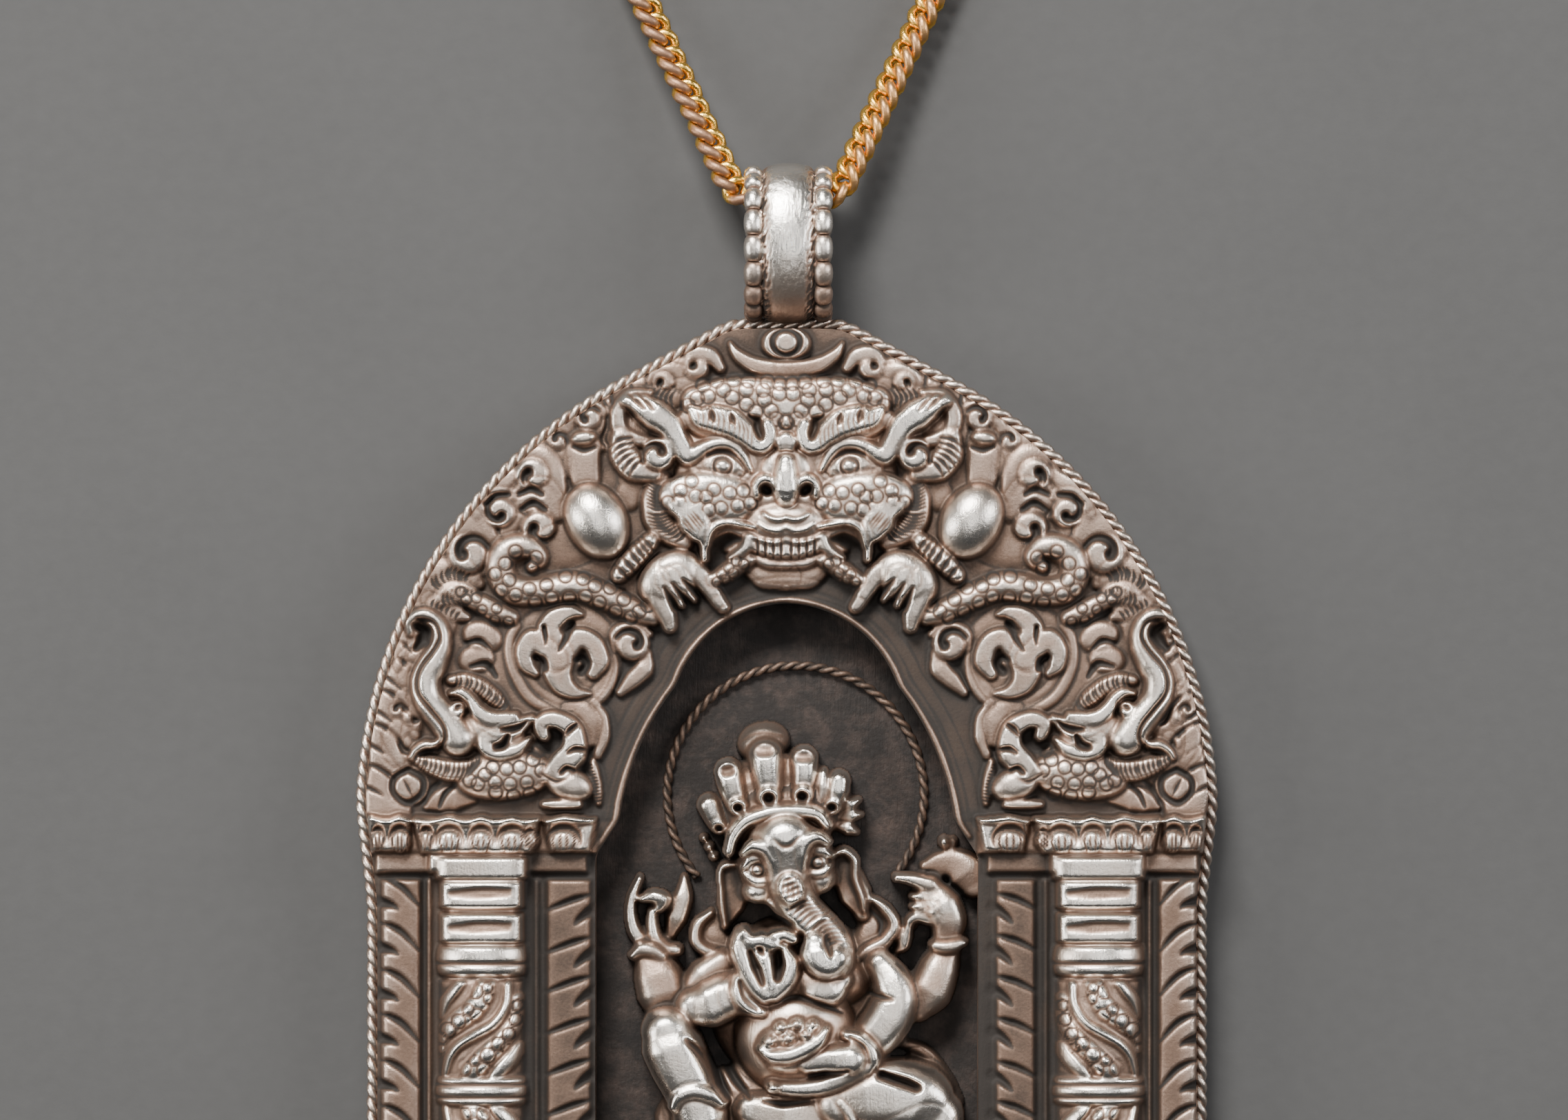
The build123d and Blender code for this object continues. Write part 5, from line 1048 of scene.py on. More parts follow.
    ("lay", "crown tube A", 2, 1.5, 3.6, (0.96, 0.98, 0.92, 0.84), (-3.79, 5.56), (-3.61, 4.89),
     (-3.44, 4.27), (-3.19, 3.65)),
    ("lay", "crown tube D", 1.9, 1.6, 3.6, (0.96, 0.96, 0.88), (1.11, 6.4), (1.11, 5.51), (1.04, 4.62)),
    ("lay", "crown tube B", 2.4, 1.6, 3.6, (1.09, 1.07, 1.01, 0.94), (-1.38, 6.66), (-1.31, 5.95),
     (-1.24, 5.33), (-1.16, 4.71)),
    ("carve", "tube end A", 0.4, (0.43, 0.43), (-4, 5.67), (-3.65, 5.74)),
    ("carve", "tube end B", 0.4, (0.5, 0.5), (-1.73, 7.02), (-1.13, 7.05)),
    ("carve", "tube end D", 0.4, (0.46, 0.46), (0.82, 6.63), (1.46, 6.63)),
    ("lay", "filler 1", 1.7, 1.2, 3.6, (0.29, 0.46, 0.42), (-2.67, 5.6), (-2.46, 4.89), (-2.26, 4.09)),
    ("lay", "filler 2", 1.7, 1.2, 3.6, (0.29, 0.46, 0.42), (-0.1, 6.48), (-0.06, 5.42), (-0.05, 4.36)),
    ("lay", "filler 3", 1.7, 1.2, 3.6, (0.34, 0.5, 0.46), (2.38, 5.6), (2.31, 4.71), (2.17, 3.82)),
    ("lay", "fan 1", 1.2, 1, 3.6, (0.34, 0.54, 0.29), (3.45, 3.11), (4.16, 3.47), (4.66, 3.73)),
    ("lay", "fan 2", 1.1, 1, 3.6, (0.34, 0.54, 0.29), (3.45, 2.58), (4.25, 2.72), (4.78, 2.76)),
    ("lay", "fan 3", 1, 1, 3.6, (0.34, 0.54, 0.29), (3.27, 2.05), (3.98, 1.87), (4.51, 1.61)),
    ("dome", "pearl 1", 0.7, 0.9, 2, (0.35, 0.35), (-5.39, 1.25), 0),
    ("dome", "pearl 2", 0.8, 0.9, 2, (0.39, 0.39), (-5.03, 0.66), 0),
    ("dome", "pearl 3", 0.9, 0.9, 2, (0.39, 0.39), (-4.75, 0.06), 0),
    ("dome", "bead A", 3, 0.9, 2.3, (0.64, 0.64), (-3.12, 3.38), 0),
    ("dome", "bead B", 3.4, 0.9, 2.3, (0.78, 0.78), (-1.16, 4.04), 0),
    ("dome", "bead D", 3.1, 0.9, 2.3, (0.71, 0.71), (1.04, 4.14), 0),
    ("dome", "bead E", 2, 0.9, 2.3, (0.57, 0.57), (-4.36, 2.01), 0),
    ("dome", "bead F", 2.4, 0.9, 2.3, (0.6, 0.6), (2.95, 3.38), 0),
    ("carve", "bore A", 1.2, (0.34, 0.34), (-3.19, 3.29), (-3.12, 3.27)),
    ("carve", "bore B", 1.2, (0.43, 0.43), (-1.2, 3.93), (-1.13, 3.91)),
    ("carve", "bore D", 1.2, (0.39, 0.39), (0.97, 4.04), (1.04, 4.02)),
    ("carve", "bore E", 1.1, (0.28, 0.28), (-4.41, 1.91), (-4.36, 1.89)),
    ("carve", "bore F", 1.1, (0.32, 0.32), (2.88, 3.29), (2.95, 3.27)),
    ("dome", "head", 1.8, 2.2, 2.4, (3.11, 3.11), (-0.06, -0.29), 0),
    ("dome", "forehead", 3.3, 1.25, 2.6, (2.52, 1.49), (0.01, 1.2), -6),
    ("dome", "cheek left", 2.3, 1.2, 2.2, (1.06, 0.92), (-1.84, -2.12), 0),
    ("dome", "cheek right", 2.3, 1.3, 2.2, (1.1, 1.1), (2.07, -1.32), 0),
    ("lay", "crown band", 3.3, 0.9, 3.6, (0.42, 0.46, 0.5, 0.54, 0.54, 0.5, 0.38), (-3.74, 0.45),
     (-3.44, 1.52), (-2.67, 2.44), (-1.34, 2.94), (0.26, 3.11), (1.85, 2.97), (2.6, 2.19)),
    ("carve", "eye socket left", 0.6, (0.39, 0.64, 0.39), (-2.67, -0.88), (-1.96, -0.7), (-1.25, -0.97)),
    ("carve", "eye socket right", 0.6, (0.39, 0.6, 0.39), (1.32, -0.44), (1.94, -0.12), (2.6, -0.17)),
    ("dome", "eye left", 3.35, 0.5, 2.2, (0.75, 0.53), (-1.91, -0.7), -8),
    ("dome", "eye right", 3.45, 0.5, 2.2, (0.75, 0.53), (1.99, -0.19), 8),
    ("scales", "pupil left", 0.35, (-1.87, -0.7)),
    ("lay", "lid left", 3.6, 0.35, 3.6, (0.21, 0.38, 0.38, 0.21), (-2.87, -0.58), (-2.32, 0.03),
     (-1.55, 0.06), (-0.88, -0.58)),
    ("lay", "under lid left", 3.4, 0.3, 3.6, (0.17, 0.27, 0.27, 0.17), (-2.8, -0.93), (-2.23, -1.41),
     (-1.52, -1.45), (-0.88, -0.93)),
    ("scales", "pupil right", 0.35, (1.96, -0.22)),
    ("lay", "lid right", 3.7, 0.35, 3.6, (0.21, 0.38, 0.38, 0.21), (1, -0.12), (1.53, 0.49),
     (2.3, 0.56), (2.92, 0.17)),
    ("lay", "under lid right", 3.5, 0.3, 3.6, (0.17, 0.27, 0.27, 0.17), (1.04, -0.52), (1.67, -0.93),
     (2.38, -0.86), (2.88, -0.44)),
    ("lay", "trunk", 3.3, 1.7, 3.6, (2.01, 1.76, 1.38, 1.3, 1.3, 1.21, 1.17, 1.13, 1.05), (-0.06, 0.98),
     (-0.03, 0.35), (0.04, -0.79), (0.29, -2.03), (0.88, -3.19), (1.76, -4.07), (2.6, -4.87),
     (3.18, -5.85), (3.27, -6.65)),
    ("dome", "trunk pad", 4.75, 0.5, 3, (0.89, 1.1), (0.26, -1.89), 15),
    ("ribs", "pad hatch", 0.36, 0.14, 4, [(-0.45, -1.32), (-0.1, -2.74)], [(0.61, -0.93), (1.11, -2.3)], 0),
    ("ribs", "pad hatch 2", 0.36, 0.14, 4, [(-0.28, -1.14), (0.79, -1.14)], [(-0.37, -2.39),
     (1.05, -2.65)], 0),
    ("ribs", "trunk ribs", 0.35, 0.18, 11, [(-0.1, -3.27), (1.5, -4.69), (2.47, -5.94)], [(1.5, -2.48),
     (3.09, -3.81), (3.98, -5.58)], 0.12),
    ("lay", "brow left", 4, 0.85, 3.6, (0.25, 0.46, 0.5, 0.42, 0.21), (-2.94, 0.35), (-2.19, 0.88),
     (-1.34, 0.66), (-0.88, -0.12), (-0.77, -0.93)),
    ("lay", "brow right", 4.1, 0.85, 3.6, (0.25, 0.46, 0.5, 0.42, 0.21), (2.77, 1.06), (1.96, 1.48),
     (1.25, 1.16), (0.97, 0.27), (1, -0.61)),
    ("carve", "brow part", 0.18, (0.07, 0.14, 0.14, 0.07), (-0.88, 1.34), (-0.28, 0.88), (0.29, 0.95),
     (0.79, 1.52)),
    ("lay", "trunk tip", 3.6, 1.55, 3.6, (0.96, 1.13, 1.17, 1.13, 0.84), (3.18, -6.38), (2.7, -6.65),
     (2.17, -6.43), (1.89, -5.85), (1.82, -5.31)),
    ("carve", "trunk curl", 0.6, (0.09, 0.18, 0.14), (2.47, -4.96), (2.6, -5.49), (2.83, -6.11)),
    ("lay", "lip", 2.9, 0.7, 3.6, (0.25, 0.42, 0.38, 0.25), (-1.08, -2.83), (-0.45, -3.36),
     (0.26, -3.72), (0.79, -3.84)),
    ("carve", "mouth", 0.9, (0.14, 0.28, 0.21), (-1.7, -3.27), (-0.81, -3.81), (0.26, -4.16)),
]


# front plate: torana, mask, beasts, capitals, pillars and plinth
def drawRow(sheet, row, axis=None):
    # one row of a table; with an axis it is drawn on the other side: x becomes 2 * axis - x
    kind, rest = row[0], row[2:]
    flip = (lambda p: (2 * axis(p[1]) - p[0], p[1])) if axis else (lambda p: p)
    hand = -1 if axis else 1
    if kind == "lay":
        lay(sheet, *rest[:4], *map(flip, rest[4:]))
    elif kind == "dome":
        level, height, crown, size, place, turn = rest
        dome(sheet, level, height, crown, size, flip(place), hand * turn)
    elif kind == "smudge":
        # a smudge only darkens the patina along a line: painted shade on the ears, tone elsewhere
        carve(sheet, 0, rest[1], *map(flip, rest[2:]), darkening=rest[0])
    elif kind == "carve":
        carve(sheet, rest[0], rest[1], *map(flip, rest[2:]))
    elif kind == "scroll":
        level, height, radius, place, start, way = rest
        scroll(sheet, level, height, radius, flip(place), 180 - start if axis else start, hand * way)
    elif kind == "ribs":
        depth, width, count, sideA, sideB, bow = rest
        ribs(sheet, depth, width, count, [*map(flip, sideA)], [*map(flip, sideB)], hand * bow)
    elif kind == "scales":
        scales(sheet, rest[0], *map(flip, rest[1:]))


def toranaAxis(y):
    # the two halves were cut one by one: their middle wanders a little from top to bottom
    return float(np.interp(y, plateStyle["axisHeights"], plateStyle["axisPlaces"]))


def drawPillar(sheet, side):
    # turned half column: across each band the height is rise * (1 - q^crown)^(1 / crown), where q
    # is the distance from its middle over its half width; everything comes again in a mirror below
    s = pillarStyle
    middle, half = side * s["centre"][side], s["half"]
    x, y = sheet["x"][None, :], sheet["y"][:, None]
    across = np.abs(x - middle)
    mirrored = lambda level: 2 * s["mirror"] - level
    for top, bottom, share, rise, crown, bulge in s["bands"]:
        for high, low in ((top, bottom), (mirrored(bottom), mirrored(top))):
            t = np.clip((y - low) / (high - low), 0, 1)
            width = half * (share + bulge * halfRound(2 * t - 1))
            q = np.clip(across / width, 0, 1)
            edge = np.clip(np.minimum(y - low, high - y) / s["bandEdge"], 0, 1)
            tall = rise * (0.86 + 0.14 * np.sqrt(edge)) * (width / (half * (share + bulge)))
            inside = (y >= low) & (y <= high) & (across < width)
            raiseTo(sheet, tall * (1 - q**crown) ** (1 / crown), inside)
            sheet["mark"][inside] = 0
    # wound section: smooth and scaled rolls are drawn flat, then bent round the column
    for turned in (lambda level: level, mirrored):
        place = lambda p: (middle - side * p[0], turned(p[1]))
        low, high = sorted(map(turned, s["spiral"]))
        first, last = (int((up - sheet["y"][0]) / sheet["cell"]) for up in (low, high))
        rows = slice(first, last + 1)
        h, mark = sheet["h"][rows], sheet["mark"][rows]
        flat = dict(sheet, y=sheet["y"][rows], h=np.zeros_like(h), mark=np.zeros_like(h))
        for rise, widths, *spots in s["rolls"]:
            lay(flat, 0.05, rise, 3.0, widths, *map(place, spots))
        for *spot, radius in s["rings"]:
            scales(flat, radius, place(spot), depth=0.12, swell=0.06, darkening=0.8)
        flat["mark"] *= flat["h"] > 0.12
        q = np.clip((x - middle) / (half * 0.95), -1, 1) * np.ones_like(h)
        along = np.clip((flat["y"][:, None] - low) / (high - low), 0, 1)
        bend = halfRound(q)
        waist = 0.74 + 0.12 * halfRound(2 * along - 1)
        np.copyto(h, s["rise"] * waist * bend + flat["h"] * (0.4 + 0.6 * bend), where=np.abs(q) < 1)
        np.copyto(mark, flat["mark"] + 0.22 * (flat["h"] < 0.05), where=np.abs(q) < 1)
    for level in s["grooves"]:
        for up in (level, mirrored(level)):
            carve(sheet, 0.28, (0.13, 0.13), (middle - half, up), (middle + half, up))
    left, right = middle - 0.72 * half, middle + 0.66 * half
    for level in s["slits"]:
        for up in (level, mirrored(level)):
            carve(sheet, 0.16, (0.2, 0.26, 0.26, 0.2),
                  (left + 0.1, up), (middle, up + 0.03), (right - 0.1, up + 0.03))
            for depth, widths, rises in s["slitLips"]:
                across = (left, middle - 0.5, middle + 0.6, right)
                carve(sheet, depth, widths, *[(px, up + rise) for px, rise in zip(across, rises)])


rimLeafStyle = {
    "inset": 2.15, "from": 6.8, "to": 3.0, "level": 0.15, "height": 0.55, "half": 1.6, "pitch": 2.3,
    "cuts": [
        # depth, half widths, then places: out towards the border and ahead along it
        (0.5, (0.07, 0.11, 0.15, 0.24, 0.16),
         (1.7, -0.9), (0.8, -0.75), (-0.1, -0.25), (-0.75, 0.5), (-1.25, 0.55)),
        (0.35, (0.12, 0.10, 0.03), (1.6, 0.5), (0.9, 0.75), (0.2, 1.05)),
    ],
}


def drawRimLeaves(sheet, side, dice):
    # a bed of flat leaves along the border, parted by bowed cuts that run in from the edge
    s = rimLeafStyle
    line = movedIn(borderLine(), s["inset"])
    line = line[(line[:, 0] > s["from"]) & (line[:, 1] > s["to"])]
    line = line[np.argsort(-line[:, 1])]
    run = runAlong(line)
    at = lambda d: np.array([np.interp(d, run, line[:, k]) for k in (0, 1)])
    spots = [at(d) for d in np.linspace(0, run[-1], 26)]
    widths = tuple(s["half"] * dice.uniform(0.85, 1.1, 26))
    lay(sheet, s["level"], s["height"], 6, widths, *onSide(spots, side))
    for d in np.arange(1.2, run[-1], s["pitch"]):
        here, ahead = at(d + dice.uniform(-0.3, 0.3)), at(d + 0.5) - at(d - 0.5)
        ahead /= np.linalg.norm(ahead)
        out = np.array([-ahead[1], ahead[0]])
        for depth, widths, *way in s["cuts"]:
            carve(sheet, depth, widths, *onSide([here + out * a + ahead * b for a, b in way], side))


def drawLeafStrips(sheet, side, dice):
    # flat strips beside the column, the two wide ones cut into slanted leaves one above another
    s = pillarStyle
    top, bottom = s["stripTop"], s["stripBottom"]
    x, y = sheet["x"][None, :], sheet["y"][:, None]
    run = (y < top) & (y > bottom)
    strips = s["strips"][side]
    for low, high, rise in strips:
        middle, half = side * (low + high) / 2, (high - low) / 2
        q = np.clip(np.abs(x - middle) / half, 0, 1)
        raiseTo(sheet, rise * (1 - q**6) ** 0.5, run & (q < 1))
    for (*edges, _), (start, pitch, cuts) in zip(strips, s["leaves"]):
        for level in np.arange(top - start, bottom, -pitch):
            up = level + dice.uniform(-0.12, 0.12)
            for depth, widths, *spots in cuts:
                spots = [(edges[edge] + across, up + rise) for edge, across, rise in spots]
                carve(sheet, depth, widths, *onSide(spots, side))


def drawPetal(sheet, place, half, tall, rise):
    # an arch sunk below the lip, with a raised tongue in it that is cut by upright strokes
    x, y = place
    rows, cols, gx, gy = cellsNear(sheet, np.array([place], float), max(half, tall) + 0.3)
    q = np.hypot((gx - x) / half, (gy - y) / np.where(gy > y, tall, 0.95 * tall))
    sunk = np.clip((1 - q) / 0.14, 0, 1)
    area, mark = sheet["h"][rows, cols], sheet["mark"][rows, cols]
    np.copyto(area, np.minimum(area, rise - 0.42 * sunk), where=sunk > 0)
    np.maximum(mark, 0.36 * sunk, out=mark)
    dome(sheet, rise - 0.35, 0.42, 3.0, (0.83 * half, 0.76 * tall), (x, y - 0.24 * tall), ditch=0.1)
    for k in np.linspace(-1, 1, 4):
        foot = (x + 0.42 * k * half, y - 0.86 * tall)
        waist = (x + 0.58 * k * half, y - 0.25 * tall)
        head = (x + 0.50 * k * half, y + (0.34 - 0.12 * k * k) * tall)
        carve(sheet, 0.12, (0.03, 0.07, 0.075, 0.04), foot, waist, head, darkening=0.85)


def drawCapital(sheet, side):
    # three blocks of hatched petals over a slab
    s = capitalStyle
    out, y = side * sheet["x"][None, :], sheet["y"][:, None]
    for left, right, bottom, top, rise, flare in s["bars"]:
        lean = flare * (1 - np.clip((y - bottom) / (top - bottom), 0, 1))
        edge = np.minimum(np.minimum(out - left - lean, right - out - lean), np.minimum(y - bottom, top - y))
        raiseTo(sheet, rise * (0.6 + 0.4 * roundedEdge(edge, 0.35)), edge > 0)
        sheet["mark"][edge > 0] = 0
    for place, half, tall, rise in s["petals"]:
        drawPetal(sheet, (side * place, s["petalBase"]), half, tall, rise)
    for level, *waves in s["lips"]:
        lay(sheet, level, 0.35, 3.0, (0.16, 0.24, 0.24, 0.16), *onSide(waves, side))


def drawPlinth(sheet):
    # stepped bar along the foot with upright petals
    s = plinthStyle
    x, y = sheet["x"][None, :], sheet["y"][:, None]
    for bottom, top, rise in s["steps"]:
        edge = np.minimum(np.minimum(y - bottom, top - y), s["reach"] - np.abs(x))
        raiseTo(sheet, rise * (0.5 + 0.5 * roundedEdge(edge, 0.3)), edge > 0)
    pitch = 2 * s["reach"] / s["petals"]
    tall, up = s["petalTall"], s["petalBase"]
    for k in range(s["petals"]):
        middle = (k + 0.5) * pitch - s["reach"]
        dome(sheet, 0.7, 0.75, 2.6, (0.46 * pitch, tall), (middle, up), ditch=0.25)
        angles = np.linspace(-0.2, math.pi + 0.2, 11)
        arch = [(middle + 0.36 * pitch * math.cos(a), up + 0.8 * tall * math.sin(a)) for a in angles]
        carve(sheet, 0.25, (0.05, 0.10, 0.05), *arch)
        for j in (-0.4, 0.0, 0.4):
            foot, head = (middle + 0.3 * j * pitch, up - 0.5), (middle + 0.42 * j * pitch, up + 0.5 * tall)
            carve(sheet, 0.2, (0.05, 0.12, 0.04), foot, head)


plateStyle = {
    "xRange": (-28.2, 28.2), "yRange": (-35.5, 35.6),
    "cell": 0.06,                      # mm between the drawn heights
    "face": 4.25,                      # flat of the plate above the floor
    "back": 3.15,
    "axisHeights": [12, 18, 22],
    "axisPlaces": [0.35, 0.10, -0.20],
    "maskMiddle": -0.04,
    "seed": 4,
    # patina: see darkness
    "base": 0.725, "rubbed": 0.31, "wear": 0.8, "lift": 0.6, "slopeShadeAndWear": 0.04, "deepest": -0.06, "darkest": 0.86,
    "darkening": 0.16, "innerSoot": 0.30, "outerSoot": 0.20, "archSoot": 0.14,
    # hollows: reach in mm, darkening per mm, most mm counted
    "hollows": [(0.10, 3.0, 0.10), (0.36, 0.5, 0.16), (1.3, 0.12, 0.4)],
    "rim": 0.19, "rimGap": 0.24,
    "archLines": [(0.95, 0.20), (1.75, 0.12)],    # gap from the niche, soot
    # points of the closed pieces
    "sectors": [("torana_right", 0, 64), ("torana_top", 64, 116), ("torana_left", 116, 180)],
    "sectorRows": 316, "sectorCols": 230,
    "pillarRows": 290, "pillarCols": 130,
    "plinthRows": 30, "plinthCols": 340, "plinthTop": -30.65,
}
pillarStyle = {
    "centre": {-1: 19.70, 1: 20.15}, "half": 2.9, "mirror": -14.95, "rise": 2.25, "bandEdge": 0.16,
    "bands": [
        # top, bottom, share of the half width, rise, crown, bulge
        (0.15, -1.30, 1.03, 1.95, 5.0, 0.00),
        (-1.20, -1.42, 0.84, 1.45, 3.0, 0.00),
        (-1.40, -3.20, 0.93, 2.00, 5.0, 0.00),
        (-3.15, -3.50, 0.82, 1.45, 3.0, 0.00),
        (-3.46, -5.42, 0.93, 2.05, 5.0, 0.00),
        (-5.35, -5.60, 0.82, 1.5, 3.0, 0.00),
        (-5.52, -7.56, 0.92, 2.25, 2.2, 0.10),
        (-7.50, -7.90, 0.84, 1.5, 2.2, 0.00),
        (-13.90, -14.10, 0.84, 1.5, 2.2, 0.00),
        (-14.02, -15.88, 0.93, 2.25, 2.2, 0.10),
    ],
    "spiral": (-7.82, -13.98),
    "rolls": [
        # height, half widths, then places across and up, from the column's middle
        (0.45, (0.33, 0.37, 0.36, 0.30), (-2.75, -10.04), (-2.38, -9.22), (-1.82, -8.55), (-1.3, -7.92)),
        (0.50, (0.43, 0.56, 0.64, 0.68, 0.67, 0.60),
         (-2.86, -12.41), (-2.56, -11.37), (-1.52, -10.41), (-0.48, -9.59), (0.11, -8.77), (0.37, -7.88)),
        (0.50, (0.25, 0.30, 0.31, 0.31, 0.28, 0.27, 0.22),
         (1.75, -8.03), (1.64, -9.37), (0.85, -10.56), (-0.33, -11.26), (-1.45, -11.97), (-2.08, -12.79),
         (-2.38, -13.83)),
        (0.50, (0.43, 0.48, 0.56, 0.64, 0.67, 0.60),
         (2.42, -9.0), (2.3, -10.26), (1.52, -11.49), (0.48, -12.49), (-0.33, -13.31), (-0.78, -14.01)),
        (0.40, (0.42, 0.48, 0.45, 0.37), (2.56, -12.19), (1.9, -12.93), (1.3, -13.53), (0.85, -14.01)),
    ],
    "rings": [
        # across, up, radius
        (-0.33, -8.48, 0.46), (0.41, -8.25, 0.33), (0.52, -8.96, 0.34), (-0.82, -9.66, 0.37),
        (-0.22, -10.04, 0.45), (-1.45, -10.41, 0.46), (-2.16, -11.02, 0.49), (-2.64, -11.56, 0.39),
        (-2.65, -12.27, 0.34), (2.34, -9.44, 0.36), (2.21, -10.33, 0.39), (1.78, -11.23, 0.40),
        (1.11, -11.86, 0.43), (1.58, -12.13, 0.31), (0.45, -12.58, 0.48), (-0.41, -12.93, 0.34),
        (-1.08, -13.46, 0.46), (0.19, -13.54, 0.45),
    ],
    "grooves": [-6.75, -14.55], "slits": [-2.22, -4.42],
    "slitLips": [
        # depth, half widths, how far above the slit
        (0.26, (0.05, 0.13, 0.13, 0.09), (0.1, 0.25, 0.27, 0.24)),
        (0.14, (0.05, 0.09, 0.09, 0.05), (-0.2, -0.23, -0.2, -0.16)),
    ],
    "stripTop": -1.35, "stripBottom": -29.4,
    "strips": {
        # inner edge, outer edge, rise: outer strip, inner strip, thin fillets
        -1: [(23.60, 26.25, 0.85), (12.60, 15.60, 0.8), (23.0, 23.3, 0.3), (16.05, 16.35, 0.3)],
        1: [(23.95, 26.55, 0.85), (13.45, 16.10, 0.8), (23.3, 23.6, 0.3), (16.6, 16.9, 0.3)],
    },
    "leaves": [
        # outer and inner strip: start below the top, pitch, cuts of depth, half widths and places,
        # each place from the strip's inner (0) or outer (1) edge, across and up
        (1.1, 2.95, [
            (0.50, (0.05, 0.15, 0.19, 0.16, 0.06),
             (1, 0.1, 1.25), (1, -0.7, 1.05), (1, -1.5, 0.55), (0, 0.15, -0.55)),
            (0.8, (0.40, 0.33, 0.18, 0.05),
             (1, 0.15, -0.30), (1, -0.35, -0.42), (1, -0.8, -0.55), (1, -1.15, -0.78)),
        ]),
        (1.6, 2.66, [
            (0.50, (0.05, 0.15, 0.19, 0.17, 0.07),
             (0, 0.05, 0.62), (0, 0.8, 0.42), (0, 1.5, 0.2), (1, 0.05, -0.42)),
            (0.8, (0.42, 0.34, 0.2, 0.05),
             (0, -0.1, -0.35), (0, 0.3, -0.55), (0, 0.8, -0.95), (0, 1.1, -1.3)),
        ]),
    ],
}
capitalStyle = {
    "bars": [
        # inner edge, outer edge, bottom, top, rise, how much each side leans in towards the bottom
        (12.3, 27.0, 0.30, 2.62, 0.7, 0.0),
        (12.25, 15.75, 0.42, 2.70, 1.55, 0.45),
        (15.9, 24.15, 0.36, 2.78, 2.0, 0.55),
        (24.2, 27.1, 0.45, 2.72, 1.6, 0.2),
        (12.9, 26.6, -0.95, 0.35, 0.6, 0.0),
        (17.0, 23.15, -0.90, 0.36, 1.5, 0.0),
    ],
    "petals": [
        # place, half width, half height, rise
        (14.4, 1.22, 0.98, 1.55), (16.5, 0.55, 0.75, 1.9), (17.72, 1.10, 0.98, 2.05),
        (19.72, 0.92, 0.98, 2.1), (21.75, 1.02, 0.98, 2.05), (23.25, 0.58, 0.9, 1.95),
        (24.95, 0.82, 0.95, 1.6), (26.4, 0.56, 0.85, 1.6),
    ],
    "petalBase": 1.36,
    "lips": [
        # level, then a wavy line above the arches
        (1.5, (12.4, 2.55), (13.2, 2.50), (14.4, 2.62), (15.6, 2.40)),
        (1.95, (16.0, 2.55), (16.9, 2.40), (17.7, 2.60), (18.75, 2.36), (19.7, 2.64), (20.7, 2.38),
         (21.75, 2.66), (22.9, 2.42), (24.0, 2.46)),
        (1.5, (24.3, 2.45), (25.0, 2.62), (25.8, 2.38), (26.9, 2.66)),
    ],
}
plinthStyle = {
    "reach": 25.8, "petals": 13, "petalBase": -32.6, "petalTall": 1.35,
    "steps": [(-34.1, -33.3, 1.55), (-33.3, -30.95, 0.85), (-31.15, -30.65, 1.45)],
}


# front plate: sheet, patina and the closed pieces cut from it
def darkness(sheet, height, style):
    # base + gain * how far a place lies under its neighbourhood, for several sizes of it, + slopeShadeAndWear
    # *
    #     # steepness + the sheet's mark - rubbed * height^wear: hollows go dark, high places are bright,
    #     steep sides darker
    dark = np.full(height.shape, style["base"])
    for reach, gain, cap in style["hollows"]:
        sunk = np.clip(soften(height, reach / sheet["cell"]) - height, -cap, cap)
        dark += gain * np.where(sunk > 0, sunk, style["lift"] * sunk)
    across, up = np.gradient(height, sheet["cell"])
    # painted shade: steep sides, such as the edges of round limbs, are darkened as if turned from the light;
    # they are also less rubbed
    dark += style["slopeShadeAndWear"] * np.minimum(np.hypot(across, up), 2.5)
    rubbed = style["rubbed"] * np.maximum(height, 0) ** style["wear"]
    return np.minimum(dark, style["darkest"]) + sheet["mark"] - rubbed


def archAround(niche, gap):
    # places along the arch, a gap outside the niche, from its left foot to its right one
    line = movedIn(niche, -gap)[niche[:, 1] > 0.4]
    return line[np.argsort(np.arctan2(line[:, 0], line[:, 1] - 2))][::12]


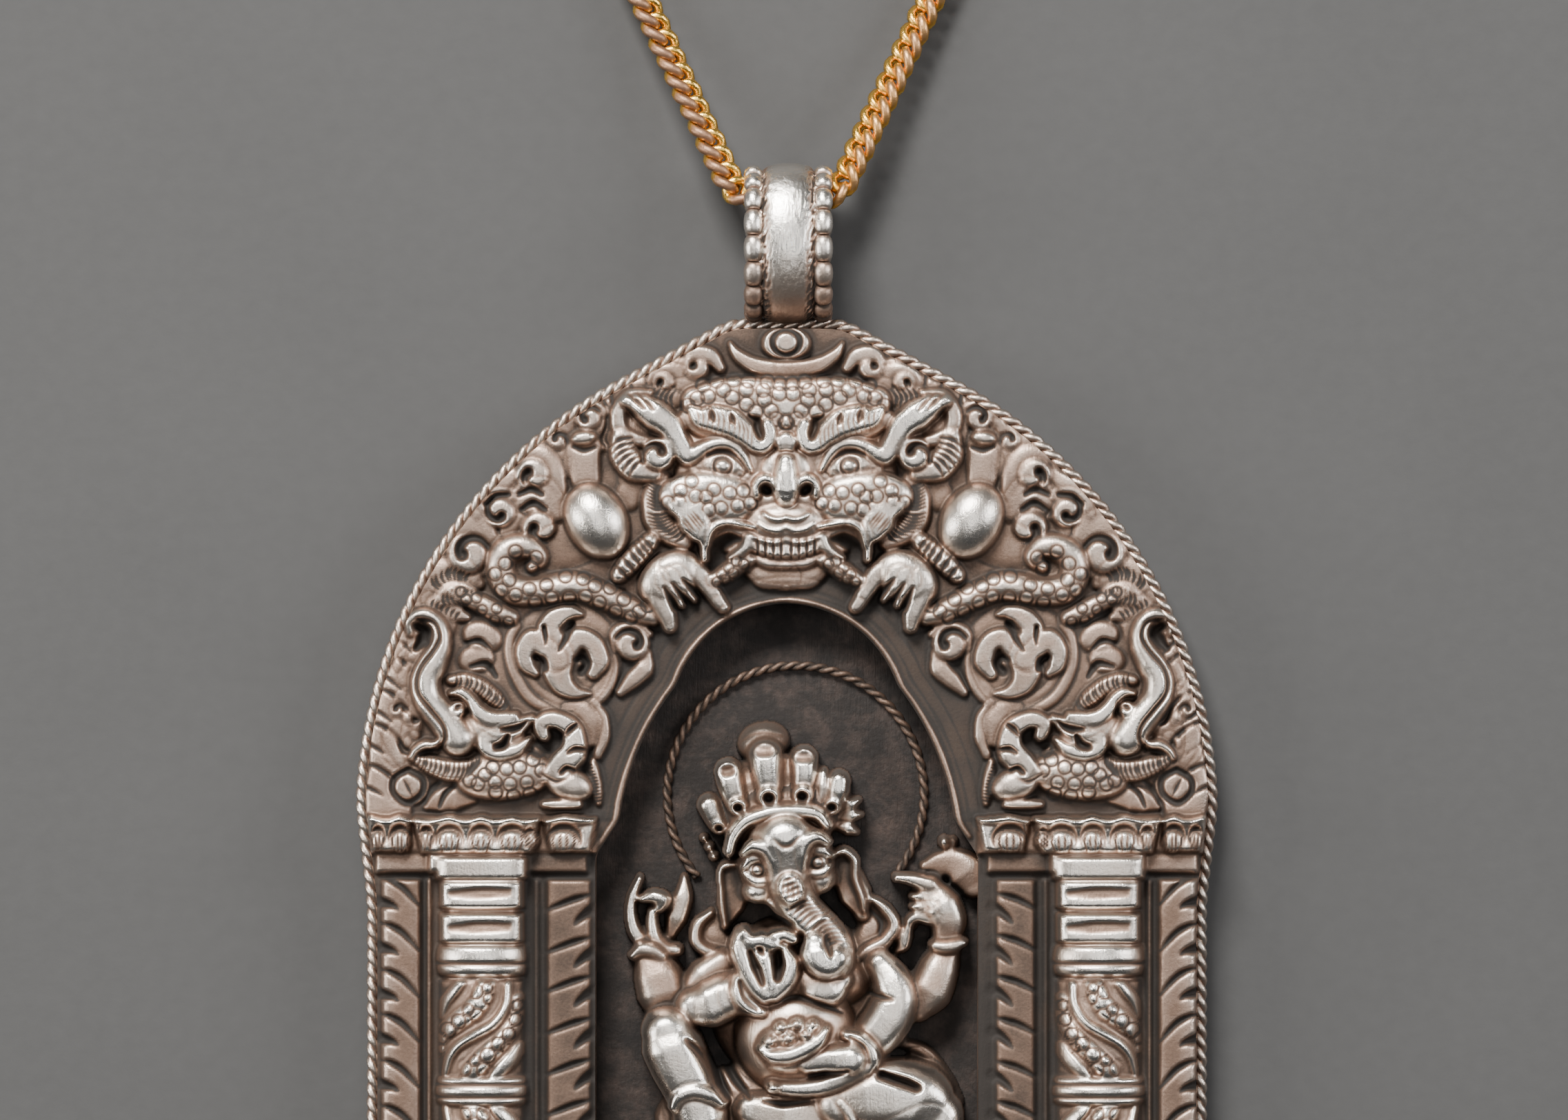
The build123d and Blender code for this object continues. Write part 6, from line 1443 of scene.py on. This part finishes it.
def frontSheet():
    # everything chased on the plate, one layer over another: heights in mm and patina from 0 to 1
    s = plateStyle
    sheet = makeSheet(s["xRange"], s["yRange"], s["cell"])
    dice = np.random.default_rng(s["seed"])
    for side in (-1, 1):
        drawRimLeaves(sheet, side, dice)
    for row in toranaRows:
        drawRow(sheet, row)
        drawRow(sheet, row, toranaAxis)
    for row in maskRows:
        drawRow(sheet, row)
        drawRow(sheet, row, lambda y: s["maskMiddle"])
    for side in (-1, 1):
        drawLeafStrips(sheet, side, dice)
        drawPillar(sheet, side)
        drawCapital(sheet, side)
    drawPlinth(sheet)
    # two faint dirty lines round the niche opening, and its worn rim inside them
    niche = nicheLine()
    for gap, darkening in s["archLines"]:
        widths = tuple(dice.uniform(0.04, 0.12, 24))
        carve(sheet, 0.05, widths, *map(tuple, archAround(niche, gap)), darkening=darkening)
    widths = tuple(s["rim"] * dice.uniform(0.75, 1.2, 24))
    lay(sheet, 0.05, 0.25, 2.2, widths, *map(tuple, archAround(niche, s["rimGap"])))
    height = soften(np.maximum(sheet["h"], s["deepest"]), 1)
    dark = darkness(sheet, height, s)
    # soot stays in the grooves beside the columns, and the inner strips are little rubbed
    x, y = np.abs(sheet["x"])[None, :], sheet["y"][:, None]
    lower = np.clip((-0.7 - y) / 0.3, 0, 1) * (x > 12) * (x < 26.9)
    slab = (y < 0.33) * (y > -1.0) * (x > 12.4) * (x < 16.95)
    darkening = s["darkening"] * np.clip(1 - height / 0.4, 0, 1) * (x < 22) + s["innerSoot"] * (x < 16.9)
    darkening = darkening + s["outerSoot"] * (x > 23.2) * np.clip((26.4 - x) / 1.2, 0, 1)
    dark = dark + lower * darkening + 0.22 * slab
    outside = (x / 14.2) ** 2 + ((y - 2.4) / 17.6) ** 2 - 1
    archBand = np.clip(1 - np.maximum(outside, 0) / 0.12, 0, 1) * (y > 2.4)
    dark = dark + s["archSoot"] * archBand * np.clip(1 - height / 0.3, 0, 1)
    return sheet, height, np.clip(dark, 0, 1)


def platePiece(name, x, y, sheet, height, dark, material):
    # closed piece of the plate: its face lies at face level + the height drawn there
    top = np.stack([x, y, plateStyle["face"] + readSheet(sheet, height, x, y)], -1)
    places, faces, sharp = closedPlate(top, plateStyle["back"])
    patina = readSheet(sheet, dark, x, y).reshape(-1)
    patina = np.concatenate([patina, np.full(len(places) - len(patina), 0.9)])
    piece = makePiece(name, places, turnOut(places, faces), material, patina, sharp)
    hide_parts("front_plate")


def buildFrontPlate(material):
    # sectors of the arch from the niche out to the border, then the two legs and the foot bar
    s, c = plateStyle, caseStyle
    sheet, height, dark = frontSheet()
    print("front sheet drawn", height.shape, round(float(height.max()), 2))
    border, niche = movedIn(borderLine(), c["plateMargin"]), nicheLine()
    middle = np.array([0.0, c["capitalTop"]])
    for name, start, end in s["sectors"]:
        angles = np.radians(np.linspace(start, end, s["sectorRows"]))[:, None]
        inner, outer = radiusAt(niche, middle, angles), radiusAt(border, middle, angles)
        far = inner + (outer - inner) * np.linspace(0, 1, s["sectorCols"])[None, :]
        x, y = middle[0] + far * np.cos(angles), middle[1] + far * np.sin(angles)
        platePiece(name, x, y, sheet, height, dark, material)
    flank = border[border[:, 0] > 20]
    y = np.linspace(s["plinthTop"], c["capitalTop"], s["pillarRows"])[:, None]
    inner = edgeAt(niche[np.abs(niche[:, 1] + 15) < 20], np.clip(y, -29.5, 3))
    inner = np.where(y < -30, c["nicheHalf"], inner)
    outer = edgeAt(flank, y)
    share = np.linspace(0, 1, s["pillarCols"])[None, :]
    for name, side in (("pillar_left", -1), ("pillar_right", 1)):
        x = side * (inner + (outer - inner) * share)
        platePiece(name, x, y + 0 * share, sheet, height, dark, material)
    y = np.linspace(-(c["halfHeight"] - c["plateMargin"]), s["plinthTop"], s["plinthRows"])[:, None]
    share = np.linspace(-1, 1, s["plinthCols"])[None, :]
    platePiece("plinth_bar", edgeAt(flank, y) * share, y + 0 * share, sheet, height, dark, material)


# case: back, side wall, niche lining, ropes and bail
ropeStyle = {
    "strand": 0.27, "offset": 0.18, "pitch": 1.75, "sides": 8, "steps": 10,
    "level": 2.7, "inset": 0.4,
    "haloMiddle": (0.58, 4.05), "haloRadius": 8.37, "haloOpening": 100, "haloLevel": 1.08,
    "haloStrand": 0.19, "haloOffset": 0.13, "haloPitch": 1.7, "haloSides": 8, "haloSteps": 12,
}


def ringWall(line, thick, low, high):
    # upright wall of even thickness inside a closed line
    inside = movedIn(line, thick)
    corners = [(line, low), (line, high), (inside, high), (inside, low)]
    edges = [np.column_stack([edge, np.full(len(edge), level)]) for edge, level in corners]
    places = np.stack(edges, 1).reshape(-1, 3)
    return places, turnOut(places, [gridFaces(len(line), 4, wrapRows=True, wrapCols=True)])


def twistedRope(line, closed, strand, offset, pitch, sides, steps):
    # two round strands wound about the line: each lies at offset from it, half a turn apart
    whole = np.vstack([line, line[:1]]) if closed else line
    run = runAlong(whole)
    turns = max(round(run[-1] / pitch), 1)
    at = np.linspace(0, run[-1], turns * steps + 1)
    way = np.stack([np.interp(at, run, whole[:, k]) for k in range(3)], 1)
    if closed:
        way, at = way[:-1], at[:-1]
        ahead = np.roll(way, -2, 0) - np.roll(way, 2, 0)
    else:
        ahead = np.gradient(way, axis=0)
    ahead /= np.linalg.norm(ahead, axis=1)[:, None]
    side = np.cross(ahead, (0.0, 0.0, 1.0))
    up = np.cross(side, ahead)
    parts = []
    for half in (0, math.pi):
        angle = (2 * math.pi * turns * at / run[-1] + half)[:, None]
        wound = way + offset * (np.cos(angle) * side + np.sin(angle) * up)
        parts.append(tubeAlong(wound, strand, sides, closed=closed))
    return parts


def buildCase(silver, floor):
    # every part follows the border or the niche outline, moved in or out by its own distance
    s, c = ropeStyle, caseStyle
    border, niche = evenly(borderLine(), 0.4), evenly(nicheLine(), 0.3)
    outer = movedIn(border, c["wallInset"])
    # back plate: rings shrinking towards the middle, above and below
    n, count = c["backRings"], len(outer)
    shares = np.concatenate([np.linspace(1, 0.1, n), np.linspace(0.1, 1, n)])
    levels = np.concatenate([np.full(n, c["back"]), np.full(n, 0.0)])
    flat = outer[None] * shares[:, None, None]
    rings = np.concatenate([flat, np.broadcast_to(levels[:, None, None], (2 * n, count, 1))], -1)
    places = rings.reshape(-1, 3)
    index = np.arange(2 * n * count).reshape(2 * n, count)
    # its two sides are capped at the middle, so nothing joins the innermost rings
    around = gridFaces(2 * n, count, wrapCols=True)
    around = np.vstack([around[:(n - 1) * count], around[n * count:]])
    rim = np.stack([index[-1], index[0], np.roll(index[0], -1), np.roll(index[-1], -1)], -1)
    faces = [around, rim[:, ::-1], index[n - 1][None, :], index[n][::-1][None, :]]
    back = makePiece("case_back", places, turnOut(places, faces), floor, np.full(len(places), 0.5))
    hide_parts("case")
    outside = ringWall(outer, c["wall"], 0.02, c["depth"])
    lining = ringWall(movedIn(niche, -c["wall"]), c["wall"], 0.5, c["depth"])
    walls = joined([outside, lining])
    low = np.clip((walls[0][:, 2] - 0.3) / 2.5, 0, 1)
    wallPiece = makePiece("case_walls", *walls, silver, 0.75 - 0.25 * low, np.ones(len(walls[0]), bool))
    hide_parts("case")
    rope = movedIn(border, s["inset"])
    rope = np.column_stack([rope, np.full(len(rope), s["level"])])
    parts = twistedRope(rope, True, s["strand"], s["offset"], s["pitch"], s["sides"], s["steps"])
    dark = np.concatenate([ropeDark(p[0], rope, 0.26) for p in parts])
    piece = makePiece("border_rope", *joined(parts), silver, dark)
    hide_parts("case")
    # the halo wire lies on the niche floor, open at its foot
    angles = np.radians(np.linspace(-90 + s["haloOpening"] / 2, 270 - s["haloOpening"] / 2, 240))
    (x, y), r = s["haloMiddle"], s["haloRadius"]
    halo = np.column_stack([x + r * np.cos(angles), y + r * np.sin(angles), np.full(240, s["haloLevel"])])
    wires = [s["halo" + key] for key in ("Strand", "Offset", "Pitch", "Sides", "Steps")]
    parts = twistedRope(halo, False, *wires)
    dark = np.concatenate([ropeDark(p[0], halo, 0.46) for p in parts])
    piece = makePiece("halo_rope", *joined(parts), silver, dark)
    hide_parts("case")


def ropeDark(places, line, least):
    # dark near the rope's middle line, bright on its outside: 0.85 + least - 2 * distance
    line, far, block = line[::2], np.empty(len(places)), 4000
    for start in range(0, len(places), block):
        part = places[start:start + block]
        gap = part[:, None, :2] - line[None, :, :2]
        near = np.argmin((gap**2).sum(-1), 1)
        far[start:start + block] = np.linalg.norm(part - line[near], axis=1)
    return np.clip(0.85 + least - 2.0 * far, least, 0.9)


bailStyle = {
    "middleY": 39.8, "middleZ": 3.683, "long": 5.15, "round": 3.2, "width": 5.7, "wall": 1.2, "shift": 0.1,
    "rim": 1.2, "strapHalf": 2.45,
    "ridge": 0.50, "ridgeHalf": 1.6, "sunk": 0.45,
    "rows": 180, "cols": 62, "seed": 3,
    "beads": 17, "beadAcross": 0.64, "beadRings": 9, "beadSides": 12,
}


def buildBail(material):
    # oval strap round the chain: y = middle + (long + lift) * cos, z = middle + (round + lift) * sin,
    # where lift is a swelling middle between two sunk channels; its bead rims come after
    s = bailStyle
    angle = np.linspace(0, 2 * math.pi, s["rows"], endpoint=False)[:, None]
    u = np.linspace(-1, 1, s["cols"])
    half = s["width"] / 2
    across = u * s["strapHalf"]
    swell = s["ridge"] * halfRound(across / s["ridgeHalf"])
    rim = -0.12 * np.clip((np.abs(across) - (half - s["rim"])) / 0.2, 0, 1)
    dice = np.random.default_rng(s["seed"])
    pits = dice.normal(0, 1, (s["rows"], s["cols"]))
    pits = (pits + np.roll(pits, 1, 0) + np.roll(pits, 1, 1)) / 3
    channel = np.clip(1 - np.abs(np.abs(across) - 1.62) / 0.62, 0, 1)
    lift = -s["sunk"] + swell + rim + 0.05 * pits * (0.25 + channel)
    lift = np.broadcast_to(lift, (s["rows"], s["cols"]))
    outside = np.stack([np.broadcast_to(across + s["shift"], lift.shape),
                        s["middleY"] + (s["long"] + lift) * np.cos(angle),
                        s["middleZ"] + (s["round"] + lift) * np.sin(angle)], -1)
    back = across[::-1][None, ::6]
    inside = np.stack([np.broadcast_to(back + s["shift"], (s["rows"], back.shape[1])),
                       s["middleY"] + (s["long"] - s["wall"]) * np.cos(angle) + 0 * back,
                       s["middleZ"] + (s["round"] - s["wall"]) * np.sin(angle) + 0 * back], -1)
    grid = np.concatenate([outside, inside], 1)
    places = grid.reshape(-1, 3)
    faces = turnOut(places, [gridFaces(s["rows"], grid.shape[1], wrapRows=True, wrapCols=True)])
    dark = -0.06 + 0.62 * channel - 0.8 * pits * channel + 0.45 * (np.abs(across) > 1.9)
    # painted shade: the lower half, which curves back towards the case, is darkened, and the very top a
    # little; the sunk channels and rims keep real tarnish
    dark = dark + 0.62 * np.clip(0.05 - np.cos(angle), 0, 1) + 0.25 * np.clip(np.cos(angle) - 0.75, 0, 1)
    dark = np.concatenate([np.broadcast_to(dark, lift.shape), np.full((s["rows"], back.shape[1]), 0.7)], 1)
    piece = makePiece("bail_strap", places, faces, material, np.clip(dark, 0, 1).reshape(-1))
    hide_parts("case")
    # barrel beads: ovals, longer along the rim than across it
    parts, patina = [], []
    sideCount = s["beadSides"]
    t = np.linspace(0, math.pi, s["beadRings"])[1:-1]
    section = np.sin(t) ** 0.5
    n = len(t) * sideCount
    v = 2 * math.pi * np.arange(sideCount) / sideCount
    for side in (-1, 1):
        for k in range(s["beads"]):
            a = 2 * math.pi * (k + 0.5) / s["beads"]
            reach, depth = s["long"] - s["beadAcross"], s["round"] - s["beadAcross"]
            centre = np.array([s["shift"] + side * (half - s["beadAcross"] + 0.04),
                               s["middleY"] + reach * math.cos(a), s["middleZ"] + depth * math.sin(a)])
            along = np.array([0, -reach * math.sin(a), depth * math.cos(a)])
            step = 2 * math.pi / s["beads"] * np.linalg.norm(along)
            along /= np.linalg.norm(along)
            out = np.cross(along, (1.0, 0, 0))
            body = (centre + 0.53 * step * np.cos(t)[:, None, None] * along
                    + s["beadAcross"] * (section[:, None] * np.cos(v))[..., None] * np.array([1.0, 0, 0])
                    + s["beadAcross"] * (section[:, None] * np.sin(v))[..., None] * out)
            ends = np.stack([centre + 0.52 * step * along, centre - 0.52 * step * along])
            spots = np.vstack([body.reshape(-1, 3), ends])
            first, last = np.arange(sideCount), np.arange(sideCount) + n - sideCount
            blocks = [gridFaces(len(t), sideCount, wrapCols=True),
                      np.stack([np.roll(first, -1), first, np.full(sideCount, n)], -1),
                      np.stack([last, np.roll(last, -1), np.full(sideCount, n + 1)], -1)]
            parts.append((spots, turnOut(spots, blocks)))
            # painted shade: beads on the lower half darker; each bead also darker towards its ends, where it
            # meets the next
            shade = 0.04 + 0.75 * (1 - section) + 0.5 * max(0.05 - math.cos(a), 0)
            patina.append(np.concatenate([np.repeat(shade, sideCount), [1.0, 1.0]]))
    piece = makePiece("bail_beads", *joined(parts), material, np.concatenate(patina))
    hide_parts("case")


# chain and clasp
chainStyle = {
    "side": [
        # corners of the right half, from the bail to the clasp
        (3.3, 42.93, 3.683), (8.8, 54.6, 1.3), (19.4, 77.5, 1.08), (37.0, 113.0, 1.08),
        (51.0, 152.0, 1.08), (48.5, 191.0, 1.08), (29.0, 219.0, 1.08), (7.22, 230.5, 1.08),
    ],
    "mouthBend": 1.6, "pitch": 1.22, "halfLong": 0.92, "halfWide": 0.80, "wire": 0.33, "twist": -55,
    "around": 16, "sides": 6, "roll": -42, "seed": 11,
}


def filletLine(points, bends):
    # straight runs joined by round corners: each corner's arc touches both its runs
    line = [np.array(points[0], float)]
    for before, here, after, radius in zip(points, points[1:], points[2:], bends):
        before, here, after = (np.array(p, float) for p in (before, here, after))
        a, b = before - here, after - here
        a, b = a / np.linalg.norm(a), b / np.linalg.norm(b)
        half = math.acos(np.clip(a @ b, -1, 1)) / 2
        middle = here + radius / math.sin(half) * (a + b) / np.linalg.norm(a + b)
        first, second = here + radius / math.tan(half) * a, here + radius / math.tan(half) * b
        u = (first - middle) / radius
        w = second - middle
        w = w - (w @ u) * u
        w /= np.linalg.norm(w)
        for turn in np.linspace(0, math.pi - 2 * half, 40):
            line.append(middle + radius * (math.cos(turn) * u + math.sin(turn) * w))
    line.append(np.array(points[-1], float))
    return np.array(line)


def chainRoute():
    # the chain's middle line: each bend takes up 0.45 of its shorter run, but is tight in the bail
    s = chainStyle
    points = [(-x, y, z) for x, y, z in reversed(s["side"])] + s["side"]
    bends = []
    for before, here, after in zip(points, points[1:], points[2:]):
        a, b = np.subtract(here, before), np.subtract(after, here)
        turn = math.acos((a @ b) / (np.linalg.norm(a) * np.linalg.norm(b)))
        bends.append(0.45 * min(np.linalg.norm(a), np.linalg.norm(b)) / math.tan(turn / 2))
    mouth = len(s["side"]) - 2
    bends[mouth] = bends[mouth + 1] = s["mouthBend"]
    return filletLine(points, bends)


def buildChain(material):
    # curb links: an oval wire ring, its two ends turned opposite ways about its length so that
    # neighbours pass through each other
    s = chainStyle
    line = chainRoute()
    run = runAlong(line)
    count = int(run[-1] / s["pitch"])
    at = (np.arange(count) + 0.5) * run[-1] / count
    spot = lambda d: np.stack([np.interp(d, run, line[:, k]) for k in range(3)], -1)
    dice = np.random.default_rng(s["seed"])
    t = 2 * math.pi * np.arange(s["around"]) / s["around"]
    axial = s["halfLong"] * np.cos(t)
    lateral = s["halfWide"] * np.sin(t)
    swing = np.radians(s["twist"]) * np.cos(t)
    v = 2 * math.pi * np.arange(s["sides"]) / s["sides"]
    middle = spot(at)
    ahead = spot(np.minimum(at + 0.4, run[-1])) - spot(np.maximum(at - 0.4, 0))
    ahead /= np.linalg.norm(ahead, axis=1)[:, None]
    side = np.cross((0.0, 0.0, 1.0), ahead)
    side /= np.linalg.norm(side, axis=1)[:, None]
    up = np.cross(ahead, side)
    roll = np.radians(s["roll"] + dice.uniform(-5, 5, count))[:, None]
    side, up = side * np.cos(roll) + up * np.sin(roll), up * np.cos(roll) - side * np.sin(roll)
    # wire centre of every link, then a ring of points round it
    flat = (axial[None, :, None] * ahead[:, None]
            + (lateral * np.cos(swing))[None, :, None] * side[:, None]
            + (lateral * np.sin(swing))[None, :, None] * up[:, None])
    centre = middle[:, None] + flat
    tangent = np.roll(centre, -1, 1) - np.roll(centre, 1, 1)
    tangent /= np.linalg.norm(tangent, axis=-1)[..., None]
    out = flat - (flat * tangent).sum(-1)[..., None] * tangent
    out /= np.linalg.norm(out, axis=-1)[..., None]
    over = np.cross(tangent, out)
    section = np.cos(v)[:, None] * out[:, :, None] + 1.04 * np.sin(v)[:, None] * over[:, :, None]
    places = centre[:, :, None] + s["wire"] * section
    # brown wear on the rubbed flat tops, gilt down the sides, and painted shade darkening the undersides
    height = places[..., 2] - middle[:, None, None, 2]
    worn = np.where(middle[:, 0] < 0, 0.85, 0.5)[:, None, None]
    patina = 0.08 + worn * np.clip((height - 0.35) / 0.3, 0, 1) + 0.5 * np.clip((-0.25 - height) / 0.5, 0, 1)
    patina = np.clip(patina, 0, 1)
    ring = gridFaces(s["around"], s["sides"], wrapRows=True, wrapCols=True)
    n = s["around"] * s["sides"]
    flatPlaces = places.reshape(-1, 3)
    turned = turnOut(flatPlaces[:n] - flatPlaces[:n].mean(0), [ring])[0]
    faces = (turned[None] + (n * np.arange(count))[:, None, None]).reshape(-1, 4)
    piece = makePiece("necklace_chain", flatPlaces, [faces], material, patina.reshape(-1), slot="gilt")
    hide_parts("chain")
    print("chain links", count)


claspStyle = {
    "y": 230.5, "z": 1.32, "length": 9.0, "radius": 1.3, "eye": 1.0, "wire": 0.3,
    "rings": [3.3, 2.7], "steps": 61, "sides": 28, "eyeSteps": 40, "eyeSides": 10,
}


def buildClasp(material):
    # turned barrel: radius along its length, with rings near both ends; an eye soldered to each end
    s = claspStyle
    x = np.linspace(-s["length"] / 2, s["length"] / 2, s["steps"])
    u = np.abs(x) / (s["length"] / 2)
    radius = s["radius"] * (0.86 + 0.10 * np.cos(u * math.pi / 2)) * np.clip((1 - u) / 0.10, 0.12, 1) ** 0.5
    for place in s["rings"]:
        radius = radius + 0.10 * np.exp(-(((np.abs(x) - place) / 0.16) ** 2))
    radius = radius - 0.06 * np.exp(-((x / 0.12) ** 2))
    line = np.column_stack([x, np.full(s["steps"], s["y"]), np.full(s["steps"], s["z"])])
    parts = [tubeAlong(line, radius, s["sides"])]
    t = np.linspace(0, 2 * math.pi, s["eyeSteps"], endpoint=False)
    for side in (-1, 1):
        across = side * (s["length"] / 2 + s["eye"]) + s["eye"] * np.cos(t)
        ring = np.column_stack([across, s["y"] + s["eye"] * np.sin(t), np.full(s["eyeSteps"], s["z"])])
        parts.append(tubeAlong(ring, s["wire"], s["eyeSides"], closed=True))
    places, faces = joined(parts)
    piece = makePiece("clasp_barrel", places, faces, material, np.full(len(places), 0.15), slot="gilt")
    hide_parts("clasp")


# figure and lotus seat
figureStyle = {
    "cell": 0.074, "low": 0.85, "stretch": 1.25, "xRange": (-11.6, 12.9), "yRange": (-20.6, 9.3),
    "base": 0.64, "rubbed": 0.20, "wear": 0.5, "lift": 0.6, "slopeShadeAndWear": 0.09, "darkest": 0.95,
    "hollows": [(0.14, 2.0, 0.14), (0.5, 0.40, 0.4), (1.6, 0.14, 1.0)],
}
seatStyle = {
    "cell": 0.14, "low": 0.85, "half": 10.3, "margin": 0.4, "top": -20.42, "bottom": -30.48, "waist": -25.45,
    "rise": 3.1, "most": 4.34, "petals": 7,
    "base": 0.42, "rubbed": 0.02, "wear": 0.5, "lift": 0.5, "slopeShadeAndWear": 0.05, "darkest": 0.95,
    "hollows": [(0.2, 1.6, 0.3), (0.6, 0.7, 0.5)],
}


def cutFromSheet(name, sheet, height, dark, low, inside, material, node):
    # keep the sheet's faces where inside is true, at low + height, with walls down from their rim
    # and one filled face under them
    rows, cols = height.shape
    x, y = np.meshgrid(sheet["x"][:cols], sheet["y"][:rows])
    x, y = x.reshape(-1), y.reshape(-1)
    quads = gridFaces(rows, cols)
    quads = quads[inside.reshape(-1)[quads].all(1)]
    # of single cells that only touch at a corner none is kept
    for _ in range(3):
        full = np.zeros((rows - 1, cols - 1), bool)
        full.reshape(-1)[quads[:, 0] // cols * (cols - 1) + quads[:, 0] % cols] = True
        corner = np.zeros((rows, cols), bool)
        a, b, c, d = full[:-1, :-1], full[:-1, 1:], full[1:, :-1], full[1:, 1:]
        corner[1:-1, 1:-1] = (a & d & ~b & ~c) | (b & c & ~a & ~d)
        quads = quads[~corner.reshape(-1)[quads].any(1)]
    # an edge that no neighbour runs back along belongs to the rim
    ends = np.stack([quads, np.roll(quads, -1, 1)], -1).reshape(-1, 2)
    codes, back = ends[:, 0] * rows * cols + ends[:, 1], ends[:, 1] * rows * cols + ends[:, 0]
    starts, stops = ends[~np.isin(codes, back)].T
    used = np.unique(quads)
    number = np.full(rows * cols, -1)
    number[used] = np.arange(len(used))
    top = np.column_stack([x, y, low + height.reshape(-1)])[used]
    rim = np.unique([starts, stops])
    below = np.full(rows * cols, -1)
    below[rim] = len(used) + np.arange(len(rim))
    foot = np.column_stack([x[rim], y[rim], np.full(len(rim), low)])
    top[number[rim], 2] = np.maximum(top[number[rim], 2], low + 0.02)
    places = np.vstack([top, foot])
    walls = np.stack([number[stops], number[starts], below[starts], below[stops]], -1)
    # the flat underside, filled inside its rim
    flat = bmesh.new()
    spots = [flat.verts.new(p) for p in foot]
    rimEnds = np.stack([below[stops], below[starts]], 1) - len(used)
    edges = [flat.edges.new((spots[a], spots[b])) for a, b in rimEnds]
    flat.verts.index_update()
    bmesh.ops.triangle_fill(flat, use_beauty=False, use_dissolve=False, edges=edges)
    under = np.array([[v.index for v in face.verts] for face in flat.faces]) + len(used)
    flat.free()
    p = places[under]
    down = np.cross(p[:, 1] - p[:, 0], p[:, 2] - p[:, 0])[:, 2] < 0
    under[~down] = under[~down][:, ::-1]
    patina = np.concatenate([dark.reshape(-1)[used], np.full(len(rim), 0.95)])
    piece = makePiece(name, places, [number[quads], walls, under], material, patina)
    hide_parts(node)


def buildFigure(material):
    # its rows drawn one over another, stretched upwards and cut out where anything is drawn
    s = figureStyle
    sheet = makeSheet(s["xRange"], s["yRange"], s["cell"])
    for row in figureRows:
        drawRow(sheet, row)
    height = s["stretch"] * soften(sheet["h"], 1)
    dark = np.clip(darkness(sheet, height, s), 0, 1)
    inside = soften((sheet["h"] > 0.05).astype(float), 1) > 0.2
    raised = np.maximum(height, 0.02)
    cutFromSheet("ganesha_figure", sheet, raised, dark, s["low"], inside, material, "ganesha")
    print("figure", height.shape, round(float(height.max()), 2))


def buildSeat(material):
    # two rows of petals, one up and one down, on a waisted block
    s = seatStyle
    reach = s["half"] + s["margin"]
    sheet = makeSheet((-reach, reach), (s["bottom"] - s["margin"], s["top"] + s["margin"]), s["cell"])
    x, y = sheet["x"][None, :], sheet["y"][:, None]
    run = np.clip((y - s["bottom"]) / (s["top"] - s["bottom"]), 0, 1)
    half = s["half"] * (0.955 + 0.045 * np.cos(4 * math.pi * run))
    edge = np.minimum(half - np.abs(x), np.minimum(y - s["bottom"], s["top"] - y))
    sheet["h"] = np.where(edge > 0, s["rise"] * (0.8 + 0.2 * np.sqrt(np.clip(edge / 0.8, 0, 1))), 0.0)
    pitch = 2 * s["half"] / s["petals"]
    for way in (1, -1):
        for k in range(s["petals"]):
            x, y = (k + 0.5 - s["petals"] / 2) * pitch * 0.94, s["waist"] + way * 2.3
            dome(sheet, 2.9, 1.2, 2.4, (0.47 * pitch, 2.3), (x, y))
            dome(sheet, 3.5, 0.8, 2.4, (0.30 * pitch, 1.6), (x, y - way * 0.2))
            carve(sheet, 0.35, (0.08, 0.14, 0.05), (x, y - way * 1.4), (x, y + way * 1.3))
    carve(sheet, 0.9, (0.3, 0.3), (-s["half"], s["waist"]), (s["half"], s["waist"]))
    height = np.clip(soften(sheet["h"], 1), 0.02, s["most"])
    dark = np.clip(darkness(sheet, height, s), 0, 1)
    cutFromSheet("lotus_seat_petals", sheet, height, dark, s["low"], edge > 0, material, "lotus_seat")


# build it all
makeStage()
silver = patinaMaterial("silver rubbed bright", silverStops)
floorMetal = patinaMaterial(
    "blackened silver", floorStops, spread=0.9, scratch=1.0, grainScale=2600.0, blotchScale=700.0)
gilt = patinaMaterial("worn gilding", giltStops, spread=0.35)
print("stage and materials ready")
buildFrontPlate(silver)
print("front plate built")
buildCase(silver, floorMetal)
buildBail(silver)
print("case, ropes and bail built")
buildChain(gilt)
buildClasp(gilt)
buildFigure(silver)
buildSeat(silver)
print("chain, clasp, figure and seat built")
